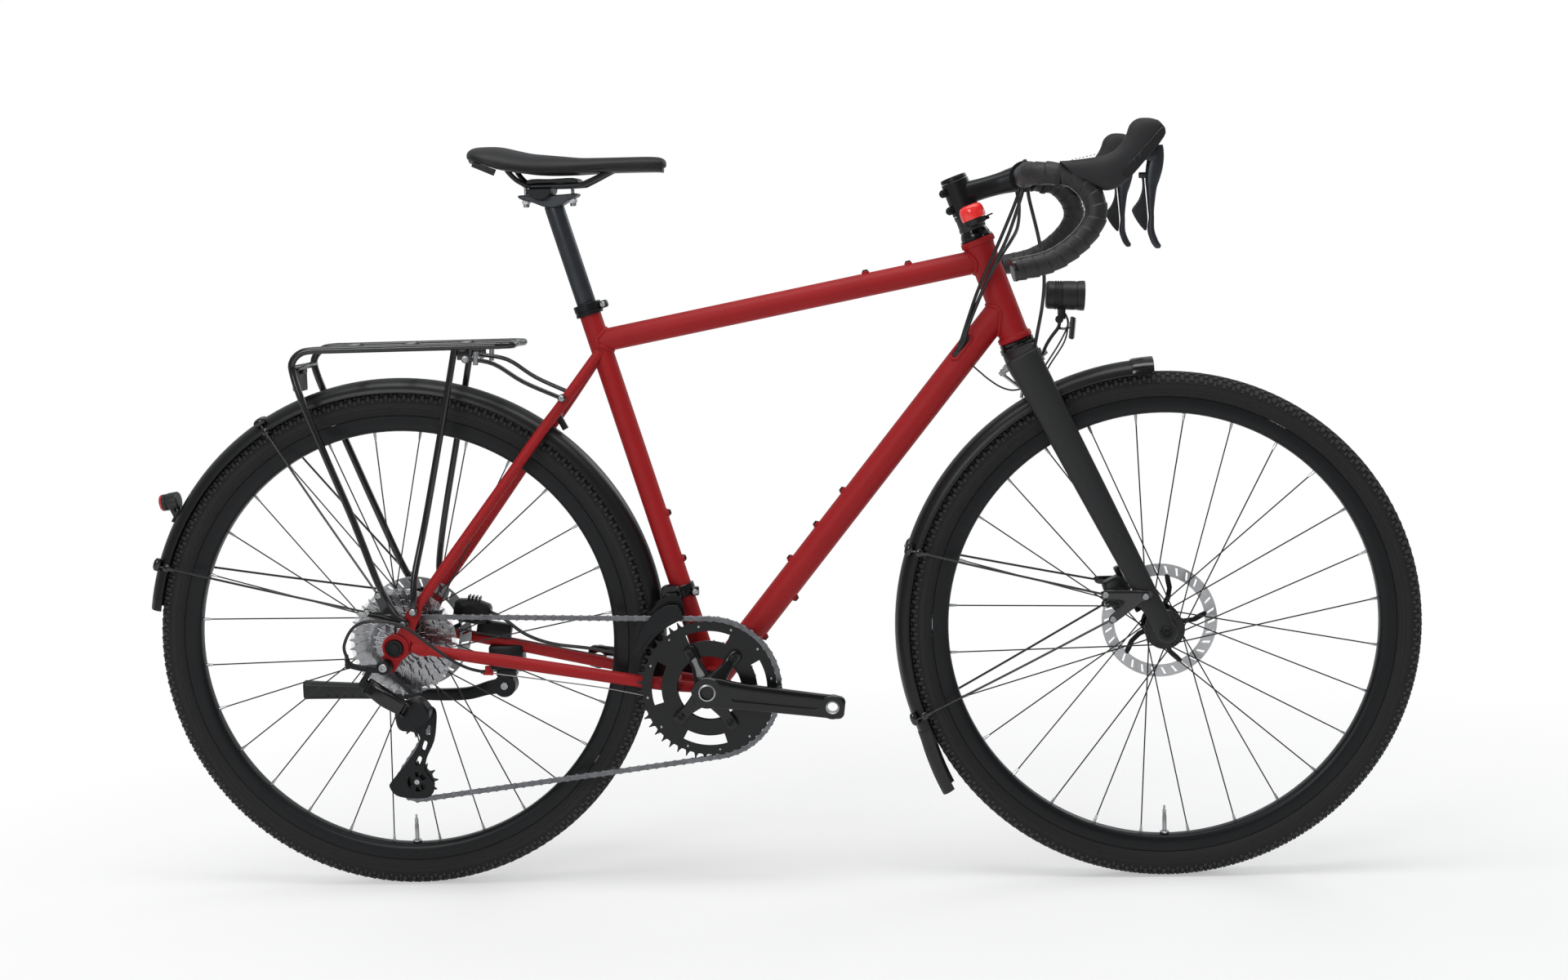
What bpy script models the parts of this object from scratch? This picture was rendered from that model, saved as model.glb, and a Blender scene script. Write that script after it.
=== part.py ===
"""Gravel bike with drop bar, mudguards, rear rack and disc brakes.

Metres.  +X is forward, +Y is the rider's left and +Z is up.  The origin is on the ground
under the rear axle, so the chain side is at -Y.
"""
import math

import bmesh
import bpy
from mathutils import Matrix, Vector

# Clearance between touching pieces
GAP = 0.0003

# Wheels
TYRE_RADIUS = 0.351
TYRE_WIDTH = 0.040
TREAD_FLAT = 0.011
RIM_INNER_RADIUS = 0.294
RIM_OUTER_RADIUS = 0.3165
RIM_WIDTH = 0.026
WHEEL_FACETS = 32
SPOKE_COUNT = 28
SPOKE_RADIUS = 0.0009
AXLE_RADIUS = 0.006
FRONT_HUB_WIDTH = 0.100
REAR_HUB_WIDTH = 0.142
ROTOR_RADIUS = 0.080
ROTOR_THICKNESS = 0.0018
ROTOR_INSET_FRONT = 0.0105
ROTOR_INSET_REAR = 0.0153

# Frame geometry in side view
WHEELBASE = 1.056
BB_DROP = 0.068
BB_FORWARD = 0.431
HEAD_ANGLE = math.radians(70.0)
SEAT_ANGLE = math.radians(73.5)
FORK_OFFSET = 0.046
HEAD_TUBE_BOTTOM = 0.440
HEAD_TUBE_LENGTH = 0.148
SEAT_TUBE_LENGTH = 0.552
TOP_TUBE_ON_SEAT = SEAT_TUBE_LENGTH - 0.052
TOP_TUBE_BELOW_HEAD = 0.0305
DOWN_TUBE_ABOVE_HEAD = 0.0495

# Frame tubes
TOP_TUBE_DIAMETER = 0.0318
DOWN_TUBE_DIAMETER = 0.0381
SEAT_TUBE_DIAMETER = 0.0298
HEAD_TUBE_DIAMETER = 0.040
HEAD_RING_DIAMETER = 0.047
TUBE_WALL = 0.0009
HEAD_TUBE_WALL = 0.0016
BB_SHELL_WIDTH = 0.068
BB_SHELL_RADIUS = 0.0205
BB_BORE_RADIUS = 0.0175
CHAIN_STAY_RADIUS = 0.0088
SEAT_STAY_RADIUS = 0.0074
DROPOUT_THICKNESS = 0.007
DROPOUT_RADIUS = 0.0165
BOSS_RADIUS = 0.0045
BOSS_HEIGHT = 0.0025
PORT_BELOW_HEAD = 0.077

# Seating
SEATPOST_DIAMETER = 0.0272
SEATPOST_EXPOSED = 0.148
SEATPOST_INSERTED = 0.110
SADDLE_LENGTH = 0.265
SADDLE_WIDTH = 0.146
SADDLE_ABOVE_POST = 0.058826
SADDLE_TAIL_BEHIND_POST = 0.108686

# Cockpit
STEERER_RADIUS = 0.0143
CUP_HEIGHT = 0.0135
BELL_CLAMP_HEIGHT = 0.024
STEM_CLAMP_HEIGHT = 0.046
STEM_LENGTH = 0.090
STEM_RISE = math.radians(14.0)
STEM_RADIUS = 0.0158
BAR_CLAMP_RADIUS = 0.0159
BAR_RADIUS = 0.0119
TAPE_RADIUS = 0.0150
BAR_HALF_WIDTH = 0.195
HOOD_HALF_WIDTH = 0.212
DROP_HALF_WIDTH = 0.240
BAR_REACH = 0.080
BAR_DROP = 0.122

# Drivetrain
CHAIN_PITCH = 0.0127
OUTER_TEETH = 48
INNER_TEETH = 31
SPROCKETS = (11, 12, 13, 14, 15, 17, 19, 21, 24, 28, 32, 36)
ENGAGED = 6
SPROCKET_PITCH = 0.0036
SPROCKET_THICKNESS = 0.0016
SMALL_SPROCKET_Y = -0.0665
OUTER_RING_Y = -0.0505
RING_SPACING = 0.0078
GUIDE_TEETH = 11
TENSION_TEETH = 13
GUIDE_PULLEY = (0.018, 0.244)
TENSION_PULLEY = (0.0155, 0.156)
CRANK_LENGTH = 0.1725
CRANK_TILT = math.radians(-7.5)
CRANK_OUTER_Y = 0.0865
CHAIN_PLATE_HEIGHT = 0.0078
CHAIN_HALF_WIDTH = 0.0025
CHAIN_PLATE = 0.0010

# Mudguards
GUARD_RADIUS = 0.3690
GUARD_DEPTH = 0.0190
GUARD_HALF_WIDTH = 0.0245
GUARD_WALL = 0.0015

# Rack
RACK_TUBE_RADIUS = 0.005
RACK_HEIGHT = 0.763
RACK_HALF_WIDTH = 0.056
RACK_REAR = -0.118
RACK_FRONT = 0.178

REAR_AXLE = Vector((0.0, 0.0, TYRE_RADIUS))
FRONT_AXLE = Vector((WHEELBASE, 0.0, TYRE_RADIUS))
BB = Vector((BB_FORWARD, 0.0, TYRE_RADIUS - BB_DROP))
STEER_UP = Vector((-math.cos(HEAD_ANGLE), 0.0, math.sin(HEAD_ANGLE)))
STEER_FORWARD = Vector((math.sin(HEAD_ANGLE), 0.0, math.cos(HEAD_ANGLE)))
SEAT_UP = Vector((-math.cos(SEAT_ANGLE), 0.0, math.sin(SEAT_ANGLE)))
SEAT_AHEAD = Vector((math.sin(SEAT_ANGLE), 0.0, math.cos(SEAT_ANGLE)))
STEER_FOOT = FRONT_AXLE - STEER_FORWARD * FORK_OFFSET
HEAD_TUBE_TOP = HEAD_TUBE_BOTTOM + HEAD_TUBE_LENGTH


def on_steerer(height):
    """Point on the steering axis, measured up from the point nearest the front axle."""
    return STEER_FOOT + STEER_UP * height


def on_seat_tube(height):
    """Point on the seat tube axis, measured up from the bottom bracket."""
    return BB + SEAT_UP * height


# Scene and materials


def clear_scene():
    for item in list(bpy.data.objects):
        bpy.data.objects.remove(item, do_unlink=True)


def material(name, colour, roughness, metallic=0.0):
    found = bpy.data.materials.get(name)
    if found:
        return found
    made = bpy.data.materials.new(name)
    made.use_nodes = True
    shader = made.node_tree.nodes["Principled BSDF"]
    shader.inputs["Base Color"].default_value = (*colour, 1.0)
    shader.inputs["Roughness"].default_value = roughness
    shader.inputs["Metallic"].default_value = metallic
    made.diffuse_color = (*colour, 1.0)
    return made


clear_scene()
PARTS = bpy.data.collections.new("gravel_bike")
bpy.context.scene.collection.children.link(PARTS)

RED_PAINT = material("red powder coat", (0.25, 0.012, 0.014), 0.5)
BLACK_PAINT = material("black powder coat", (0.012, 0.012, 0.013), 0.5)
BLACK_ALLOY = material("black anodised aluminium", (0.02, 0.02, 0.022), 0.35, 0.6)
GREY_ALLOY = material("dark grey anodised aluminium", (0.05, 0.052, 0.056), 0.35, 0.7)
RUBBER = material("black rubber", (0.015, 0.015, 0.015), 0.8)
PLASTIC = material("black plastic", (0.014, 0.014, 0.015), 0.45)
STEEL = material("bright steel", (0.55, 0.55, 0.56), 0.25, 1.0)
DARK_STEEL = material("dark steel", (0.12, 0.12, 0.12), 0.4, 1.0)
BELL_RED = material("bright red plastic", (0.78, 0.03, 0.025), 0.25)
LAMP_RED = material("red lens", (0.45, 0.01, 0.01), 0.2)


# Mesh helpers


def add_mesh(name, mesh):
    made = bpy.data.objects.new(name, mesh)
    PARTS.objects.link(made)
    return made


def drop(item):
    data = item.data
    bpy.data.objects.remove(item, do_unlink=True)
    if isinstance(data, bpy.types.Mesh):
        bpy.data.meshes.remove(data)
    elif isinstance(data, bpy.types.Curve):
        bpy.data.curves.remove(data)


def baked(item):
    """The object's evaluated shape as a plain mesh object in world space."""
    graph = bpy.context.evaluated_depsgraph_get()
    mesh = bpy.data.meshes.new_from_object(item.evaluated_get(graph))
    mesh.transform(item.matrix_world)
    name = item.name
    if item.matrix_world.determinant() < 0:
        mesh.flip_normals()
    shape = bmesh.new()
    shape.from_mesh(mesh)
    bmesh.ops.remove_doubles(shape, verts=shape.verts, dist=0.000005)
    shape.to_mesh(mesh)
    shape.free()
    drop(item)
    mesh.name = name
    return add_mesh(name, mesh)


def frame_at(origin, axis, across=None):
    """A matrix whose Z runs along the axis and whose X lies near the across direction."""
    z = Vector(axis).normalized()
    x = Vector(across) if across else Vector((0, 1, 0)) if abs(z.y) < 0.9 else Vector((1, 0, 0))
    x = (x - z * x.dot(z)).normalized()
    y = z.cross(x)
    turn = Matrix((x, y, z)).transposed().to_4x4()
    return Matrix.Translation(Vector(origin)) @ turn


def rod(start, end, radius, sides=8, end_radius=None, name="rod"):
    """A solid round bar from one point to another."""
    start = Vector(start)
    end = Vector(end)
    length = (end - start).length
    shape = bmesh.new()
    bmesh.ops.create_cone(
        shape, cap_ends=True, segments=sides, radius1=radius,
        radius2=radius if end_radius is None else end_radius, depth=length,
    )
    mesh = bpy.data.meshes.new(name)
    shape.to_mesh(mesh)
    shape.free()
    mesh.transform(frame_at((start + end) / 2, end - start))
    return add_mesh(name, mesh)


def block(centre, size, along=None, across=None, name="block"):
    """A box; along is the direction of its third size, across that of its first."""
    shape = bmesh.new()
    bmesh.ops.create_cube(shape, size=1.0)
    mesh = bpy.data.meshes.new(name)
    shape.to_mesh(mesh)
    shape.free()
    mesh.transform(Matrix.Diagonal((*size, 1.0)))
    mesh.transform(frame_at(centre, along or (0, 0, 1), across or (1, 0, 0)))
    return add_mesh(name, mesh)


def pipe(points, radius, resolution=2, radii=None, cyclic=False, name="pipe"):
    """A round bar along points, with closed ends; radii are factors of the radius."""
    curve = bpy.data.curves.new(name, "CURVE")
    curve.dimensions = "3D"
    curve.bevel_depth = radius
    curve.bevel_resolution = resolution
    curve.use_fill_caps = True
    spline = curve.splines.new("POLY")
    spline.points.add(len(points) - 1)
    for index, point in enumerate(points):
        spline.points[index].co = (*point, 1.0)
        spline.points[index].radius = radii[index] if radii else 1.0
    spline.use_cyclic_u = cyclic
    item = bpy.data.objects.new(name, curve)
    PARTS.objects.link(item)
    return baked(item)


def smooth_route(points, steps):
    """Points of a smooth curve through the given ones (Catmull-Rom)."""
    route = [Vector(point) for point in points]
    ends = [route[0] * 2 - route[1]] + route + [route[-1] * 2 - route[-2]]
    line = []
    for index in range(1, len(ends) - 2):
        before, start, end, after = ends[index - 1:index + 3]
        for step in range(steps):
            t = step / steps
            line.append(
                0.5 * (2 * start + (end - before) * t
                       + (2 * before - 5 * start + 4 * end - after) * t * t
                       + (3 * start - before - 3 * end + after) * t ** 3)
            )
    line.append(route[-1])
    return line


def turned(profile, centre, axis, steps=24, across=None, name="turned", phase=0.0):
    """A lathe shape; the profile lists (radius, height) and closes on itself or on the axis."""
    mesh = bpy.data.meshes.new(name)
    closed = profile[0][0] > 0.0 or profile[-1][0] > 0.0
    count = len(profile)
    verts = [(radius, 0.0, height) for radius, height in profile]
    edges = [(index, index + 1) for index in range(count - 1)]
    if closed:
        edges.append((count - 1, 0))
    mesh.from_pydata(verts, edges, [])
    item = add_mesh(name, mesh)
    screw = item.modifiers.new("lathe", "SCREW")
    screw.axis = "Z"
    screw.angle = math.tau
    screw.steps = steps
    screw.render_steps = steps
    screw.use_merge_vertices = True
    screw.merge_threshold = 0.00001
    screw.use_normal_calculate = False
    item.matrix_world = frame_at(centre, axis, across) @ Matrix.Rotation(phase, 4, "Z")
    made = baked(item)
    outward(made)
    return made


def outward(item):
    """Turn every face of a closed shape to point out."""
    shape = bmesh.new()
    shape.from_mesh(item.data)
    bmesh.ops.recalc_face_normals(shape, faces=shape.faces)
    if shape.calc_volume(signed=True) < 0:
        bmesh.ops.reverse_faces(shape, faces=shape.faces)
    shape.to_mesh(item.data)
    shape.free()


def plate(outline, thickness, y, holes=(), name="plate"):
    """A flat plate in side view: outline and holes are (x, z) loops, y is its middle."""
    curve = bpy.data.curves.new(name, "CURVE")
    curve.dimensions = "2D"
    curve.fill_mode = "BOTH"
    curve.extrude = thickness / 2
    for loop in (outline, *holes):
        spline = curve.splines.new("POLY")
        spline.points.add(len(loop) - 1)
        for index, (x, z) in enumerate(loop):
            spline.points[index].co = (x, z, 0.0, 1.0)
        spline.use_cyclic_u = True
    item = bpy.data.objects.new(name, curve)
    PARTS.objects.link(item)
    item.matrix_world = Matrix.Translation((0, y, 0)) @ Matrix.Rotation(math.pi / 2, 4, "X")
    made = baked(item)
    outward(made)
    return made


def circle(centre, radius, count=16, start=0.0):
    """Points of a round outline in side view."""
    return [
        (centre[0] + radius * math.cos(start + math.tau * index / count),
         centre[1] + radius * math.sin(start + math.tau * index / count))
        for index in range(count)
    ]


def arc(centre, radius, first, last, count):
    """Points of an arc in side view, angles in degrees."""
    return [
        (centre[0] + radius * math.cos(math.radians(first + (last - first) * index / count)),
         centre[1] + radius * math.sin(math.radians(first + (last - first) * index / count)))
        for index in range(count + 1)
    ]


def merged(items):
    """One mesh object that holds several separate shapes."""
    shape = bmesh.new()
    for item in items:
        shape.from_mesh(item.data)
    mesh = bpy.data.meshes.new("merged")
    shape.to_mesh(mesh)
    shape.free()
    for item in items:
        drop(item)
    return add_mesh("merged", mesh)


def combine(target, tool, operation):
    """Apply a Boolean of the tool to the target and remove the tool."""
    change = target.modifiers.new("combine", "BOOLEAN")
    change.operation = operation
    change.solver = "EXACT"
    change.object = tool
    made = baked(target)
    drop(tool)
    return made


def union(first, *others):
    for other in others:
        first = combine(first, other, "UNION")
    return first


def cut(target, *tools):
    for tool in tools:
        target = combine(target, tool, "DIFFERENCE")
    return target


def mirrored(item):
    """A copy of a shape on the other side of the bike."""
    mesh = item.data.copy()
    mesh.transform(Matrix.Diagonal((1.0, -1.0, 1.0, 1.0)))
    mesh.flip_normals()
    return add_mesh(item.name + "_mirror", mesh)


def joint_empty(name, point, parent=None):
    """An empty on a joint's axis; the pieces that it moves are its children."""
    item = bpy.data.objects.new(name, None)
    item.empty_display_size = 0.03
    PARTS.objects.link(item)
    item.location = Vector(point) - (world_of(parent) if parent else Vector())
    item.parent = parent
    item["world"] = tuple(point)
    return item


def world_of(empty):
    return Vector(empty["world"])


def finish(item, name, look, empty=None, smooth=True):
    """Name a sub-part, give it its material and hang it on its joint's empty."""
    item.name = name
    item.data.name = name
    item.data.materials.clear()
    item.data.materials.append(look)
    if smooth:
        item.data.shade_smooth()
        item.data.set_sharp_from_angle(angle=math.radians(35))
    if empty:
        item.data.transform(Matrix.Translation(-world_of(empty)))
        item.parent = empty
    return item


def clear_radius(radius, sides):
    """Radius of a faceted cutter whose flats leave the clearance around a round neighbour."""
    return (radius + GAP) / math.cos(math.pi / sides)


def hollow(start, end, outer, inner, steps=16, name="tube"):
    """A straight round tube with open ends."""
    start = Vector(start)
    axis = Vector(end) - start
    length = axis.length
    profile = [(inner, 0.0), (outer, 0.0), (outer, length), (inner, length)]
    return turned(profile, start, axis, steps, name=name)


# Frame


def seat_tube_cutter():
    return rod(on_seat_tube(-0.06), on_seat_tube(SEAT_TUBE_LENGTH + 0.06),
               clear_radius(SEAT_TUBE_DIAMETER / 2, 16), 16)


def head_tube_cutter():
    return rod(on_steerer(HEAD_TUBE_BOTTOM - 0.05), on_steerer(HEAD_TUBE_TOP + 0.05),
               clear_radius(HEAD_TUBE_DIAMETER / 2, 16), 16)


def shell_cutter(half_width=0.06):
    return rod(BB + Vector((0, -half_width, 0)), BB + Vector((0, half_width, 0)),
               clear_radius(BB_SHELL_RADIUS, 16), 16)


def make_head_tube():
    """Head tube with its end rings and the two pressed headset cups."""
    outer = HEAD_TUBE_DIAMETER / 2
    ring = HEAD_RING_DIAMETER / 2
    bore = outer - HEAD_TUBE_WALL
    passage = STEERER_RADIUS + 0.0012
    low = HEAD_TUBE_BOTTOM - 0.007
    high = HEAD_TUBE_TOP + CUP_HEIGHT - 0.0045
    profile = [
        (passage, low), (ring, low), (ring, HEAD_TUBE_BOTTOM + 0.006), (outer, HEAD_TUBE_BOTTOM + 0.010),
        (outer, HEAD_TUBE_TOP - 0.010), (ring, HEAD_TUBE_TOP - 0.006), (ring, HEAD_TUBE_TOP),
        (ring - 0.0035, HEAD_TUBE_TOP + 0.003), (ring - 0.0035, high), (passage, high),
        (bore, HEAD_TUBE_TOP - 0.014), (bore, HEAD_TUBE_BOTTOM + 0.014),
    ]
    tube = turned(profile, STEER_FOOT, STEER_UP, 16, STEER_FORWARD)
    finish(tube, "head_tube", RED_PAINT)


def screw_boss(point, outward_direction):
    """A small threaded boss with its screw head, standing on a tube's surface."""
    direction = Vector(outward_direction).normalized()
    start = Vector(point) - direction * 0.003
    return rod(start, Vector(point) + direction * BOSS_HEIGHT, BOSS_RADIUS, 6)


def make_top_tube():
    start = on_seat_tube(TOP_TUBE_ON_SEAT)
    end = on_steerer(HEAD_TUBE_TOP - TOP_TUBE_BELOW_HEAD)
    radius = TOP_TUBE_DIAMETER / 2
    tube = hollow(start, end, radius, radius - TUBE_WALL)
    run = (end - start).normalized()
    above = Vector((-run.z, 0, run.x))
    for share in (0.70, 0.81):
        tube = union(tube, screw_boss(start.lerp(end, share) + above * radius, above))
    tube = cut(tube, seat_tube_cutter(), head_tube_cutter())
    finish(tube, "top_tube", RED_PAINT)


def make_down_tube():
    start = BB.copy()
    end = on_steerer(HEAD_TUBE_BOTTOM + DOWN_TUBE_ABOVE_HEAD)
    radius = DOWN_TUBE_DIAMETER / 2
    run = (end - start).normalized()
    above = Vector((-run.z, 0, run.x))
    tube = hollow(start, end, radius, radius - TUBE_WALL)
    length = (end - start).length
    for reach in (0.205, 0.265, 0.325):
        tube = union(tube, screw_boss(start + run * reach + above * radius, above))
    for reach in (0.095, 0.165):
        tube = union(tube, screw_boss(start + run * reach - above * radius, -above))
    facing = (above * 0.63 + Vector((0, -0.777, 0))).normalized()
    port = start + run * (length - PORT_BELOW_HEAD) + facing * radius
    slot = block(port, (0.012, 0.011, 0.024), run, facing)
    ends = [rod(port + run * reach - facing * 0.006, port + run * reach + facing * 0.006, 0.0055, 10)
            for reach in (-0.012, 0.012)]
    tube = cut(tube, slot, *ends)
    tube = cut(tube, seat_tube_cutter(), head_tube_cutter(), shell_cutter())
    finish(tube, "down_tube", RED_PAINT)


def make_seat_tube():
    """Seat tube welded on the bottom bracket shell."""
    outer = SEAT_TUBE_DIAMETER / 2
    bore = SEATPOST_DIAMETER / 2 + GAP
    tube = rod(BB, on_seat_tube(SEAT_TUBE_LENGTH), outer, 16)
    half = Vector((0, BB_SHELL_WIDTH / 2, 0))
    shell = rod(BB - half, BB + half, BB_SHELL_RADIUS, 16)
    tube = union(tube, shell)
    for height in (0.178, 0.245):
        tube = union(tube, screw_boss(on_seat_tube(height) + SEAT_AHEAD * outer, SEAT_AHEAD))
    seat_bore = rod(on_seat_tube(BB_SHELL_RADIUS + 0.03), on_seat_tube(SEAT_TUBE_LENGTH + 0.01), bore, 16)
    shell_bore = rod(BB - half * 1.2, BB + half * 1.2, BB_BORE_RADIUS, 16)
    finish(cut(tube, seat_bore, shell_bore), "seat_tube", RED_PAINT)


def stay_routes():
    """Centre lines of the right chain stay and the right seat stay."""
    low = BB.z - 0.0045
    chain = [
        (0.029, -0.0712, 0.3500), (0.090, -0.0680, 0.3385), (0.160, -0.0592, 0.3255),
        (0.240, -0.0490, 0.3100), (0.320, -0.0398, 0.2945), (BB.x - 0.062, -0.0332, 0.2850),
        (BB.x - 0.014, -0.0240, low),
    ]
    top = on_seat_tube(TOP_TUBE_ON_SEAT - 0.014)
    seat = [
        (0.026, -0.0708, 0.398), (0.070, -0.0655, 0.457), (0.150, -0.0500, 0.563),
        (0.207, -0.0372, 0.639), (0.240, -0.0275, 0.681), (top.x - 0.004, -0.0115, top.z),
    ]
    return chain, seat


DROPOUT_Y = REAR_HUB_WIDTH / 2 + GAP + DROPOUT_THICKNESS / 2
DROPOUT_TAB = ((0.040, 0.050), (0.036, 0.063), (0.020, 0.052))


def dropout_plate(side):
    """The plate round the axle with tabs to both stays and the rack bosses."""
    axle = (REAR_AXLE.x, REAR_AXLE.z)
    boss = (axle[0] + 0.005, axle[1] + 0.002)
    outline = arc(boss, DROPOUT_RADIUS + 0.0025, 100, 330, 9)
    outline += [(axle[0] + 0.044, axle[1] - 0.0105), (axle[0] + 0.046, axle[1] + 0.0045)]
    outline += [(axle[0] + 0.023, axle[1] + 0.0125)]
    outline += [(axle[0] + x, axle[1] + z) for x, z in DROPOUT_TAB]
    hole = circle(axle, clear_radius(AXLE_RADIUS, 16), 16)
    return plate(outline, DROPOUT_THICKNESS, side * DROPOUT_Y, [hole])


def make_chain_stays():
    """Both chain stays with the dropouts, the mudguard bridge and the derailleur hanger."""
    chain, _ = stay_routes()
    sizes = (0.88, 1.0, 1.0, 1.0, 0.97, 0.90, 0.80)
    right = pipe(chain, CHAIN_STAY_RADIUS, 2, sizes)
    left = mirrored(right)
    bridge_x = BB.x - 0.050
    bridge = rod((bridge_x, -0.032, 0.2838), (bridge_x, 0.032, 0.2838), 0.005, 10)
    stays = union(right, dropout_plate(-1), bridge, left, dropout_plate(1))
    hanger = plate(
        [(0.010, 0.343), (-0.012, 0.345), (-0.0215, 0.331), (-0.0205, 0.321), (-0.009, 0.3165), (0.0, 0.321)],
        DROPOUT_THICKNESS - 0.001, -DROPOUT_Y,
    )
    stop = rod((0.126, -0.0632, 0.3225), (0.126, -0.0632, 0.3162), 0.004, 8)
    stays = union(stays, hanger, stop)
    return cut(stays, shell_cutter(0.05))


def make_seat_stays():
    """Both seat stays joined by their bridge, ending above the dropouts."""
    _, seat = stay_routes()
    right = pipe(seat, SEAT_STAY_RADIUS, 2)
    left = mirrored(right)
    bridge = rod((0.226, -0.031, 0.664), (0.226, 0.031, 0.664), 0.0055, 8)
    stays = union(right, bridge, left)
    eyelets = [rod((0.241, side * 0.030, 0.688), (0.241, side * 0.0405, 0.688), 0.004, 8) for side in (-1, 1)]
    stays = union(stays, *eyelets)
    top_cut = rod(on_seat_tube(TOP_TUBE_ON_SEAT), on_steerer(HEAD_TUBE_TOP - TOP_TUBE_BELOW_HEAD),
                  clear_radius(TOP_TUBE_DIAMETER / 2, 24), 24)
    return cut(stays, seat_tube_cutter(), top_cut)


def make_rear_triangle():
    """The stays are cut where the seat stays land on the dropouts, with the usual gap."""
    chains = make_chain_stays()
    seats = make_seat_stays()
    lift = GAP * 3
    tab = [(REAR_AXLE.x + x + lift * 0.6, REAR_AXLE.z + z + lift * 0.8) for x, z in DROPOUT_TAB]
    for side in (-1, 1):
        foot = [(-0.03, 0.30), (0.10, 0.30), (0.10, tab[0][1]), *tab, (-0.03, tab[2][1] - 0.03)]
        seats = cut(seats, plate(foot, 0.04, side * DROPOUT_Y))
    finish(chains, "chain_stays", RED_PAINT)
    finish(seats, "seat_stays", RED_PAINT)


def make_seat_clamp():
    """Split collar round the top of the seat tube, with its pinch bolt."""
    tube = SEAT_TUBE_DIAMETER / 2
    top = SEAT_TUBE_LENGTH
    post = SEATPOST_DIAMETER / 2
    wide = clear_radius(tube, 16)
    narrow = clear_radius(post, 16)
    lip = top + GAP
    profile = [
        (wide, top - 0.013), (tube + 0.004, top - 0.013), (tube + 0.004, top + 0.0025),
        (narrow, top + 0.0025), (narrow, lip), (wide, lip),
    ]
    collar = turned(profile, BB, SEAT_UP, 16, SEAT_AHEAD)
    ear_place = on_seat_tube(top - 0.006) + SEAT_AHEAD * (tube + 0.0065)
    ear = block(ear_place, (0.008, 0.015, 0.010), SEAT_UP, SEAT_AHEAD)
    bolt_half = Vector((0, 0.0105, 0))
    bolt = rod(ear_place - bolt_half, ear_place + bolt_half, 0.0028, 8)
    finish(union(collar, ear, bolt), "seat_clamp", BLACK_ALLOY)


SPINDLE_RADIUS = 0.012


def make_bottom_bracket():
    """Two outboard bearing cups joined by the sleeve inside the shell."""
    half = BB_SHELL_WIDTH / 2
    inner = clear_radius(SPINDLE_RADIUS, 16)
    sleeve = BB_BORE_RADIUS - 0.0006
    cup = BB_SHELL_RADIUS + 0.0018
    end = half + 0.0105
    profile = [
        (inner, -end), (cup - 0.001, -end), (cup, -half - GAP), (sleeve, -half - GAP),
        (sleeve, half + GAP), (cup, half + GAP), (cup - 0.001, end), (inner, end),
    ]
    finish(turned(profile, BB, (0, 1, 0), 16), "bottom_bracket", BLACK_ALLOY)


def make_rear_thru_axle():
    """Through axle: head on the left dropout, threaded end flush in the right one."""
    left = DROPOUT_Y + DROPOUT_THICKNESS / 2
    profile = [
        (0.0, -left - 0.002), (AXLE_RADIUS, -left - 0.002), (AXLE_RADIUS, left + GAP),
        (0.0095, left + GAP), (0.0095, left + 0.005), (0.0, left + 0.005),
    ]
    finish(turned(profile, REAR_AXLE, (0, 1, 0), 16), "rear_thru_axle", BLACK_ALLOY)


# Wheels


def wheel_vertex(radius):
    """Radius of the corners of a faceted wheel whose flats touch the given radius."""
    return radius / math.cos(math.pi / WHEEL_FACETS)


def make_tyre(name, axle, empty):
    half = TYRE_WIDTH / 2
    crown = wheel_vertex(TYRE_RADIUS)
    seat = wheel_vertex(RIM_OUTER_RADIUS + GAP)
    lip = RIM_WIDTH / 2
    profile = [
        (seat, -lip), (TYRE_RADIUS - 0.0210, -half), (crown - 0.0065, -half + 0.0035), (crown, -TREAD_FLAT),
        (crown, TREAD_FLAT), (crown - 0.0065, half - 0.0035), (TYRE_RADIUS - 0.0210, half), (seat, lip),
        (crown - 0.0060, 0.0110), (crown - 0.0060, -0.0110),
    ]
    tyre = turned(profile, axle, (0, 1, 0), WHEEL_FACETS, (0, 0, -1), phase=math.pi / WHEEL_FACETS)
    finish(tyre, name, RUBBER, empty)


def make_rim(name, axle, empty):
    half = RIM_WIDTH / 2
    outer = wheel_vertex(RIM_OUTER_RADIUS)
    inner = wheel_vertex(RIM_INNER_RADIUS)
    profile = [
        (inner, -0.0060), (inner + 0.0060, -half), (outer, -half), (outer - 0.0100, -0.0060),
        (outer - 0.0100, 0.0060), (outer, half), (inner + 0.0060, half), (inner, 0.0060),
    ]
    rim = turned(profile, axle, (0, 1, 0), WHEEL_FACETS, (0, 0, -1), phase=math.pi / WHEEL_FACETS)
    finish(rim, name, BLACK_ALLOY, empty)


def spoke_lines(axle, flanges, flange_radius, phase):
    """Both ends of every spoke: three-cross lacing, heads in and out by turns on each flange."""
    per_side = SPOKE_COUNT // 2
    reach = RIM_INNER_RADIUS - 0.00042
    lines = []
    for index in range(SPOKE_COUNT):
        side = index % 2
        order = index // 2
        lead = 1 if order % 2 else -1
        rim_angle = phase + math.tau * index / SPOKE_COUNT
        pair = order // 2
        hub_angle = phase + math.tau * (2 * pair + 0.5) / per_side + lead * math.tau * 2.75 / per_side
        flange_y = flanges[side] + lead * 0.0016
        start = axle + Vector((flange_radius * math.cos(hub_angle), flange_y,
                               flange_radius * math.sin(hub_angle)))
        edge_y = (-1 if side == 0 else 1) * 0.0012 + lead * 0.0006
        end = axle + Vector((reach * math.cos(rim_angle), edge_y, reach * math.sin(rim_angle)))
        lines.append((start, end))
    return lines


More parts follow.
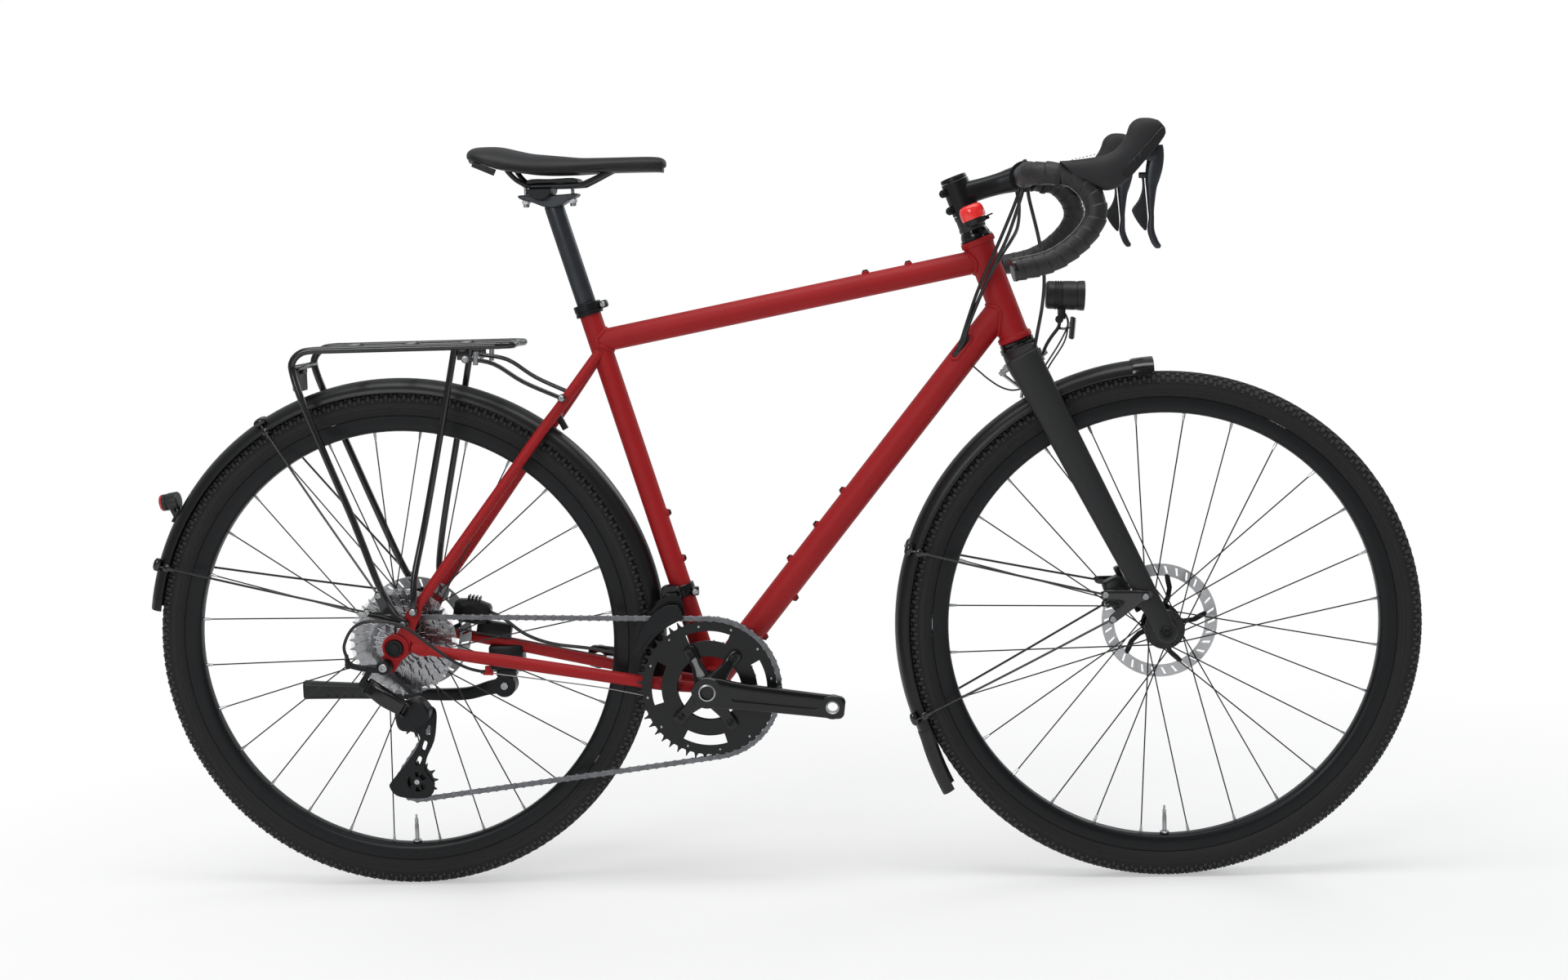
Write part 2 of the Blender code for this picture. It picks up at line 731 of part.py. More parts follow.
def make_hub(name, axle, width, flanges, flange_radius, barrel, rotor_inset, empty, freehub=0.0):
    """Hub shell with its flanges, rotor mount and spokes; hollow for the through axle."""
    half = width / 2
    bore = clear_radius(AXLE_RADIUS, 16)
    low, high = flanges
    mount = half - rotor_inset
    rotor_seat = 0.0150
    profile = [(bore, -half), (0.0095, -half)]
    if freehub:
        profile += [(0.0095, -half + 0.003), (0.0120, -half + 0.003), (0.0120, low - 0.0050),
                    (0.0190, low - 0.0038)]
    else:
        profile += [(0.0095, -half + 0.006), (barrel, low - 0.010)]
    rim = flange_radius + 0.003
    profile += [
        (rim, low - 0.0014), (rim, low + 0.0014), (barrel, low + 0.006), (barrel, high - 0.006),
        (rim, high - 0.0014),
        (rim, high + 0.0014), (rotor_seat + 0.004, high + 0.003),
        (rotor_seat + 0.004, mount - ROTOR_THICKNESS / 2 - GAP),
        (rotor_seat, mount - ROTOR_THICKNESS / 2 - GAP),
        (rotor_seat, mount + 0.003), (0.0095, mount + 0.003), (0.0095, half), (bore, half),
    ]
    hub = turned(profile, axle, (0, 1, 0), 10, (0, 0, -1))
    spokes = []
    for start, end in spoke_lines(axle, flanges, flange_radius, math.pi / SPOKE_COUNT):
        spokes.append(rod(start, end, SPOKE_RADIUS * 1.15, 3))
    hub = union(hub, merged(spokes))
    finish(hub, name, BLACK_ALLOY, empty, smooth=False)


def make_rotor(name, axle, width, inset, empty):
    """Brake disc: braking ring, six arms and the ring on the hub."""
    y = axle.y + width / 2 - inset
    centre = (axle.x, axle.z)
    windows = []
    for index in range(5):
        start = index * 72 + 7
        outer = arc(centre, ROTOR_RADIUS - 0.0155, start, start + 54, 3)
        inner = arc(centre, 0.0265, start + 54, start + 8, 2)
        windows.append(outer + inner)
    bore = circle(centre, clear_radius(0.0150, 16), 16)
    disc = plate(circle(centre, ROTOR_RADIUS, 28), ROTOR_THICKNESS, y, [bore, *windows])
    finish(disc, name, STEEL, empty)


# Fork and cockpit

CROWN_TOP = HEAD_TUBE_BOTTOM - 0.0073
BLADE_Y_TOP = 0.0375
FORK_TIP_THICKNESS = 0.012
FORK_TIP_Y = FRONT_HUB_WIDTH / 2 + GAP + FORK_TIP_THICKNESS / 2


def loft(sections, name="loft"):
    """A closed skin through rings of equal point count, with flat ends."""
    shape = bmesh.new()
    rings = [[shape.verts.new(point) for point in ring] for ring in sections]
    for lower, upper in zip(rings, rings[1:]):
        count = len(lower)
        for index in range(count):
            following = (index + 1) % count
            shape.faces.new((lower[index], lower[following], upper[following], upper[index]))
    shape.faces.new(list(reversed(rings[0])))
    shape.faces.new(rings[-1])
    bmesh.ops.recalc_face_normals(shape, faces=shape.faces)
    mesh = bpy.data.meshes.new(name)
    shape.to_mesh(mesh)
    shape.free()
    made = add_mesh(name, mesh)
    outward(made)
    return made


def oval(centre, along, across, half_along, half_across, count=12, power=2.4):
    """Ring of points of a rounded section at a centre, spanned by two directions."""
    ring = []
    for index in range(count):
        angle = math.tau * (index + 0.5) / count
        c, s = math.cos(angle), math.sin(angle)
        u = math.copysign(abs(c) ** (2 / power), c) * half_along
        v = math.copysign(abs(s) ** (2 / power), s) * half_across
        ring.append(Vector(centre) + Vector(along) * u + Vector(across) * v)
    return ring


def make_fork(empty):
    """Fork with its steerer: crown, two blades and the dropouts round the axle."""
    side_axis = Vector((0, -1, 0))
    crown = on_steerer(CROWN_TOP - 0.020)
    stations = (
        (0.0, 0.0235, 0.0115, BLADE_Y_TOP), (0.22, 0.0215, 0.0095, 0.0400), (0.50, 0.0190, 0.0080, 0.0455),
        (0.78, 0.0160, 0.0070, 0.0520), (0.93, 0.0145, 0.0062, FORK_TIP_Y),
    )
    rings = []
    for share, half_long, half_wide, offset in stations:
        centre = crown.lerp(FRONT_AXLE, share) + side_axis * offset
        run = (FRONT_AXLE - crown).normalized()
        ahead = Vector((-run.z, 0, run.x))
        rings.append(oval(centre, ahead, side_axis, half_long, half_wide, 10))
    blade = loft(rings)
    end = crown.lerp(FRONT_AXLE, 0.90) + side_axis * FORK_TIP_Y
    axle_face = FRONT_AXLE + side_axis * FORK_TIP_Y
    half = Vector((0, FORK_TIP_THICKNESS / 2, 0))
    tip = rod(axle_face - half, axle_face + half, 0.0145, 16)
    web = block((end + axle_face) / 2, (0.026, FORK_TIP_THICKNESS, (axle_face - end).length + 0.006),
                axle_face - end, (FRONT_AXLE - crown).normalized().cross(Vector((0, 1, 0))))
    blade = union(blade, web, tip)
    for share in (0.37, 0.52, 0.66):
        start = crown.lerp(FRONT_AXLE, share) + side_axis * (0.030 + 0.03 * share)
        blade = union(blade, rod(start, start + side_axis * 0.0175, 0.0040, 4))
    eyelet = FRONT_AXLE + Vector((-0.0225, -0.050, 0.0525))
    blade = union(blade, rod(eyelet, (eyelet.x, -(FRONT_BRACKET_Y - 0.0015 - GAP), eyelet.z), 0.0048, 8))
    other = mirrored(blade)
    top = on_steerer(CROWN_TOP)
    shoulder = loft([
        oval(on_steerer(CROWN_TOP - 0.045), STEER_FORWARD, side_axis, 0.0225, BLADE_Y_TOP + 0.0118, 12, 3.0),
        oval(on_steerer(CROWN_TOP - 0.016), STEER_FORWARD, side_axis, 0.0245, BLADE_Y_TOP + 0.0085, 12, 2.6),
        oval(top, STEER_FORWARD, side_axis, 0.0238, 0.0238, 12, 2.0),
    ])
    steerer = rod(on_steerer(CROWN_TOP - 0.03), on_steerer(STEERER_TOP), STEERER_RADIUS, 16)
    fork = union(shoulder, steerer, blade, other)
    arch = on_steerer(CROWN_TOP - 0.062)
    gate = loft([
        oval(arch - STEER_UP * 0.10, STEER_FORWARD, side_axis, 0.08, 0.0262, 12, 6.0),
        oval(arch + STEER_UP * 0.014, STEER_FORWARD, side_axis, 0.08, 0.0262, 12, 6.0),
        oval(arch + STEER_UP * 0.027, STEER_FORWARD, side_axis, 0.08, 0.014, 12, 3.0),
    ])
    axle_hole = rod(FRONT_AXLE + Vector((0, -0.1, 0)), FRONT_AXLE + Vector((0, 0.1, 0)),
                    clear_radius(AXLE_RADIUS, 14), 14)
    fork = cut(fork, gate, axle_hole, hose_bore())
    finish(fork, "fork", BLACK_PAINT, empty)


BELL_CLAMP_LOW = HEAD_TUBE_TOP + CUP_HEIGHT
STEM_LOW = BELL_CLAMP_LOW + BELL_CLAMP_HEIGHT + GAP
STEM_HIGH = STEM_LOW + STEM_CLAMP_HEIGHT
STEERER_TOP = STEM_HIGH - 0.003
STEM_START = on_steerer((STEM_LOW + STEM_HIGH) / 2 + 0.003)
BAR_CENTRE = STEM_START + Vector((math.cos(STEM_RISE), 0.0, math.sin(STEM_RISE))) * STEM_LENGTH


def make_stem(empty):
    """Stem with its faceplate and top cap, clamped on the steerer and round the bar."""
    outer = 0.0190
    sleeve = rod(on_steerer(STEM_LOW), on_steerer(STEM_HIGH), outer, 16)
    cap = rod(on_steerer(STEM_HIGH - 0.002), on_steerer(STEM_HIGH + 0.0065), 0.0180, 16)
    run = (BAR_CENTRE - STEM_START).normalized()
    arm = rod(STEM_START, BAR_CENTRE - run * 0.010, STEM_RADIUS, 16)
    half = Vector((0, 0.023, 0))
    clamp = rod(BAR_CENTRE - half, BAR_CENTRE + half, BAR_CLAMP_RADIUS + 0.0048, 16)
    behind = on_steerer((STEM_LOW + STEM_HIGH) / 2) - STEER_FORWARD * 0.0205
    ears = [
        block(behind + STEER_UP * shift, (0.009, 0.024, 0.011), STEER_UP, STEER_FORWARD)
        for shift in (-0.0125, 0.0125)
    ]
    stem = union(sleeve, cap, arm, clamp, *ears)
    bore = rod(on_steerer(STEM_LOW - 0.01), on_steerer(STEERER_TOP + GAP),
               clear_radius(STEERER_RADIUS, 16), 16)
    bar_bore = rod(BAR_CENTRE - half * 2, BAR_CENTRE + half * 2, clear_radius(BAR_CLAMP_RADIUS, 16), 16)
    split = block(behind, (0.014, 0.0016, 0.060), STEER_UP, STEER_FORWARD)
    finish(cut(stem, bore, bar_bore, split), "stem", BLACK_ALLOY, empty)


def bar_route():
    """Centre line of the right half of the bar from its middle to the end of the drop."""
    x, z = BAR_CENTRE.x, BAR_CENTRE.z
    reach, depth = BAR_REACH, BAR_DROP
    return [
        (x, -TAPE_START_Y, z), (x, -0.115, z), (x - 0.001, -0.168, z),
        (x + 0.010, -BAR_HALF_WIDTH + 0.004, z - 0.001),
        (x + reach * 0.36, -BAR_HALF_WIDTH - 0.008, z - 0.002),
        (x + reach * 0.68, -HOOD_HALF_WIDTH + 0.002, z - 0.008),
        (x + reach * 0.93, -HOOD_HALF_WIDTH - 0.002, z - depth * 0.24),
        (x + reach, -HOOD_HALF_WIDTH - 0.008, z - depth * 0.44),
        (x + reach * 0.86, -HOOD_HALF_WIDTH - 0.014, z - depth * 0.63),
        (x + reach * 0.56, -HOOD_HALF_WIDTH - 0.020, z - depth * 0.81),
        (x + reach * 0.20, -DROP_HALF_WIDTH + 0.005, z - depth * 0.93),
        (x - reach * 0.34, -DROP_HALF_WIDTH - 0.002, z - depth),
    ]


TAPE_START_Y = 0.058


def make_handlebar(empty):
    """Drop bar: thick middle, thin ends, wrapped in tape from beside the clamp to both ends."""
    half = Vector((0, 0.034, 0))
    middle = rod(BAR_CENTRE - half, BAR_CENTRE + half, BAR_CLAMP_RADIUS, 16)
    taper = rod(BAR_CENTRE - Vector((0, TAPE_START_Y + 0.01, 0)),
                BAR_CENTRE + Vector((0, TAPE_START_Y + 0.01, 0)), BAR_RADIUS, 12)
    right = pipe(bar_route(), TAPE_RADIUS, 2)
    left = mirrored(right)
    finish(union(middle, taper, right, left), "handlebar", BLACK_ALLOY, empty)


HOOD_TOP = ((0.050, 0.0134), (0.088, 0.0165), (0.108, 0.026), (0.122, 0.041), (0.138, 0.060), (0.156, 0.056))
HOOD_FOOT = ((0.078, -0.020), (0.105, -0.021), (0.121, -0.013), (0.142, 0.004), (0.159, 0.018),
             (0.167, 0.034))
HOOD_HALF = (0.0165, 0.0165, 0.0160, 0.0165, 0.0160, 0.0110)
LEVER_PIVOT = (0.149, 0.017)
LEVER_HEAD_RADIUS = 0.008
LEVER_HEAD_WIDTH = 0.013
PADDLE_PIVOT = (0.1405, -0.008)


def cockpit_point(offset, side=-1, y=None):
    """A point near a brake lever, given as (forward, up) from the bar's middle."""
    return Vector((BAR_CENTRE.x + offset[0], side * (HOOD_HALF_WIDTH if y is None else y),
                   BAR_CENTRE.z + offset[1]))


def handed(item, side):
    """Shapes are made for the right side; the left one is its mirror image."""
    if side < 0:
        return item
    other = mirrored(item)
    drop(item)
    return other


def make_hood(side, name, empty):
    """Rubber-covered brake lever body standing on the bend of the bar."""
    across = Vector((0, 1, 0))
    rings = []
    for high, low, half in zip(HOOD_TOP, HOOD_FOOT, HOOD_HALF):
        top, foot = cockpit_point(high), cockpit_point(low)
        up = (top - foot) / 2
        rings.append(oval((top + foot) / 2, up.normalized(), across, up.length, half, 12, 2.3))
    body = loft(rings)
    line = [Vector(point) for point in bar_route()]
    inside = [point for point in line if point.x > BAR_CENTRE.x + 0.012 and point.z > BAR_CENTRE.z - 0.075]
    passage = pipe(inside, clear_radius(TAPE_RADIUS, 8), 2)
    out = Vector((0.7071, 0, -0.7071))
    along = Vector((0.7071, 0, 0.7071))
    pivot = cockpit_point(LEVER_PIVOT)
    notch = block(pivot + out * 0.010 - along * 0.0105, (0.051, LEVER_HEAD_WIDTH + 2 * GAP, 0.040), out,
                  along)
    body = cut(body, passage, notch)
    finish(handed(body, side), name, RUBBER, empty)


def make_brake_lever(side, name, empty):
    """Brake lever blade with its head on the pivot in the hood's notch."""
    across = Vector((0, 1, 0))
    ahead = Vector((1, 0, 0))
    blade = (
        ((0.1530, 0.0215), 0.0062, 0.0060), ((0.1580, 0.0020), 0.0095, LEVER_HEAD_WIDTH / 2),
        ((0.1530, -0.0300), 0.0075, 0.0058),
        ((0.1465, -0.0600), 0.0060, 0.0050), ((0.1490, -0.0850), 0.0048, 0.0046),
        ((0.1560, -0.1000), 0.0050, 0.0046),
    )
    rings = []
    for offset, half_long, half_wide in blade:
        rings.append(oval(cockpit_point(offset), ahead, across, half_long, half_wide, 10, 2.3))
    lever = loft(rings)
    pivot = cockpit_point(LEVER_PIVOT)
    half = Vector((0, LEVER_HEAD_WIDTH / 2, 0))
    head = rod(pivot - half, pivot + half, LEVER_HEAD_RADIUS, 12)
    finish(handed(union(lever, head), side), name, GREY_ALLOY, empty)


def make_shift_lever(side, name, empty):
    """Thin shift paddle behind the brake lever."""
    outline = [
        (0.1360, -0.0040), (0.1470, -0.0040), (0.1448, -0.0280), (0.1397, -0.0570), (0.1405, -0.0720),
        (0.1360, -0.0770), (0.1262, -0.0570), (0.1272, -0.0500), (0.1375, -0.0240),
    ]
    loop = [(BAR_CENTRE.x + x, BAR_CENTRE.z + z) for x, z in outline]
    paddle = plate(loop, 0.0032, -HOOD_HALF_WIDTH)
    knuckle = rod(cockpit_point((PADDLE_PIVOT[0] - 0.006, PADDLE_PIVOT[1])),
                  cockpit_point((PADDLE_PIVOT[0] + 0.0052, PADDLE_PIVOT[1])), 0.0038, 10)
    finish(handed(union(paddle, knuckle), side), name, PLASTIC, empty)


BELL_Y = -0.0375
BELL_HIGH = BELL_CLAMP_LOW + 0.010
BELL_RADIUS = 0.0165


def bell_point(forward, height, y=BELL_Y):
    return on_steerer(BELL_HIGH + height) + STEER_FORWARD * forward + Vector((0, y, 0))


STRIKER_AHEAD = 0.006 + BELL_RADIUS + 0.0010


def make_bell(empty):
    """Bell: clamp ring under the stem, base beside it and the dome on top."""
    inner = clear_radius(STEERER_RADIUS, 16)
    ring = hollow(on_steerer(BELL_CLAMP_LOW), on_steerer(BELL_CLAMP_LOW + BELL_CLAMP_HEIGHT), 0.0182, inner)
    arm = block(bell_point(0.006, 0.0005, -0.0235), (0.016, 0.020, 0.010), STEER_UP, STEER_FORWARD)
    base = rod(bell_point(0.006, -0.005), bell_point(0.006, 0.0035), BELL_RADIUS - 0.0015, 10)
    dome_profile = [
        (0.0, 0.003), (BELL_RADIUS, 0.003), (BELL_RADIUS, 0.012), (BELL_RADIUS - 0.0015, 0.0185),
        (BELL_RADIUS - 0.0055, 0.0230), (0.0, 0.0245),
    ]
    dome = turned(dome_profile, bell_point(0.006, 0.0), STEER_UP, 12, STEER_FORWARD)
    ring_bore = rod(on_steerer(BELL_CLAMP_LOW - 0.01), on_steerer(BELL_CLAMP_LOW + 0.05), inner, 16)
    stem_room = rod(on_steerer(STEM_LOW - GAP), on_steerer(STEM_LOW + 0.03), clear_radius(0.0190, 16), 16)
    body = cut(union(ring, arm, base, dome), ring_bore, stem_room)
    finish(body, "bell", BELL_RED, empty)


def make_bell_striker(empty):
    """Sprung thumb lever at the front of the bell's base."""
    post = rod(bell_point(STRIKER_AHEAD, -0.004), bell_point(STRIKER_AHEAD, 0.0015), 0.0022, 8)
    thumb = block(bell_point(STRIKER_AHEAD + 0.004, 0.0, BELL_Y - 0.003), (0.008, 0.009, 0.0022),
                  STEER_UP, STEER_FORWARD)
    finish(union(post, thumb), "bell_striker", PLASTIC, empty)


CROWN_FRONT = on_steerer(0.410) + STEER_FORWARD * 0.0232
LAMP_PIVOT = CROWN_FRONT + Vector((0.02715, 0.0, 0.04703))
LAMP_CENTRE = LAMP_PIVOT + Vector((0.0085, 0.0, 0.0325))
LAMP_TILT = math.radians(-3.0)


def make_headlight_bracket(empty):
    """Wire bracket from the crown bolt to the lamp's hinge, with the front reflector."""
    foot = CROWN_FRONT + STEER_FORWARD * (GAP + 0.0022)
    base = block(foot, (0.0032, 0.016, 0.018), STEER_UP, STEER_FORWARD)
    bolt = rod(foot, foot + STEER_FORWARD * 0.0085, 0.0045, 8)
    pieces = [bolt]
    for side in (-1, 1):
        route = [
            foot + Vector((0, side * 0.006, -0.002)), foot + Vector((0.006, side * 0.0085, 0.012)),
            LAMP_PIVOT + Vector((0.0, side * 0.0095, -0.010)),
            LAMP_PIVOT + Vector((0.0, side * 0.0095, 0.002)),
        ]
        pieces.append(pipe(route, 0.0019, 0))
    pin = rod(LAMP_PIVOT + Vector((0, -0.013, 0)), LAMP_PIVOT + Vector((0, 0.013, 0)), 0.0021, 8)
    bridge = rod(LAMP_PIVOT + Vector((0.0, -0.010, -0.0115)), LAMP_PIVOT + Vector((0.0, 0.010, -0.0115)),
                 0.002, 8)
    arm = block(LAMP_PIVOT + Vector((0.009, 0, -0.0115)), (0.018, 0.006, 0.003))
    reflector = block(LAMP_PIVOT + Vector((0.0175, 0, -0.010)), (0.0045, 0.030, 0.030), (0.1, 0, 1))
    body = union(base, *pieces, pin, bridge, arm, reflector)
    finish(body, "headlight_bracket", STEEL, empty)


def make_headlight(empty):
    """Lamp body with its hinge lug."""
    axis = Vector((math.cos(LAMP_TILT), 0, math.sin(LAMP_TILT)))
    profile = [
        (0.0, -0.0265), (0.0175, -0.0265), (0.0190, -0.024), (0.0190, -0.010), (0.0198, -0.005),
        (0.0205, 0.026),
        (0.0180, 0.0265), (0.0170, 0.0235), (0.0, 0.0235),
    ]
    lamp = turned(profile, LAMP_CENTRE, axis, 12)
    lug = block((LAMP_PIVOT + LAMP_CENTRE) / 2 + Vector((-0.001, 0, -0.008)), (0.011, 0.010, 0.0165))
    eye = rod(LAMP_PIVOT + Vector((0, -0.005, 0)), LAMP_PIVOT + Vector((0, 0.005, 0)), 0.0055, 14)
    hole = rod(LAMP_PIVOT + Vector((0, -0.03, 0)), LAMP_PIVOT + Vector((0, 0.03, 0)),
               clear_radius(0.0021, 8), 8)
    finish(cut(union(lamp, lug, eye), hole), "headlight", PLASTIC, empty)


# Mudguards


REAR_GUARD = (-9.0, 172.0, 16)
FRONT_GUARD = (91.5, 217.5, 11)


def guard_top(span, degrees):
    """Radius of the faceted blade's outer surface at an angle, along its middle."""
    first, last, count = span
    step = (last - first) / count
    from_middle = (degrees - first) % step - step / 2
    high = GUARD_RADIUS - GUARD_DEPTH * (1 - math.cos(math.radians(18)))
    return high * math.cos(math.radians(step / 2)) / math.cos(math.radians(from_middle))


def guard(axle, span, flare=None):
    """A mudguard blade over a span of degrees; flare adds radius by angle."""
    first, last, count = span
    arch = []
    for index in range(6):
        lean = math.radians(-90 + 36 * index)
        arch.append((GUARD_RADIUS - GUARD_DEPTH * (1 - math.cos(lean)), 0.0,
                     GUARD_HALF_WIDTH * math.sin(lean)))
    mesh = bpy.data.meshes.new("guard")
    mesh.from_pydata(arch, [(index, index + 1) for index in range(len(arch) - 1)], [])
    item = add_mesh("guard", mesh)
    screw = item.modifiers.new("sweep", "SCREW")
    screw.axis = "Z"
    screw.angle = math.radians(last - first)
    screw.steps = count
    screw.render_steps = count
    screw.use_merge_vertices = False
    wall = item.modifiers.new("wall", "SOLIDIFY")
    wall.thickness = GUARD_WALL
    wall.offset = 1.0
    item.matrix_world = (Matrix.Translation(axle) @ Matrix.Rotation(math.pi / 2, 4, "X")
                         @ Matrix.Rotation(math.radians(first), 4, "Z"))
    made = baked(item)
    outward(made)
    if flare:
        for vertex in made.data.vertices:
            out = Vector((vertex.co.x - axle.x, 0, vertex.co.z - axle.z))
            degrees = math.degrees(math.atan2(out.z, out.x)) % 360
            vertex.co += out.normalized() * flare(degrees)
    return made


def round_axle(axle, degrees, radius, y=0.0):
    angle = math.radians(degrees)
    return axle + Vector((radius * math.cos(angle), y, radius * math.sin(angle)))


def make_rear_mudguard():
    blade = guard(REAR_AXLE, REAR_GUARD)
    seat_bridge = Vector((0.226, 0, 0.664)) - REAR_AXLE
    angle = math.degrees(math.atan2(seat_bridge.z, seat_bridge.x))
    spacer = rod(round_axle(REAR_AXLE, angle, GUARD_RADIUS - 0.0045),
                 round_axle(REAR_AXLE, angle, seat_bridge.length - 0.0055 - GAP), 0.0045, 10)
    low_bridge = Vector((BB.x - 0.050, 0, 0.2838)) - REAR_AXLE
    low_angle = math.degrees(math.atan2(low_bridge.z, low_bridge.x))
    foot = rod(round_axle(REAR_AXLE, low_angle + 2.0, GUARD_RADIUS - 0.0045),
               round_axle(REAR_AXLE, low_angle + 0.8, low_bridge.length - 0.0050 - GAP), 0.0040, 10)
    finish(union(blade, spacer, foot), "rear_mudguard", PLASTIC)


FRONT_FLAP_START = 206.2


def front_flare(degrees):
    return max(0.0, degrees - FRONT_FLAP_START) * 0.0014


def make_front_mudguard(empty):
    blade = guard(FRONT_AXLE, FRONT_GUARD, front_flare)
    hold = rod(round_axle(FRONT_AXLE, 119.0, GUARD_RADIUS - 0.0045),
               round_axle(FRONT_AXLE, 119.0, GUARD_RADIUS + 0.010), 0.0045, 10)
    tab = block(round_axle(FRONT_AXLE, 120.5, GUARD_RADIUS + 0.0105), (0.024, 0.016, 0.0024),
                Vector((math.cos(math.radians(120)), 0, math.sin(math.radians(120)))))
    finish(union(blade, hold, tab), "front_mudguard", PLASTIC, empty)


WIRE_RADIUS = 0.0016


def stay_wire(start, axle, span, degrees):
    """A U-shaped wire from one side's bracket over the blade to the other side's."""
    side = GUARD_HALF_WIDTH + WIRE_RADIUS + GAP
    top = guard_top(span, degrees) + WIRE_RADIUS + GAP
    right = Vector(start)
    points = [
        right, round_axle(axle, degrees, top - GUARD_DEPTH, -side),
        round_axle(axle, degrees, top - 0.0105, -side),
        round_axle(axle, degrees, top - 0.0015, -side * 0.66), round_axle(axle, degrees, top, -side * 0.28),
    ]
    others = [Vector((point.x, -point.y, point.z)) for point in reversed(points)]
    return pipe(points + others, WIRE_RADIUS, 1)


REAR_BRACKET_Y = 0.0915


def make_rear_mudguard_stays():
    """Two wire stays and the two plates that hold them on the rack bolts."""
    first = (-0.0152, -REAR_BRACKET_Y, 0.4274)
    second = (-0.0320, -REAR_BRACKET_Y, 0.4044)
    bolt = RACK_BOLT_LOW
    outline = [
        (bolt[0] + 0.006, bolt[1] + 0.002), (bolt[0] + 0.001, bolt[1] - 0.006), (-0.0320, 0.3989),
        (-0.0375, 0.4044), (-0.0320, 0.4099), (-0.0140, 0.4060), (-0.0200, 0.4234), (-0.0192, 0.4314),
        (-0.0122, 0.4324), (0.0020, 0.4060),
    ]
    plates = [plate(outline, 0.003, side * REAR_BRACKET_Y) for side in (-1, 1)]
    hubs = []
    for point in (first, second):
        for side in (-1, 1):
            middle = Vector((point[0], side * REAR_BRACKET_Y, point[2]))
            hubs.append(rod(middle - Vector((0, 0.004, 0)), middle + Vector((0, 0.004, 0)), 0.0048, 6))
    body = union(stay_wire(first, REAR_AXLE, REAR_GUARD, 121.0), *plates,
                 stay_wire(second, REAR_AXLE, REAR_GUARD, 161.5), *hubs)
    finish(body, "rear_mudguard_stays", BLACK_PAINT)


FRONT_BRACKET_Y = 0.0655


def make_front_mudguard_stays(empty):
    """Two wire stays and the two plates that hold them on the fork's eyelets."""
    first = FRONT_AXLE + Vector((-0.082, -FRONT_BRACKET_Y, 0.0545))
    second = FRONT_AXLE + Vector((-0.0725, -FRONT_BRACKET_Y, 0.021))
    offsets = [
        (-0.023, 0.048), (-0.025, 0.058), (-0.082, 0.06), (-0.0875, 0.0545), (-0.082, 0.049),
        (-0.056, 0.045), (-0.076, 0.0255), (-0.077, 0.017), (-0.069, 0.0165), (-0.034, 0.043),
    ]
    outline = [(FRONT_AXLE.x + x, FRONT_AXLE.z + z) for x, z in offsets]
    plates = [plate(outline, 0.003, side * FRONT_BRACKET_Y) for side in (-1, 1)]
    hubs = []
    for point in (first, second):
        for side in (-1, 1):
            middle = Vector((point[0], side * FRONT_BRACKET_Y, point[2]))
            hubs.append(rod(middle - Vector((0, 0.0035, 0)), middle + Vector((0, 0.0035, 0)), 0.0048, 6))
    body = union(stay_wire(first, FRONT_AXLE, FRONT_GUARD, 161.5), *plates,
                 stay_wire(second, FRONT_AXLE, FRONT_GUARD, 199.5), *hubs)
    finish(body, "front_mudguard_stays", BLACK_PAINT, empty)


# Rack and lights

RACK_BOLT_HIGH = (0.0297, 0.4025)
RACK_BOLT_LOW = (0.0170, 0.3870)
RACK_FOOT_Y = DROPOUT_Y + DROPOUT_THICKNESS / 2 + GAP + RACK_TUBE_RADIUS


def make_rear_rack():
    """Welded tube rack: hooped side rails, two cross bars, four legs and the forward struts."""
    r = RACK_TUBE_RADIUS
    wide = RACK_HALF_WIDTH
    z = RACK_HEIGHT
    rail = [
        (RACK_FRONT - 0.006, -0.020, z), (RACK_FRONT - 0.002, -0.042, z),
        (RACK_FRONT - 0.016, -wide + 0.003, z),
        (RACK_FRONT - 0.040, -wide, z), (RACK_REAR + 0.022, -wide, z),
        (RACK_REAR + 0.003, -wide, z - 0.003), (RACK_REAR - 0.009, -wide, z - 0.014),
        (RACK_REAR - 0.010, -wide, z - 0.030),
        (RACK_REAR + 0.003, -wide - 0.004, z - 0.072),
    ]
    leg_top = Vector(rail[-1])
    leg = [leg_top, Vector((-0.051, -0.0650, 0.5256)), Vector((-0.017, -0.0760, 0.437)),
           Vector((0.006, -RACK_FOOT_Y, 0.400)),
           Vector((RACK_BOLT_LOW[0] - 0.002, -RACK_FOOT_Y, RACK_BOLT_LOW[1] + 0.004))]
    outer = pipe(smooth_route(rail, 1)[:-1] + leg, r, 1)
    strut_top = Vector((0.0985, -wide, z - 0.001))
    strut = pipe([strut_top, Vector((0.048, -0.0640, 0.5235)), Vector((0.033, -0.0775, 0.452)),
                  Vector((0.0312, -RACK_FOOT_Y, 0.419)),
                  Vector((RACK_BOLT_HIGH[0], -RACK_FOOT_Y, RACK_BOLT_HIGH[1]))], r, 1)
    forward = pipe([Vector((0.110, -wide + 0.002, 0.7465)), Vector((0.150, -0.052, 0.738)),
                    Vector((0.190, -0.049, 0.712)),
                    Vector((0.241, -0.0455, 0.688))], 0.003, 1)
    lug = block((0.110, -wide + 0.001, 0.752), (0.016, 0.006, 0.020))
    side_frame = union(outer, strut, forward, lug)
    other = mirrored(side_frame)
    bars = [
        rod((0.099, -wide, z - 0.001), (0.099, wide, z - 0.001), 0.0042, 8),
        rod((-0.060, -wide, z), (-0.060, wide, z), 0.0042, 8),
        rod((RACK_FRONT - 0.006, -0.030, z), (RACK_FRONT - 0.006, 0.030, z), r * 0.98, 8),
        rod((RACK_REAR - 0.0095, -wide, z - 0.024), (RACK_REAR - 0.0095, wide, z - 0.024), 0.0042, 8),
    ]
    finish(union(side_frame, other, *bars), "rear_rack", BLACK_PAINT)


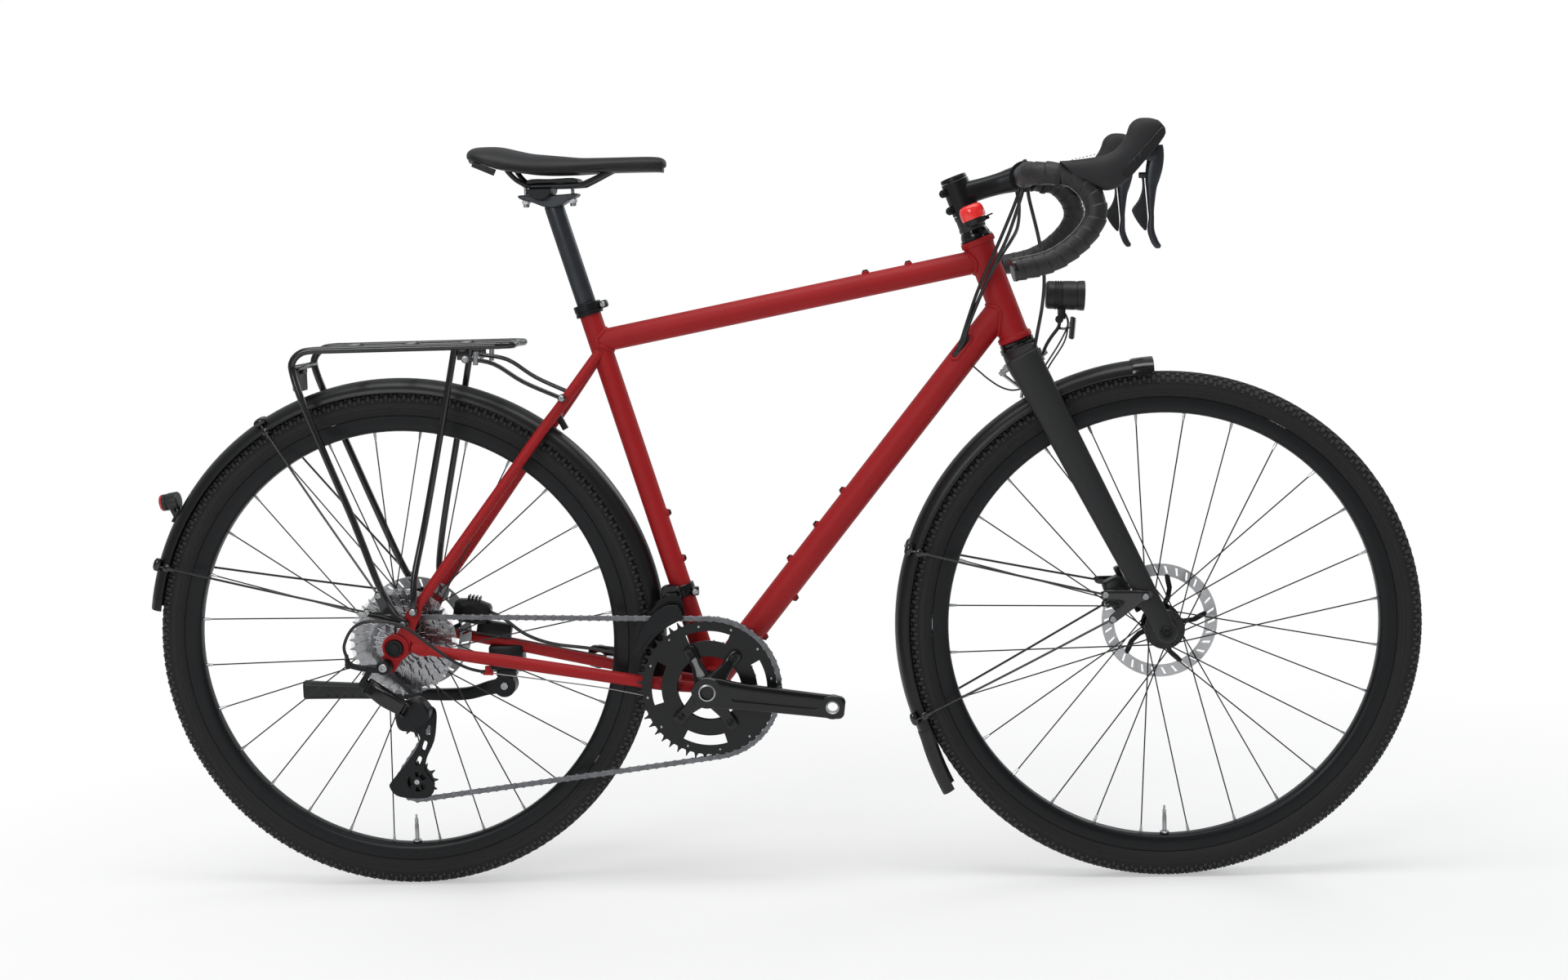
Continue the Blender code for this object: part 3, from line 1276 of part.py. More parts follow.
TAIL_FACET = REAR_GUARD[0] + (REAR_GUARD[1] - REAR_GUARD[0]) / REAR_GUARD[2] * 14.5


def make_tail_light():
    """Rear lamp on the small bracket bolted through the mudguard."""
    seat = round_axle(REAR_AXLE, 150.5, guard_top(REAR_GUARD, 150.5) + GAP)
    foot = block(seat, (0.020, 0.014, 0.0044),
                 Vector((math.cos(math.radians(TAIL_FACET)), 0, math.sin(math.radians(TAIL_FACET)))))
    arm = block(seat + Vector((-0.0065, 0, 0.009)), (0.003, 0.012, 0.018), (-0.25, 0, 0.97))
    lamp = rod(seat + Vector((-0.024, 0, 0.018)), seat + Vector((0.002, 0, 0.022)), 0.0125, 16)
    guard_room = block(round_axle(REAR_AXLE, 150.5, guard_top(REAR_GUARD, 150.5) + GAP - 0.02),
                       (0.08, 0.08, 0.04),
                       Vector((math.cos(math.radians(TAIL_FACET)), 0, math.sin(math.radians(TAIL_FACET)))))
    finish(cut(union(foot, arm, lamp), guard_room), "tail_light", LAMP_RED)


# Brakes

PAD_GAP = 0.0004


def rotor_slot(axle, y):
    """Cutter for the space that the turning disc needs in a caliper."""
    half = Vector((0, ROTOR_THICKNESS / 2 + PAD_GAP, 0))
    middle = axle + Vector((0, y, 0))
    return rod(middle - half, middle + half, ROTOR_RADIUS + 0.0022, 32)


def caliper_body(centre, along, out, lengths, fin_side):
    """Caliper block with cooling fins standing on one side."""
    body = block(centre, lengths, along, out)
    pieces = []
    for index in range(3):
        shift = (index - 1) * lengths[2] * 0.2
        pieces.append(block(centre + out * (lengths[0] * 0.5 + 0.003) * fin_side + along * shift,
                            (0.008, lengths[1] * 0.55, 0.0022), along, out))
    return union(body, *pieces)


def make_rear_caliper():
    """Flat-mount caliper on the left chain stay with the hose that leaves it forward."""
    y = REAR_HUB_WIDTH / 2 - ROTOR_INSET_REAR
    along = Vector((0.983, 0, -0.184))
    out = Vector((0.184, 0, 0.983))
    centre = Vector((0.083, y, 0.3790))
    body = caliper_body(centre, along, out, (0.034, 0.029, 0.052), 1)
    foot = block((0.112, y + 0.0075, 0.3515), (0.022, 0.014, 0.050), along, out)
    chain, _ = stay_routes()
    line = [Vector((x, -y, z)) for x, y, z in chain]
    sizes = [1.0] * len(line)
    body = cut(union(body, foot), pipe(line, CHAIN_STAY_RADIUS + GAP * 3, 5, sizes), rotor_slot(REAR_AXLE, y))
    hose = pipe(smooth_route([
        (0.108, y - 0.003, 0.3785), (0.128, y - 0.006, 0.3690), (0.160, 0.0420, 0.3470),
        (0.200, 0.0375, 0.3330),
        (0.260, 0.0340, 0.3250), (0.330, 0.0285, 0.3100),
    ], 3), 0.0025)
    finish(union(body, hose), "rear_caliper", BLACK_ALLOY)


def make_front_caliper(empty):
    """Flat-mount caliper behind the left fork blade."""
    y = FRONT_HUB_WIDTH / 2 - ROTOR_INSET_FRONT
    crown = on_steerer(CROWN_TOP - 0.020)
    run = (FRONT_AXLE - crown).normalized()
    back = Vector((run.z, 0, -run.x))
    blade = crown.lerp(FRONT_AXLE, 0.86)
    centre = blade + back * (0.0152 + GAP + 0.0175) + Vector((0, y, 0))
    body = caliper_body(centre, run, back, (0.035, 0.029, 0.052), 1)
    foot = block(blade + back * (0.0152 + GAP + 0.0042) + Vector((0, y + 0.0112, 0)),
                 (0.0080, 0.0195, 0.070), run, back)
    body = cut(union(body, foot), rotor_slot(FRONT_AXLE, y))
    finish(body, "front_caliper", BLACK_ALLOY, empty)


def make_front_thru_axle(empty):
    """Through axle across the fork tips, with its head on the right."""
    right = FORK_TIP_Y + FORK_TIP_THICKNESS / 2
    profile = [
        (0.0, -right - 0.004), (0.0085, -right - 0.004), (0.0085, -right - GAP), (AXLE_RADIUS, -right - GAP),
        (AXLE_RADIUS, right - 0.001), (0.0, right - 0.001),
    ]
    finish(turned(profile, FRONT_AXLE, (0, 1, 0), 16), "front_thru_axle", BLACK_ALLOY, empty)


# Cables

HOSE_RADIUS = 0.0024
UNDER_TAPE = BAR_CENTRE.z - TAPE_RADIUS - 0.0006 - FRONT_AXLE.z


def port_mouth(spread, depth):
    """Last points of a housing, inside the port and from the front axle; the three lie side by side."""
    return (
        (-0.2655 + spread, -0.0190 - spread * 0.4, 0.4030 - spread * 0.6),
        (-0.2710 + spread * 0.7, -0.0148, 0.3895 - spread * 0.5),
        (-0.2775 + spread * 0.5, -0.0075, 0.3755 + depth),
    )


# Points of the housings, from the front axle
CABLE_ROUTES = (
    ((-0.1880, -0.0640, UNDER_TAPE), (-0.1920, -0.0620, 0.5870), (-0.2140, -0.0440, 0.5350),
     (-0.2430, -0.0330, 0.4720), (-0.2595, -0.0265, 0.4270), *port_mouth(-0.0016, 0.0)),
    ((-0.1830, -0.0690, UNDER_TAPE), (-0.1870, -0.0670, 0.5870), (-0.2040, -0.0520, 0.5390),
     (-0.2270, -0.0365, 0.4920), (-0.2530, -0.0255, 0.4350), *port_mouth(0.0017, 0.0021)),
    ((-0.1870, 0.0640, UNDER_TAPE), (-0.1840, 0.0520, 0.5790), (-0.1880, 0.0220, 0.5510),
     (-0.1990, -0.0080, 0.5320),
     (-0.2120, -0.0240, 0.5140), (-0.2300, -0.0300, 0.4840), (-0.2495, -0.0320, 0.4420),
     *port_mouth(0.0003, 0.0043)),
)
FRONT_HOSE_ROUTE = (
    (-0.1770, -0.0740, UNDER_TAPE), (-0.1755, -0.0725, 0.5870), (-0.1630, -0.062, 0.5330),
    (-0.1565, -0.048, 0.4870),
    (-0.1585, -0.0350, 0.4480), (-0.1655, -0.0255, 0.4090), (-0.1700, -0.0220, 0.3860),
)
REAR_CABLE_ROUTE = (
    (-0.0630, -0.0930, 0.3400), (-0.0655, -0.0945, 0.3600), (-0.0500, -0.0985, 0.3850),
    (-0.0230, -0.1005, 0.3935),
    (0.0170, -0.0985, 0.3860), (0.0500, -0.0900, 0.3590), (0.0760, -0.0800, 0.3360),
    (0.1000, -0.0710, 0.3205),
    (0.1260, -0.0632, 0.3122), (0.1900, -0.0545, 0.3010), (0.2800, -0.0440, 0.2850),
    (0.3450, -0.0360, 0.2700),
)


def make_control_cables(empty):
    """Three housings from under the tape to the port in the down tube, bundled at the end."""
    tubes = [pipe([FRONT_AXLE + Vector(point) for point in route], HOSE_RADIUS, 2) for route in CABLE_ROUTES]
    finish(union(*tubes), "control_cables", RUBBER, empty)


def make_front_brake_hose(empty):
    line = [FRONT_AXLE + Vector(point) for point in FRONT_HOSE_ROUTE]
    finish(pipe(line, HOSE_RADIUS, 2), "front_brake_hose", RUBBER, empty)


def hose_bore():
    """Bore in the fork crown that takes the end of the front hose."""
    line = [FRONT_AXLE + Vector(point) for point in FRONT_HOSE_ROUTE]
    run = (line[-1] - line[-3]).normalized()
    return pipe([*line[-3:], line[-1] + run * 0.004], clear_radius(HOSE_RADIUS, 10) + 0.0002, 3)


def make_derailleur_cable():
    finish(pipe(REAR_CABLE_ROUTE, 0.0022, 2), "derailleur_cable", RUBBER)


# Kickstand

KICK_PIVOT = Vector((0.1250, 0.0620, 0.2705))
KICK_HALF = 0.0085


def make_kickstand_bracket():
    """Block under the left chain stay that carries the stand's pivot."""
    chain, _ = stay_routes()
    line = [Vector((x, -y, z)) for x, y, z in chain]
    body = block((0.129, 0.0630, 0.3115), (0.050, 0.030, 0.038), (0.18, 0, 0.98), (0.98, 0, -0.18))
    neck = block((0.1275, 0.0645, 0.289), (0.030, 0.022, 0.030))
    cheeks = [
        rod(KICK_PIVOT + Vector((0, side * (KICK_HALF + GAP), 0)),
            KICK_PIVOT + Vector((0, side * (KICK_HALF + GAP + 0.0045), 0)), 0.0165, 20)
        for side in (-1, 1)
    ]
    pin = rod(KICK_PIVOT - Vector((0, KICK_HALF + 0.004, 0)), KICK_PIVOT + Vector((0, KICK_HALF + 0.004, 0)),
              0.0040, 12)
    body = union(body, neck)
    room = rod(KICK_PIVOT - Vector((0, KICK_HALF + GAP, 0)), KICK_PIVOT + Vector((0, KICK_HALF + GAP, 0)),
               0.0185, 24)
    body = cut(body, room, pipe(line, CHAIN_STAY_RADIUS + GAP * 2, 5))
    body = union(body, *cheeks, pin)
    finish(body, "kickstand_bracket", PLASTIC)


def make_kickstand_leg(empty):
    """Folded stand: pivot eye, cranked arm and flared rubber foot."""
    half = Vector((0, KICK_HALF, 0))
    eye = rod(KICK_PIVOT - half, KICK_PIVOT + half, 0.0160, 20)
    across = Vector((0, 1, 0))
    stations = (
        ((0.1180, 0.0620, 0.2690), 0.0110, 0.0080), ((0.0980, 0.0630, 0.2655), 0.0100, 0.0082),
        ((0.0700, 0.0680, 0.2560), 0.0092, 0.0088),
        ((0.0000, 0.0760, 0.2560), 0.0088, 0.0092), ((-0.1550, 0.0930, 0.2580), 0.0090, 0.0085),
        ((-0.1650, 0.0940, 0.2585), 0.0125, 0.0110),
        ((-0.1800, 0.0957, 0.2590), 0.0150, 0.0125),
    )
    rings = []
    for centre, half_tall, half_wide in stations:
        rings.append(oval(centre, (0, 0, 1), across, half_tall, half_wide, 12, 3.0))
    leg = union(loft(rings), eye)
    leg = cut(leg, rod(KICK_PIVOT - half * 2, KICK_PIVOT + half * 2, clear_radius(0.0040, 12), 12))
    finish(leg, "kickstand_leg", BLACK_ALLOY, empty)


# Saddle and seatpost

POST_HEAD = SEAT_TUBE_LENGTH + SEATPOST_EXPOSED
SADDLE_TAIL_X = on_seat_tube(POST_HEAD).x - SADDLE_TAIL_BEHIND_POST
SADDLE_TOP = on_seat_tube(POST_HEAD).z + SADDLE_ABOVE_POST
RAIL_RADIUS = 0.0035
RAIL_Y = 0.022


def make_seatpost(empty):
    """Seatpost with its two-bolt head under the saddle rails."""
    radius = SEATPOST_DIAMETER / 2
    post = rod(on_seat_tube(SEAT_TUBE_LENGTH - SEATPOST_INSERTED), on_seat_tube(POST_HEAD), radius, 16)
    head = on_seat_tube(POST_HEAD) + Vector((-0.012, 0, 0.0045))
    cradle = block(head, (0.070, 0.034, 0.008))
    tower = block(head + Vector((0.0, 0, 0.0060)), (0.036, 0.050, 0.0060))
    bolts = [rod(head + Vector((shift, 0, -0.014)), head + Vector((shift, 0, 0.008)), 0.0038,
                 10) for shift in (-0.031, 0.031)]
    body = union(post, cradle, tower, *bolts)
    rails = [rod((0.1, side * RAIL_Y, RAIL_LOW), (0.4, side * RAIL_Y, RAIL_LOW), RAIL_RADIUS + GAP * 1.5,
                 12) for side in (-1, 1)]
    finish(cut(body, *rails), "seatpost", GREY_ALLOY, empty)


RAIL_LOW = on_seat_tube(POST_HEAD).z + 0.0160


def make_saddle_rails(empty):
    """The bent wire under the saddle: both rails joined at the nose."""
    x = SADDLE_TAIL_X
    z = RAIL_LOW
    right = [
        (x + 0.046, -0.0395, z + 0.0411), (x + 0.047, -0.0390, z + 0.026), (x + 0.064, -0.033, z + 0.0125),
        (x + 0.082, -RAIL_Y, z + 0.001), (x + 0.092, -RAIL_Y, z),
        (x + 0.150, -RAIL_Y, z), (x + 0.166, -RAIL_Y + 0.001, z + 0.004), (x + 0.205, -0.012, z + 0.0185),
        (x + 0.222, -0.004, z + 0.0225),
    ]
    points = [Vector(point) for point in right]
    points += [Vector((point.x, -point.y, point.z)) for point in reversed(points)]
    finish(pipe(points, RAIL_RADIUS, 2), "saddle_rails", DARK_STEEL, empty)


def saddle_section(x, half, top, thick, sag):
    """Half-round section across the saddle, open below only in shape, closed as a solid."""
    ring = []
    for index in range(9):
        lean = math.radians(-90 + 22.5 * index)
        ring.append(Vector((x, half * math.sin(lean), top - sag * (1 - math.cos(lean)))))
    for index in range(8, -1, -1):
        lean = math.radians(-90 + 22.5 * index)
        under = top - thick - (sag + 0.004 - thick) * (1 - math.cos(lean))
        ring.append(Vector((x, (half - 0.003) * math.sin(lean), under)))
    return ring


def make_saddle(empty):
    """Saddle shell with its cover: wide upturned tail, long level nose."""
    x = SADDLE_TAIL_X
    top = SADDLE_TOP
    wide = SADDLE_WIDTH / 2
    stations = (
        (0.000, wide * 0.60, top + 0.014, 0.010, 0.012), (0.012, wide * 0.88, top + 0.020, 0.015, 0.024),
        (0.045, wide, top + 0.020, 0.017, 0.028), (0.085, wide * 0.86, top + 0.010, 0.016, 0.024),
        (0.125, wide * 0.56, top + 0.001, 0.014, 0.018), (0.170, wide * 0.36, top - 0.005, 0.012, 0.012),
        (0.220, wide * 0.29, top - 0.0065, 0.010, 0.009), (0.254, wide * 0.26, top - 0.0075, 0.009, 0.007),
        (SADDLE_LENGTH, wide * 0.17, top - 0.0100, 0.006, 0.005),
    )
    rings = [saddle_section(x + reach, half, high, thick, sag) for reach, half, high, thick, sag in stations]
    finish(loft(rings), "saddle", RUBBER, empty)


# Drivetrain


def pitch_radius(teeth):
    return CHAIN_PITCH / (2 * math.sin(math.pi / teeth))


def coarse_loop(centre, teeth, tip=0.0030, root=0.0034):
    """Two points a tooth, for the sprockets behind the engaged one."""
    middle = pitch_radius(teeth)
    loop = []
    for index in range(teeth):
        for share, radius in ((0.0, middle + tip), (0.5, middle - root)):
            angle = math.tau * (index + share) / teeth
            loop.append((centre.x + radius * math.cos(angle), centre.z + radius * math.sin(angle)))
    return loop


FREEHUB_RADIUS = 0.0120
CARRIER_RADIUS = 0.0185


def make_cassette(empty):
    """Twelve sprockets on one spider, turning on the freehub."""
    half = SPROCKET_THICKNESS / 2
    profile = [(0.0, SMALL_SPROCKET_Y - half - 0.0020), (CARRIER_RADIUS, SMALL_SPROCKET_Y - half - 0.0020)]
    for index, teeth in enumerate(SPROCKETS):
        y = SMALL_SPROCKET_Y + index * SPROCKET_PITCH
        radius = pitch_radius(teeth) + 0.0020
        low = pitch_radius(teeth) - 0.0110
        if index < 4:
            profile += [(radius, y - half), (radius, y + half)]
        elif index == ENGAGED:
            profile += [(low, y - half), (low, y + half)]
        else:
            profile += [(low, y - half), (radius, y - half), (radius, y + half), (low, y + half)]
    profile += [(CARRIER_RADIUS, y - SPROCKET_PITCH), (0.0, y - SPROCKET_PITCH)]
    body = turned(profile, REAR_AXLE, (0, 1, 0), 12)
    y = SMALL_SPROCKET_Y + ENGAGED * SPROCKET_PITCH
    body = union(body, plate(coarse_loop(REAR_AXLE, SPROCKETS[ENGAGED]), SPROCKET_THICKNESS, y))
    bore = rod(REAR_AXLE + Vector((0, -0.1, 0)), REAR_AXLE + Vector((0, 0.02, 0)),
               clear_radius(FREEHUB_RADIUS, 12), 12)
    finish(cut(body, bore), "cassette", STEEL, empty, smooth=False)


ARM_INNER_Y = CRANK_OUTER_Y - 0.0125
RING_THICKNESS = 0.0020
RING_FACE_Y = -OUTER_RING_Y + RING_THICKNESS / 2
SPIDER_BOLT_RADIUS = 0.0550
SPIDER_ANGLES = (50.0, 115.0, 223.5, 301.0)


def crank_arm(side, direction, boss_inner):
    """A tapered arm from the spindle to the pedal eye."""
    across = Vector((0, 1, 0))
    run = Vector((math.cos(direction), 0, math.sin(direction)))
    normal = Vector((-run.z, 0, run.x))
    eye = BB + run * CRANK_LENGTH
    inner = ARM_INNER_Y
    outer = CRANK_OUTER_Y
    middle = (inner + outer) / 2
    rings = []
    for share, half_tall, offset in ((0.06, 0.0175, 0.0), (0.30, 0.0150, 0.0), (0.70, 0.0135, 0.0),
                                     (1.0, 0.0130, 0.0)):
        centre = BB + run * (CRANK_LENGTH * share) + across * side * (middle + offset)
        rings.append(oval(centre, normal, across, half_tall, (outer - inner) / 2, 8, 3.0))
    arm = loft(rings)
    half = across * ((outer - inner) / 2)
    tip = rod(eye + across * side * middle - half, eye + across * side * middle + half, 0.0165, 14)
    boss = rod(BB + across * side * boss_inner, BB + across * side * outer, 0.0215, 16)
    arm = union(arm, tip, boss)
    hole = rod(eye + across * side * (inner - 0.02), eye + across * side * (outer + 0.02), 0.0071, 12)
    return arm, hole


def make_right_crank(empty):
    """Right arm with its spider and the hollow spindle."""
    inner = ARM_INNER_Y - 0.004
    arm, hole = crank_arm(-1, CRANK_TILT, inner)
    spider = []
    for degrees in SPIDER_ANGLES:
        angle = math.radians(degrees)
        run = Vector((math.cos(angle), 0, math.sin(angle)))
        reach = SPIDER_BOLT_RADIUS
        middle = BB + run * (reach * 0.5 + 0.004)
        spider.append(block(Vector((middle.x, -(RING_FACE_Y + GAP + 0.0035), middle.z)),
                            (reach, 0.007, 0.0135),
                            run.cross(Vector((0, 1, 0))), run))
        tab = BB + run * reach
        spider.append(rod((tab.x, -(RING_FACE_Y + GAP), tab.z), (tab.x, -(RING_FACE_Y + 0.0085), tab.z),
                          0.0080, 8))
    hub = rod(BB + Vector((0, -(RING_FACE_Y + GAP), 0)), BB + Vector((0, -inner - 0.002, 0)), 0.0205, 16)
    spindle = rod(BB + Vector((0, -CRANK_OUTER_Y + 0.001, 0)), BB + Vector((0, CRANK_OUTER_Y - 0.0020, 0)),
                  SPINDLE_RADIUS, 16)
    body = union(arm, hub, *spider, spindle)
    bore = rod(BB + Vector((0, -0.1, 0)), BB + Vector((0, 0.1, 0)), SPINDLE_RADIUS - 0.0022, 12)
    finish(cut(body, hole, bore), "right_crank", BLACK_ALLOY, empty)


def make_left_crank(empty):
    arm, hole = crank_arm(1, CRANK_TILT + math.pi, BB_SHELL_WIDTH / 2 + 0.0105 + GAP)
    bore = rod(BB + Vector((0, 0.02, 0)), BB + Vector((0, 0.12, 0)), clear_radius(SPINDLE_RADIUS, 16), 16)
    finish(cut(arm, hole, bore), "left_crank", BLACK_ALLOY, empty)


def make_chainrings(empty):
    """Outer and inner chainring held together by their four bolts."""
    outer_hole = circle((BB.x, BB.z), 0.0445, 16)
    windows = []
    for start in (-18, 66, 150, 240):
        windows.append(arc((BB.x, BB.z), pitch_radius(OUTER_TEETH) - 0.0165, start, start + 48, 4)
                       + arc((BB.x, BB.z), 0.0660, start + 46, start + 2, 2))
    outer = plate(coarse_loop(BB, OUTER_TEETH, 0.0034, 0.0036), RING_THICKNESS, OUTER_RING_Y,
                  [outer_hole, *windows])
    inner = plate(coarse_loop(BB, INNER_TEETH, 0.0034, 0.0036), RING_THICKNESS, OUTER_RING_Y + RING_SPACING,
                  [circle((BB.x, BB.z), 0.0445, 16)])
    bolts = []
    for degrees in SPIDER_ANGLES:
        angle = math.radians(degrees)
        bolts.append(rod((BB.x + SPIDER_BOLT_RADIUS * math.cos(angle), OUTER_RING_Y - 0.0008,
                          BB.z + SPIDER_BOLT_RADIUS * math.sin(angle)),
                         (BB.x + SPIDER_BOLT_RADIUS * math.cos(angle), OUTER_RING_Y + RING_SPACING + 0.0008,
                          BB.z + SPIDER_BOLT_RADIUS * math.sin(angle)), 0.0048, 6))
    finish(union(outer, bolts[0], inner, *bolts[1:]), "chainrings", BLACK_ALLOY, empty, smooth=False)


ENGAGED_Y = SMALL_SPROCKET_Y + ENGAGED * SPROCKET_PITCH
GUIDE = Vector((GUIDE_PULLEY[0], ENGAGED_Y, GUIDE_PULLEY[1]))
TENSION = Vector((TENSION_PULLEY[0], ENGAGED_Y, TENSION_PULLEY[1]))


def tangent(first, second):
    """Ends of the straight run between two wheels; each is (centre, radius, sense)."""
    (start, r1, s1), (end, r2, s2) = first, second
    across = Vector((end.x - start.x, end.z - start.z))
    step = s2 * r2 - s1 * r1
    length = math.sqrt(across.length_squared - step * step)
    heading = math.atan2(across.y, across.x) - math.atan2(step, length)
    normal = Vector((-math.sin(heading), math.cos(heading)))
    leave = Vector((start.x, start.z)) - normal * s1 * r1
    arrive = Vector((end.x, end.z)) - normal * s2 * r2
    return leave, arrive


def chain_wheels():
    """The four wheels that the chain passes, in order, with the sense it turns round them."""
    return [
        (BB, pitch_radius(OUTER_TEETH), -1), (TENSION, pitch_radius(TENSION_TEETH), -1),
        (GUIDE, pitch_radius(GUIDE_TEETH), 1), (REAR_AXLE, pitch_radius(SPROCKETS[ENGAGED]), -1),
    ]


def chain_line():
    """Closed line of the chain's pins in side view: arcs round the wheels, points on the runs."""
    wheels = chain_wheels()
    spans = [tangent(wheel, wheels[(index + 1) % 4]) for index, wheel in enumerate(wheels)]
    line = []
    for index, (centre, radius, sense) in enumerate(wheels):
        arrive = spans[index - 1][1]
        leave, following = spans[index]
        first = math.atan2(arrive.y - centre.z, arrive.x - centre.x)
        last = math.atan2(leave.y - centre.z, leave.x - centre.x)
        sweep = (last - first) % math.tau if sense > 0 else -((first - last) % math.tau)
        count = max(4, round(abs(sweep) / math.radians(24)))
        for step in range(count + 1):
            angle = first + sweep * step / count
            line.append(Vector((centre.x + radius * math.cos(angle), centre.z + radius * math.sin(angle))))
        if (following - leave).length > 0.2:
            line += [leave.lerp(following, share) for share in (0.18, 0.50, 0.82)]
    return line


def ribbon(line, half_height, thickness, y):
    """A flat closed strip that follows the line in side view."""
    loops = ([], [])
    count = len(line)
    for index, point in enumerate(line):
        first = (point - line[index - 1]).normalized()
        second = (line[(index + 1) % count] - point).normalized()
        middle = (first + second).normalized()
        reach = half_height / max(0.5, middle.dot(first))
        for loop, side in zip(loops, (1, -1)):
            loop.append((point.x - middle.y * reach * side, point.y + middle.x * reach * side))
    return plate(loops[0], thickness, y, [loops[1]])


def chain_side(x):
    """Where the chain runs between the sprocket's plane and the ring's."""
    share = min(1.0, max(0.0, (x - 0.09) / 0.24))
    return ENGAGED_Y + (OUTER_RING_Y - ENGAGED_Y) * share


def make_chain():
    """Chain as its two rows of plates, tied by pins on the free runs."""
    line = chain_line()
    middle = CHAIN_HALF_WIDTH - CHAIN_PLATE / 2
    rows = [ribbon(line, CHAIN_PLATE_HEIGHT / 2, CHAIN_PLATE, side * middle) for side in (-1, 1)]
    wheels = chain_wheels()
    pins = []
    for first, second in ((3, 0), (0, 1)):
        leave, arrive = tangent(wheels[first], wheels[second])
        for share in (0.24, 0.50, 0.76):
            spot = leave.lerp(arrive, share)
            pins.append(rod((spot.x, -middle, spot.y), (spot.x, middle, spot.y), 0.0026, 8))
    chain = union(rows[0], pins[0], rows[1], *pins[1:])
    for vertex in chain.data.vertices:
        vertex.co.y += chain_side(vertex.co.x)
    finish(chain, "chain", DARK_STEEL, smooth=False)


def pulley(centre, teeth):
    """Toothed pulley wheel with a bore that turns freely on the cage's bolt."""
    hole = circle((centre.x, centre.z), clear_radius(PULLEY_BOLT_RADIUS, 8), 8)
    disc = plate(coarse_loop(centre, teeth, 0.0026, 0.0034), 0.0020, centre.y, [hole])
    boss = hollow(centre - Vector((0, CAGE_INNER - 0.0004, 0)), centre + Vector((0, CAGE_INNER - 0.0004, 0)),
                  0.0060, clear_radius(PULLEY_BOLT_RADIUS, 8), 8)
    return union(disc, boss)


PULLEY_BOLT_RADIUS = 0.0025
CAGE_INNER = 0.0032
CAGE_PLATE = 0.0015

# Rear derailleur

HANGER_BOLT = Vector((-0.0132, 0.0, 0.3270))
LINK_START = Vector((-0.0350, -0.0880, 0.3000))
LINK_END = Vector((0.0120, -0.0880, 0.2680))
LINK_RUN = (LINK_END - LINK_START).normalized()
LINK_AXIS = Vector((-LINK_RUN.z, 0.0, LINK_RUN.x))
LUG_HALF = 0.0072
LUG_RADIUS = 0.0062
LINK_PLATE = 0.0030
LINK_PIN_RADIUS = 0.0020
KNUCKLE_AXIS = Vector((0.0199, 0.0, 0.2590))
KNUCKLE_RADIUS = 0.0120
KNUCKLE_INNER_Y = ENGAGED_Y - CAGE_INNER - CAGE_PLATE - GAP
CAGE_STUB_RADIUS = 0.0040
CABLE_ENTRY = Vector((-0.0630, -0.0930, 0.3397))


def lug_hole(point):
    reach = LINK_AXIS * (LUG_HALF + 0.01)
    return rod(point - reach, point + reach, clear_radius(LINK_PIN_RADIUS, 8), 8)


def make_b_knuckle():
    """Upper body on the hanger bolt, with the rear clevis lug and the cable stop."""
    hanger_face = -(DROPOUT_Y + DROPOUT_THICKNESS / 2 - 0.0005) - GAP
    bolt = rod(HANGER_BOLT + Vector((0, hanger_face, 0)), HANGER_BOLT + Vector((0, -0.0965, 0)), 0.0105, 14)
    lug = rod(LINK_START - LINK_AXIS * LUG_HALF, LINK_START + LINK_AXIS * LUG_HALF, LUG_RADIUS, 10)
    spine = block(LINK_START - LINK_RUN * 0.0110 + LINK_AXIS * 0.0080, (0.0130, 0.0075, 0.0300), LINK_AXIS,
                  (0, 1, 0))
    web = block(LINK_START - LINK_RUN * 0.0055, (0.0105, 0.0090, 0.0120), LINK_AXIS, (0, 1, 0))
    bridge = block((-0.0230, -0.0885, 0.3250), (0.030, 0.0130, 0.0110), (0.05, 0, 1))
    arm = rod((-0.0300, -0.0900, 0.3255), (-0.0600, -0.0925, 0.3300), 0.0048, 8)
    stop = rod(CABLE_ENTRY - Vector((-0.0016, 0, 0.0140)), CABLE_ENTRY, 0.0045, 8)
    body = union(bolt, bridge, spine, web, lug, arm, stop)
    finish(cut(body, lug_hole(LINK_START)), "derailleur_b_knuckle", BLACK_ALLOY)


def make_link(empty):
    """Swinging part of the parallelogram: two plates and the outer cover, with both pins."""
    span = LINK_END - LINK_START
    middle = (LINK_START + LINK_END) / 2
    pieces = []
    for side in (-1, 1):
        lift = LINK_AXIS * side * (LUG_HALF + GAP + LINK_PLATE / 2)
        half = LINK_AXIS * (LINK_PLATE / 2)
        pieces.append(block(middle + lift, (0.0110, span.length, LINK_PLATE), LINK_AXIS, (0, 1, 0)))
        for end in (LINK_START, LINK_END):
            pieces.append(rod(end + lift - half, end + lift + half, 0.0058, 10))
    tall = 2 * (LUG_HALF + GAP + LINK_PLATE) - 0.0008
    cover = loft([
        oval(middle - LINK_RUN * (span.length / 2 - 0.006) + Vector((0, -0.0070, 0)), LINK_AXIS, (0, 1, 0),
             tall / 2, 0.0028, 8, 4.0),
        oval(middle + Vector((0, -0.0080, 0)), LINK_AXIS, (0, 1, 0), tall / 2 + 0.0014, 0.0040, 8, 4.0),
        oval(middle + LINK_RUN * (span.length / 2 - 0.006) + Vector((0, -0.0070, 0)), LINK_AXIS, (0, 1, 0),
             tall / 2, 0.0028, 8, 4.0),
    ])
    reach = LINK_AXIS * (LUG_HALF + GAP + LINK_PLATE / 2)
    pins = [rod(end - reach, end + reach, LINK_PIN_RADIUS, 8) for end in (LINK_START, LINK_END)]
    finish(union(cover, *pieces, *pins), "derailleur_link", BLACK_ALLOY, empty)


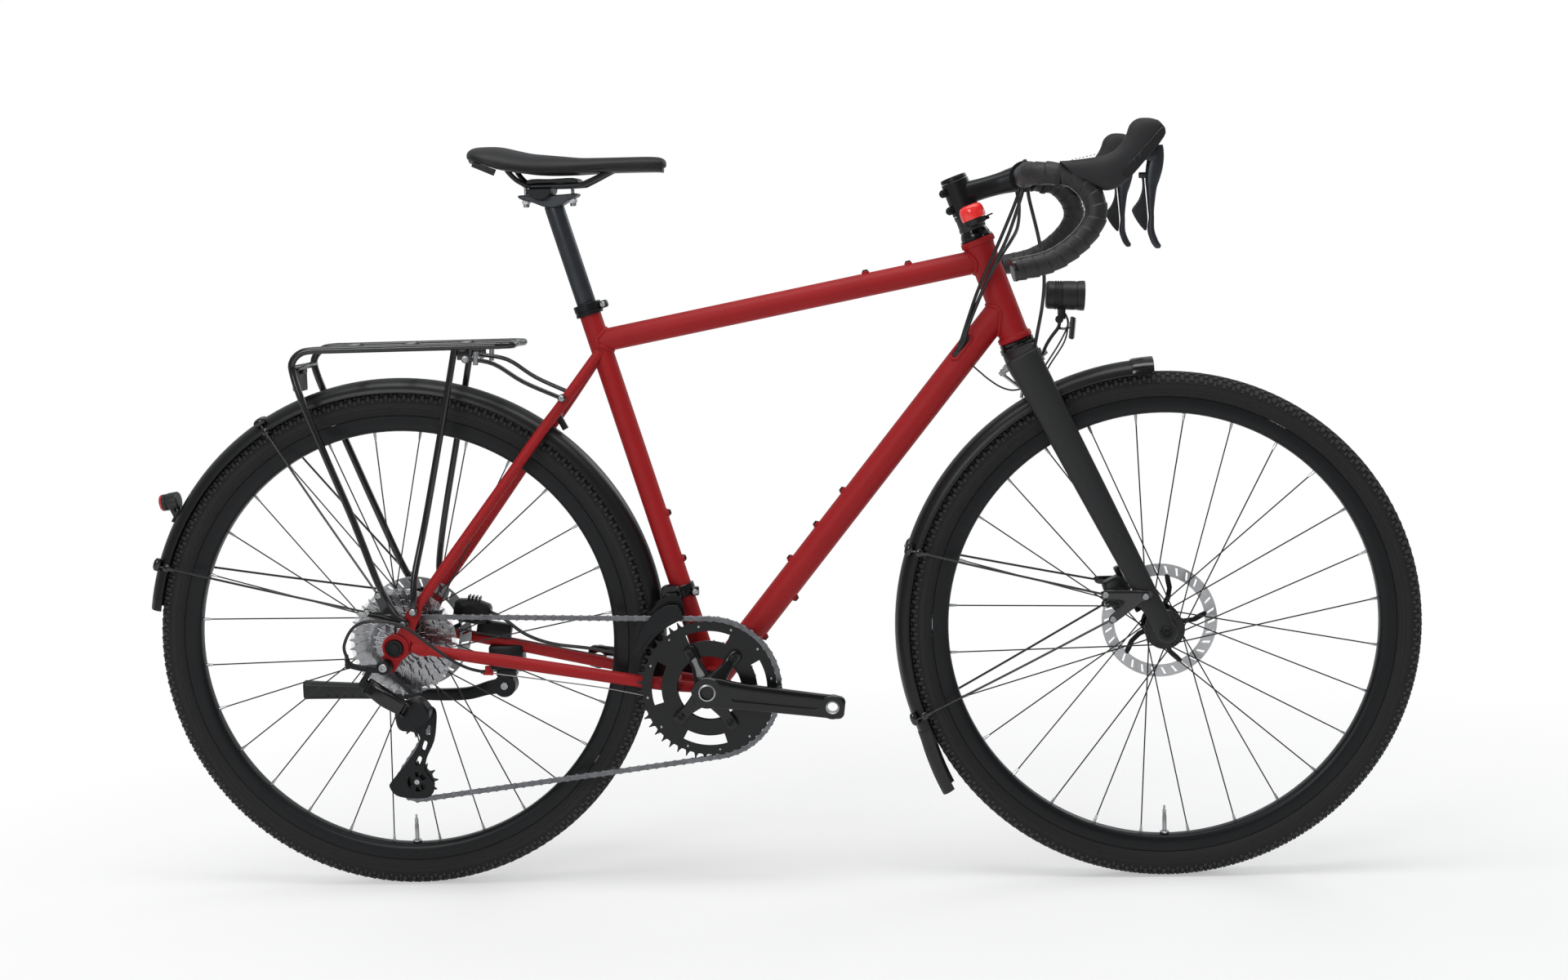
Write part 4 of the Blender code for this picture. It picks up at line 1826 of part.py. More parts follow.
def make_p_knuckle(empty):
    """Lower body with the cage pivot; pockets clear the ends of the link's plates."""
    body = rod(KNUCKLE_AXIS + Vector((0, KNUCKLE_INNER_Y, 0)), KNUCKLE_AXIS + Vector((0, -0.0940, 0)),
               KNUCKLE_RADIUS, 18)
    reach = LINK_AXIS * (LUG_HALF + 0.0005)
    lug = rod(LINK_END - reach, LINK_END + reach, LUG_RADIUS, 10)
    body = union(body, lug)
    pockets = []
    for side in (-1, 1):
        near = LINK_END + LINK_AXIS * side * LUG_HALF
        far = LINK_END + LINK_AXIS * side * (LUG_HALF + LINK_PLATE + 0.0010)
        pockets.append(rod(near, far, 0.0068, 10))
    cover_room = block(LINK_END - LINK_RUN * 0.006 + Vector((0, -0.0135, 0)), (0.0160, 0.020, 0.030),
                       LINK_AXIS, (0, 1, 0))
    body = cut(body, *pockets, cover_room, lug_hole(LINK_END))
    bore = rod(KNUCKLE_AXIS + Vector((0, KNUCKLE_INNER_Y + 0.01, 0)),
               KNUCKLE_AXIS + Vector((0, KNUCKLE_INNER_Y - 0.012, 0)),
               clear_radius(CAGE_STUB_RADIUS, 16), 16)
    finish(cut(body, bore), "derailleur_p_knuckle", BLACK_ALLOY, empty)


def cage_outline(start_radius):
    """Cage plate in side view: round ends on both pulleys and a waist bent forward."""
    upper = arc(GUIDE_PULLEY, start_radius, 200, -10, 6)
    lower = arc(TENSION_PULLEY, 0.0115, -10, -190, 6)
    front = [(0.0300, 0.2280), (0.0262, 0.2050), (0.0262, 0.1800)]
    back = [(0.0040, 0.1780), (0.0050, 0.2050), (0.0065, 0.2280)]
    return upper + front + lower + back


def make_cage(empty):
    """Cage: two plates tied by the pulley bolts, with its stub in the lower knuckle."""
    outer_y = ENGAGED_Y - CAGE_INNER - CAGE_PLATE / 2
    inner_y = ENGAGED_Y + CAGE_INNER + CAGE_PLATE / 2
    eye = rod(KNUCKLE_AXIS + Vector((0, outer_y - CAGE_PLATE / 2, 0)),
              KNUCKLE_AXIS + Vector((0, outer_y + CAGE_PLATE / 2, 0)), 0.0125, 12)
    outer = union(plate(cage_outline(0.0125), CAGE_PLATE, outer_y), eye)
    inner = plate(cage_outline(0.0115), CAGE_PLATE, inner_y)
    bolts = [
        rod((spot.x, outer_y - CAGE_PLATE / 2 + 0.0002, spot.z),
            (spot.x, inner_y + CAGE_PLATE / 2 + 0.0012, spot.z), PULLEY_BOLT_RADIUS, 8)
        for spot in (GUIDE, TENSION)
    ]
    stub = rod(KNUCKLE_AXIS + Vector((0, outer_y, 0)),
               KNUCKLE_AXIS + Vector((0, KNUCKLE_INNER_Y - 0.0110, 0)), CAGE_STUB_RADIUS, 16)
    finish(union(outer, bolts[0], inner, bolts[1], stub), "derailleur_cage", BLACK_ALLOY, empty)


# Front derailleur

FD_HEIGHT = 0.135
FD_BODY = Vector((0.3800, -0.0240, 0.4120))
FD_BODY_WIDTH = 0.0180
FD_ARM = Vector((0.3800, -0.0370, 0.4085))
FD_ARM_LENGTH = 0.0120
FD_INNER_Y = -0.0430
FD_OUTER_Y = -0.0575
FD_PLATE = 0.0016
FD_TRAVEL = RING_SPACING


def make_fd_body():
    """Clamp band on the seat tube and the body with the pocket that guides the cage's arm."""
    band_ring = hollow(on_seat_tube(FD_HEIGHT - 0.0085), on_seat_tube(FD_HEIGHT + 0.0085), 0.0182,
                       clear_radius(SEAT_TUBE_DIAMETER / 2, 16) + 0.00002, 16)
    body = block(FD_BODY, (0.0290, FD_BODY_WIDTH, 0.0250))
    bolt = rod(on_seat_tube(FD_HEIGHT) + Vector((0.0195, -0.0190, 0.0)),
               on_seat_tube(FD_HEIGHT) + Vector((0.0195, 0.003, 0.0)), 0.0030, 8)
    ear = block(on_seat_tube(FD_HEIGHT) + Vector((0.0190, -0.0080, 0.0)), (0.0100, 0.0120, 0.0120))
    tube_room = rod(on_seat_tube(FD_HEIGHT - 0.05), on_seat_tube(FD_HEIGHT + 0.05),
                    clear_radius(SEAT_TUBE_DIAMETER / 2, 16), 16)
    depth = 2 * FD_ARM_LENGTH
    deepest = FD_ARM.y + FD_ARM_LENGTH / 2 + FD_TRAVEL + GAP
    pocket = block((FD_ARM.x, deepest - depth / 2, FD_ARM.z), (0.0120 + 2 * GAP, depth, 0.0120 + 2 * GAP))
    finish(cut(union(band_ring, body, ear, bolt), tube_room, pocket), "front_derailleur_body", BLACK_ALLOY)


def polar(degrees, radius):
    return (BB.x + radius * math.cos(math.radians(degrees)), BB.z + radius * math.sin(math.radians(degrees)))


def make_fd_cage(empty):
    """Cage over the chain: two curved plates tied at the tail and over the top."""
    edge = [polar(154 - 46 * index / 8, 0.1030) for index in range(9)]
    outer_loop = edge + [polar(108, 0.124), polar(116, 0.130), polar(128, 0.128), polar(143, 0.120),
                         polar(154, 0.113)]
    inner_loop = edge + [polar(106, 0.128), polar(108, 0.140), polar(119, 0.140), polar(124, 0.134),
                         polar(134, 0.136),
                         polar(146, 0.126), polar(156, 0.116)]
    outer = plate(outer_loop, FD_PLATE, FD_OUTER_Y)
    inner = plate(inner_loop, FD_PLATE, FD_INNER_Y)
    ties = []
    for degrees, radius in ((152.0, 0.1090), (110.5, 0.1215)):
        x, z = polar(degrees, radius)
        ties.append(rod((x, FD_OUTER_Y, z), (x, FD_INNER_Y, z), 0.0024, 8))
    arm = block(FD_ARM, (0.0120, FD_ARM_LENGTH, 0.0120))
    finish(union(outer, ties[0], inner, ties[1], arm), "front_derailleur_cage", BLACK_ALLOY, empty)


# The whole bicycle


def make_frame():
    make_head_tube()
    make_top_tube()
    make_down_tube()
    make_seat_tube()
    make_rear_triangle()
    make_seat_clamp()
    make_bottom_bracket()
    make_rear_thru_axle()
    make_rear_mudguard()
    make_rear_mudguard_stays()
    make_rear_rack()
    make_tail_light()
    make_rear_caliper()
    make_kickstand_bracket()
    make_fd_body()
    make_derailleur_cable()
    make_b_knuckle()
    make_chain()


def make_seat():
    slide = joint_empty("seatpost_slide", on_seat_tube(SEAT_TUBE_LENGTH))
    make_seatpost(slide)
    make_saddle_rails(slide)
    make_saddle(slide)


def make_front_end():
    steering = joint_empty("steering", STEER_FOOT)
    make_fork(steering)
    make_stem(steering)
    make_handlebar(steering)
    make_bell(steering)
    make_headlight_bracket(steering)
    make_front_mudguard(steering)
    make_front_mudguard_stays(steering)
    make_front_caliper(steering)
    make_front_brake_hose(steering)
    make_front_thru_axle(steering)
    make_control_cables(steering)
    for side, word in ((-1, "right"), (1, "left")):
        make_hood(side, word + "_hood", steering)
        lever = joint_empty(word + "_brake_lever_pivot", cockpit_point(LEVER_PIVOT, side), steering)
        make_brake_lever(side, word + "_brake_lever", lever)
        paddle = joint_empty(word + "_shift_lever_pivot", cockpit_point(PADDLE_PIVOT, side), lever)
        make_shift_lever(side, word + "_shift_lever", paddle)
    striker = joint_empty("bell_striker_pivot", bell_point(STRIKER_AHEAD, 0.0), steering)
    make_bell_striker(striker)
    lamp = joint_empty("headlight_tilt", LAMP_PIVOT, steering)
    make_headlight(lamp)
    return steering


def make_wheels(steering):
    front = joint_empty("front_wheel", FRONT_AXLE, steering)
    rear = joint_empty("rear_wheel", REAR_AXLE)
    for word, axle, empty in (("front", FRONT_AXLE, front), ("rear", REAR_AXLE, rear)):
        make_tyre(word + "_tyre", axle, empty)
        make_rim(word + "_rim", axle, empty)
    make_hub("front_hub", FRONT_AXLE, FRONT_HUB_WIDTH, (-0.033, 0.0205), 0.024, 0.011, ROTOR_INSET_FRONT,
             front)
    make_hub("rear_hub", REAR_AXLE, REAR_HUB_WIDTH, (-0.0205, 0.0330), 0.0255, 0.0135, ROTOR_INSET_REAR,
             rear, FREEHUB_RADIUS)
    make_rotor("front_rotor", FRONT_AXLE, FRONT_HUB_WIDTH, ROTOR_INSET_FRONT, front)
    make_rotor("rear_rotor", REAR_AXLE, REAR_HUB_WIDTH, ROTOR_INSET_REAR, rear)


def make_drivetrain():
    make_cassette(joint_empty("cassette_turn", REAR_AXLE))
    crank = joint_empty("crank_turn", BB)
    make_right_crank(crank)
    make_left_crank(crank)
    make_chainrings(crank)
    make_fd_cage(joint_empty("front_derailleur_slide", FD_ARM))
    link = joint_empty("derailleur_link_pivot", LINK_START)
    make_link(link)
    knuckle = joint_empty("derailleur_knuckle_pivot", LINK_END, link)
    make_p_knuckle(knuckle)
    cage = joint_empty("derailleur_cage_pivot", KNUCKLE_AXIS + Vector((0, ENGAGED_Y, 0)), knuckle)
    make_cage(cage)
    for name, centre, teeth in (("guide_pulley", GUIDE, GUIDE_TEETH),
                                ("tension_pulley", TENSION, TENSION_TEETH)):
        turn = joint_empty(name + "_turn", centre, cage)
        finish(pulley(centre, teeth), name, PLASTIC, turn, smooth=False)
    stand = joint_empty("kickstand_pivot", KICK_PIVOT)
    make_kickstand_leg(stand)


make_frame()
make_seat()
make_wheels(make_front_end())
make_drivetrain()
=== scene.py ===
# %% [markdown]
# # A gravel bike, dressed for its portrait
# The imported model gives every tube, wheel and joint its place: x runs forward from the rear
# axle, y to the rider's left and z up from the ground, all in metres. This script could push
# those solids about until they look right, but the joints hang on them, so they stay as they
# are. New pieces with the real roundness, teeth and finishes are put exactly where they stand.

# %% Load the frame
import math

import bpy
from mathutils import Matrix, Vector


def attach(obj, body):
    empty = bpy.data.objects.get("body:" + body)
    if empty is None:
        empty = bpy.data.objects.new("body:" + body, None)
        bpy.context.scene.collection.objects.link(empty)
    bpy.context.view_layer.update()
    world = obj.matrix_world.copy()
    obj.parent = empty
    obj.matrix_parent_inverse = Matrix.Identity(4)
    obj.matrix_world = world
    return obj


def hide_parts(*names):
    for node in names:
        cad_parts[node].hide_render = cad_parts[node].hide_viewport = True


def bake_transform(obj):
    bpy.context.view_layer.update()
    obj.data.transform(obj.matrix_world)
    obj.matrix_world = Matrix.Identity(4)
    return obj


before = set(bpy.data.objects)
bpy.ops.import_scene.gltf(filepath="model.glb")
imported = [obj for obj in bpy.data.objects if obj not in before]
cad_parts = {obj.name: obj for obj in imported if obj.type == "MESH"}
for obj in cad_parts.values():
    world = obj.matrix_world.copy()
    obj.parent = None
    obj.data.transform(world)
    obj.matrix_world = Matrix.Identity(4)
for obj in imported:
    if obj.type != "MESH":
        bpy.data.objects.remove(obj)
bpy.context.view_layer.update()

# %% [markdown]
# ## The camera
# The photograph was taken from the chain side, level with the bar, with a normal lens about
# three metres away. Its place was worked out from points that are easy to find in the picture,
# such as both axles and the ends of the tubes, so that the drawing and the photograph agree.

# %% Set up the camera
yaw, pitch, roll = (math.radians(angle) for angle in (-3.98, -6.4, -1.72))
ahead = Vector((math.sin(yaw) * math.cos(pitch), math.cos(yaw) * math.cos(pitch), math.sin(pitch)))
level = Vector((math.cos(yaw), -math.sin(yaw), 0))
upright = level.cross(ahead)
right_hand = math.cos(roll) * level + math.sin(roll) * upright
top_edge = -math.sin(roll) * level + math.cos(roll) * upright
bpy.ops.object.camera_add()
camera = bpy.context.object
camera_axes = Matrix((right_hand, top_edge, -ahead)).transposed().to_4x4()
camera.matrix_world = Matrix.Translation((0.751, -3.05, 0.893)) @ camera_axes
camera.data.lens = 50.98
camera.data.sensor_width = 36
bpy.context.scene.camera = camera
print("camera stands at", tuple(round(c, 3) for c in camera.location))

# %% [markdown]
# ## A pale studio
# A product picture like this has a white sweep and large soft lamps above and beside the
# camera. The sky gives soft light, most of it from above and behind. One wide lamp overhead
# draws the bright line along the top of each tube, and weaker ones light the near and far side.
# What the camera sees of the sky is plain white, without adding light to the bike.

# %% Floor, sky and lamps


def deselect():
    """An operator acts on all that is selected, so each step starts from nothing."""
    if bpy.context.object and bpy.context.object.mode != "OBJECT":
        bpy.ops.object.mode_set(mode="OBJECT")
    bpy.ops.object.select_all(action="DESELECT")


def add_node(look, kind, settings=None, links=None):
    """Adds a node: settings name its properties or inputs, links name inputs and their sources."""
    made = look.node_tree.nodes.new(kind)
    for name, value in (settings or {}).items():
        if isinstance(name, str) and hasattr(made, name):
            setattr(made, name, value)
        else:
            made.inputs[name].default_value = value
    for name, (source, output) in (links or {}).items():
        look.node_tree.links.new(source.outputs[output], made.inputs[name])
    return made


def from_hex(code):
    """The linear colour of an sRGB hex code."""
    parts = [int(code[place:place + 2], 16) / 255 for place in (1, 3, 5)]
    return (*[part / 12.92 if part <= 0.04045 else ((part + 0.055) / 1.055) ** 2.4 for part in parts],
        1.0)


sky = bpy.data.worlds.new("studio sky")
bpy.context.scene.world = sky
sky.use_nodes = True
sky.node_tree.nodes.clear()
path = add_node(sky, "ShaderNodeLightPath")
seen = add_node(sky, "ShaderNodeMath", {"operation": "MAXIMUM"},
    {0: (path, "Is Camera Ray"), 1: (path, "Is Transmission Ray")})
facing = add_node(sky, "ShaderNodeTexCoord")
height = add_node(sky, "ShaderNodeVectorMath", {"operation": "DOT_PRODUCT", 1: (0.0, 0.6, 0.8)},
    {0: (facing, "Generated")})
level = add_node(sky, "ShaderNodeMapRange", {"From Min": -0.55, "From Max": 0.75, "To Min": 0.16,
    "To Max": 0.62}, {"Value": (height, "Value")})
soft = add_node(sky, "ShaderNodeBackground", {"Color": from_hex("#F4F6F8")}, {"Strength": (level, 0)})
white = add_node(sky, "ShaderNodeBackground", {"Color": (1, 1, 1, 1), "Strength": 1.0})
shown = add_node(sky, "ShaderNodeMixShader", None,
    {0: (seen, 0), 1: (soft, "Background"), 2: (white, "Background")})
add_node(sky, "ShaderNodeOutputWorld", None, {"Surface": (shown, 0)})

deselect()
bpy.ops.mesh.primitive_plane_add(size=24, location=(0.5, 2.0, -0.0005))
floor = bpy.context.object
floor.name = "studio_floor"
bpy.ops.object.transform_apply()
floor_look = bpy.data.materials.new("white seamless paper")
floor_look.use_nodes = True
floor_look.node_tree.nodes.clear()
floor_path = add_node(floor_look, "ShaderNodeLightPath")
paper = add_node(floor_look, "ShaderNodeBsdfDiffuse", {"Color": from_hex("#F4F4F4")})
glow = add_node(floor_look, "ShaderNodeEmission", {"Color": (1, 1, 1, 1), "Strength": 1.0})
ground = add_node(floor_look, "ShaderNodeTexCoord")
middle = add_node(floor_look, "ShaderNodeMapping", {"Location": (-0.52, 0, 0), "Scale": (0.62, 0.8, 1.0)},
    {"Vector": (ground, "Object")})
distance = add_node(floor_look, "ShaderNodeVectorMath", {"operation": "LENGTH"}, {0: (middle, 0)})
fade = add_node(floor_look, "ShaderNodeMapRange", {"From Min": 0.45, "From Max": 1.1, "To Min": 0.4,
    "To Max": 1.0}, {"Value": (distance, "Value")})
lift = add_node(floor_look, "ShaderNodeMath", {"operation": "MULTIPLY"},
    {0: (floor_path, "Is Camera Ray"), 1: (fade, 0)})
sheet = add_node(floor_look, "ShaderNodeMixShader", None,
    {0: (lift, 0), 1: (paper, "BSDF"), 2: (glow, "Emission")})
add_node(floor_look, "ShaderNodeOutputMaterial", None, {"Surface": (sheet, 0)})
floor.data.materials.append(floor_look)


def soft_lamp(name, place, target, size, power):
    """A rectangular lamp at a place, facing its target."""
    deselect()
    bpy.ops.object.light_add(type="AREA", location=place)
    lamp = bpy.context.object
    lamp.name = name
    lamp.data.shape = "RECTANGLE"
    lamp.data.size, lamp.data.size_y = size
    lamp.data.energy = power
    lamp.rotation_euler = (Vector(target) - Vector(place)).to_track_quat("-Z", "Y").to_euler()


soft_lamp("overhead lamp", (0.5, -0.5, 3.2), (0.5, 0.0, 0.5), (3.4, 1.1), 50)
soft_lamp("front lamp", (-0.9, -3.4, 1.9), (0.5, 0.0, 0.5), (1.5, 1.2), 34)
soft_lamp("far lamp", (2.4, 2.2, 2.2), (0.6, 0.0, 0.5), (1.6, 1.6), 20)
bpy.context.scene.view_settings.view_transform = "Standard"

# %% [markdown]
# ## Finishes
# Each finish is named for the real one. Every one starts from two close tones that drift into
# each other over a few millimetres, as paint, rubber and metal all do when looked at closely,
# and a fine relief that breaks up the highlight. The relief's size comes from the real grain,
# such as 0.7 mm for the pebbled skin of the frame's coat. A pattern on Object coordinates needs no
# unwrapping and never slides, so it suits cast, painted and moulded pieces.

# %% The common ground of all finishes


def finish(name, tones, rough, metal, grain, depth, drift=30.0, smooth_share=0.0):
    """A finish of two tones; rough is its range, grain and drift are sizes in millimetres."""
    look = bpy.data.materials.new(name)
    look.use_nodes = True
    shader = look.node_tree.nodes["Principled BSDF"]
    shader.inputs["Metallic"].default_value = metal
    shader.inputs["Coat Weight"].default_value = smooth_share
    place = add_node(look, "ShaderNodeTexCoord")
    cloud = add_node(look, "ShaderNodeTexNoise", {"Scale": 1000.0 / drift, "Detail": 4.0},
        {"Vector": (place, "Object")})
    tone = add_node(look, "ShaderNodeMix", {"data_type": "RGBA", 6: from_hex(tones[0]),
        7: from_hex(tones[1])}, {0: (cloud, 0)})
    fine = add_node(look, "ShaderNodeTexNoise", {"Scale": 1000.0 / grain, "Detail": 2.0},
        {"Vector": (place, "Object")})
    gloss = add_node(look, "ShaderNodeMapRange", {"To Min": rough[0], "To Max": rough[1]},
        {"Value": (fine, 0)})
    relief = add_node(look, "ShaderNodeBump", {"Strength": depth, "Distance": grain / 2000.0},
        {"Height": (fine, 0)})
    tree = look.node_tree
    tree.links.new(tone.outputs[2], shader.inputs["Base Color"])
    tree.links.new(gloss.outputs[0], shader.inputs["Roughness"])
    tree.links.new(relief.outputs[0], shader.inputs["Normal"])
    return look


def shader_of(look):
    """The surface node of a finish."""
    return look.node_tree.nodes["Principled BSDF"]


# %% Paint, metal, rubber and plastic
# The frame's powder coat: satin, with a pebbled skin that softens every highlight
red_coat = finish("satin red powder coat", ("#920F14", "#A11318"), (0.46, 0.58), 0.0, 0.7, 0.35, 60)
# The fork's coat: matt, so it only greys on top
black_coat = finish("matt black powder coat", ("#0D0E0F", "#141517"), (0.46, 0.6), 0.0, 0.6, 0.3, 40)
# The rack and the mudguards' stays: glossy enamel, with a sharp bright line along each tube
enamel = finish("glossy black enamel", ("#0B0B0C", "#111113"), (0.14, 0.22), 0.0, 0.8, 0.05, 40, 0.4)
# Black anodised aluminium, bead blasted: keeps a metal's shine under a dark dyed skin
black_alloy = finish("black anodised aluminium", ("#131415", "#1B1C1E"), (0.3, 0.42), 0.55, 0.4, 0.12, 25)
# Cranks, hubs and headset are polished before the dye, so they mirror the lamps
gloss_alloy = finish("polished black anodised aluminium", ("#070708", "#0B0C0D"), (0.16, 0.26), 0.1, 0.8,
    0.05, 25, 0.3)
# Lever blades and the seatpost: a greyer, slightly brushed anodised skin
grey_alloy = finish("dark grey anodised aluminium", ("#34363A", "#44474B"), (0.3, 0.44), 0.75, 0.4, 0.12,
    20)
# Stainless and nickel plated steel: clean grey, fine turning marks blur it
bright_steel = finish("brushed stainless steel", ("#9A9B9D", "#B9BABC"), (0.22, 0.38), 1.0, 0.9, 0.1, 6)
# The chain: oiled steel, darker than the bolts
dark_steel = finish("oiled grey steel", ("#57575A", "#87888B"), (0.24, 0.4), 1.0, 0.7, 0.15, 8)
# Moulded rubber of the hoods, the mud flap and the port's lining: no clear highlight at all
black_rubber = finish("moulded black rubber", ("#18181A", "#212123"), (0.62, 0.8), 0.0, 0.5, 0.35, 20)
# The tread's blocks are a lighter grey than the casing
tread_rubber = finish("grey tread rubber", ("#2B2B2D", "#3A3A3C"), (0.7, 0.88), 0.0, 1.0, 0.3, 12)
tyre_rubber = finish("tyre rubber", ("#0D0D0E", "#141415"), (0.66, 0.86), 0.0, 1.0, 0.3, 22)
# Moulded plastics: nylon of the shift paddles and pulleys, glossy caps, mudguard blades
black_plastic = finish("moulded black nylon", ("#0E0F10", "#151618"), (0.34, 0.46), 0.0, 0.8, 0.12, 50)
gloss_plastic = finish("glossy black plastic", ("#0B0B0C", "#101011"), (0.12, 0.2), 0.0, 1.2, 0.04, 30)
guard_skin = finish("satin black polycarbonate", ("#0C0C0D", "#121314"), (0.3, 0.4), 0.0, 0.9, 0.06, 60)
bell_red = finish("glossy red lacquer", ("#F02A28", "#FA3834"), (0.1, 0.18), 0.0, 1.5, 0.03, 12, 0.5)
lens_red = finish("red reflector acrylic", ("#A50F18", "#C41B25"), (0.08, 0.16), 0.0, 1.2, 0.1, 4, 0.8)
# Bar tape: leather-like polyurethane with a fine pebble and a soft sheen on its edges
bar_tape_skin = finish("wound bar tape", ("#141415", "#1F1F21"), (0.36, 0.62), 0.0, 1.6, 0.6, 14)
# The tape's raw edge shows its pale backing where the turns meet inside the bend
tape_edge = finish("pale backing of the bar tape", ("#6E6C68", "#8A8884"), (0.55, 0.75), 0.0, 0.8, 0.2,
    10)
cable_skin = finish("smooth black cable housing", ("#121213", "#18181A"), (0.26, 0.38), 0.0, 1.0, 0.05,
    20)
matt_cast = finish("matt painted die casting", ("#151517", "#1C1C1F"), (0.4, 0.52), 0.2, 0.5, 0.2, 15)
# Clear acrylic of the lamp's front: it lets light through, with faint moulded ripples
clear_lens = finish("clear acrylic lens", ("#F2F5F6", "#FFFFFF"), (0.02, 0.06), 0.0, 2.0, 0.1, 12)
shader_of(clear_lens).inputs["Transmission Weight"].default_value = 1.0
shader_of(clear_lens).inputs["IOR"].default_value = 1.49
# Clear reflector: cube corners behind acrylic send light back, so it looks like pale foil
clear_reflector = finish("clear prism reflector", ("#B9BEC2", "#E4E8EA"), (0.1, 0.22), 0.35, 1.6, 0.5, 2,
    0.8)
# Saddle cover: coated microfibre, satin where it is stretched, with a leather-like grain
saddle_skin = finish("coated saddle cover", ("#111113", "#19191B"), (0.44, 0.58), 0.0, 1.1, 0.35, 30)
dark_wire = finish("black painted steel wire", ("#1A1B1D", "#242528"), (0.28, 0.42), 0.4, 0.6, 0.12, 15)
# Cassette: nickel plated and stamped, so it is bright on the flats and darker in the gaps
sprocket_steel = finish("nickel plated sprocket steel", ("#7C7C7F", "#B2B2B4"), (0.14, 0.28), 1.0, 0.8,
    0.12, 5)
ring_alloy = finish("hard anodised chainring", ("#0C0D0E", "#131416"), (0.26, 0.38), 0.3, 0.4, 0.1, 18)
# The spoke protector is a thin film of clear polycarbonate: mostly see-through, faintly grey
clear_film = finish("thin clear polycarbonate", ("#E9EDEF", "#F6F8F9"), (0.06, 0.14), 0.0, 2.0, 0.1, 20)
shader_of(clear_film).inputs["Alpha"].default_value = 0.22
# Pigmented skins mirror less than bare ones, because the pigment's grains break the surface
for pebbled, share in ((red_coat, 0.28), (guard_skin, 0.32), (gloss_alloy, 0.3), (saddle_skin, 0.34)):
    shader_of(pebbled).inputs["Specular IOR Level"].default_value = share
print("finishes", len(bpy.data.materials))

# %% [markdown]
# ## Few ways of making many shapes
# A bicycle is nearly all turned, bent, cut or drawn parts, so five ways of working are enough:
# a profile spun round an axis, a tube along a route, a plate with holes, a skin drawn over
# rings of points, and one shape copied to many places. Each starts from a Blender primitive.

# %% Working in edit mode
X, Y, Z = Vector((1, 0, 0)), Vector((0, 1, 0)), Vector((0, 0, 1))


def edit(item):
    """Goes into edit mode with the whole mesh selected."""
    deselect()
    bpy.context.view_layer.objects.active = item
    item.select_set(True)
    bpy.ops.object.mode_set(mode="EDIT")
    bpy.ops.mesh.select_all(action="SELECT")


def close_skin(item, fill=False):
    """Merges doubles, closes open ends where asked, and turns every face outwards."""
    edit(item)
    bpy.ops.mesh.remove_doubles(threshold=0.000008)
    bpy.ops.mesh.delete_loose()
    bpy.ops.mesh.select_all(action="SELECT")
    if fill:
        bpy.ops.mesh.fill_holes(sides=0)
        bpy.ops.mesh.select_all(action="SELECT")
    bpy.ops.mesh.normals_make_consistent(inside=False)
    bpy.ops.object.mode_set(mode="OBJECT")
    return item


def axes_at(origin, axis, across=None):
    """A place whose Z runs along the axis and whose X lies near the across direction."""
    up = Vector(axis).normalized()
    side = Vector(across) if across else Y.copy() if abs(up.y) < 0.9 else X.copy()
    side = (side - up * side.dot(up)).normalized()
    return Matrix.Translation(Vector(origin)) @ Matrix((side, up.cross(side), up)).transposed().to_4x4()


def set_in_place(item, matrix):
    """Moves the mesh itself, so that the object stays at the origin."""
    item.data.transform(matrix)
    return item


# %% Turned, bent, cut and drawn shapes


def turned(profile, centre, axis, steps=48):
    """Spins a closed profile of (radius, height) points round an axis, as on a lathe."""
    deselect()
    bpy.ops.mesh.primitive_circle_add(vertices=len(profile))
    item = bpy.context.object
    for vertex, (radius, height) in zip(item.data.vertices, profile):
        vertex.co = (radius, 0, height)
    edit(item)
    bpy.ops.mesh.spin(steps=steps, angle=math.tau, center=(0, 0, 0), axis=(0, 0, 1))
    return set_in_place(close_skin(item), axes_at(centre, axis))


def rod(start, end, radius, steps=20, edge=0.0004, end_radius=None):
    """A turned bar with broken edges."""
    start, end = Vector(start), Vector(end)
    length = (end - start).length
    far = radius if end_radius is None else end_radius
    edge = min(edge, radius / 3, length / 3)
    profile = [(0, 0), (radius - edge, 0), (radius, edge), (far, length - edge), (far - edge, length),
        (0, length)]
    return turned(profile, start, end - start, steps)


def smooth_rows(rows, steps=8):
    """Rows of numbers on a smooth curve through the given rows."""
    ends = [[2 * a - b for a, b in zip(rows[0], rows[1])], *rows,
        [2 * a - b for a, b in zip(rows[-1], rows[-2])]]
    line = []
    for index in range(1, len(ends) - 2):
        for step in range(steps):
            t = step / steps
            line.append([0.5 * (2 * b + (c - a) * t + (2 * a - 5 * b + 4 * c - d) * t * t
                + (3 * b - a - 3 * c + d) * t ** 3) for a, b, c, d in zip(*ends[index - 1:index + 3])])
    return line + [list(rows[-1])]


def smooth_route(points, steps=8):
    """Points of a smooth curve through the given ones."""
    return [Vector(row) for row in smooth_rows(points, steps)]


def bent(points, radius, sizes=None, roundness=5, closed=False):
    """A round tube or wire along points, with closed ends; sizes are shares of the radius."""
    deselect()
    bpy.ops.curve.primitive_nurbs_path_add()
    item = bpy.context.object
    item.data.splines.clear()
    item.data.bevel_depth = radius
    item.data.bevel_resolution = roundness
    item.data.use_fill_caps = True
    spline = item.data.splines.new("POLY")
    spline.points.add(len(points) - 1)
    for index, point in enumerate(points):
        spline.points[index].co = (*point, 1)
        spline.points[index].radius = sizes[index] if sizes else 1.0
    spline.use_cyclic_u = closed
    bpy.ops.object.convert(target="MESH")
    return close_skin(bpy.context.object)


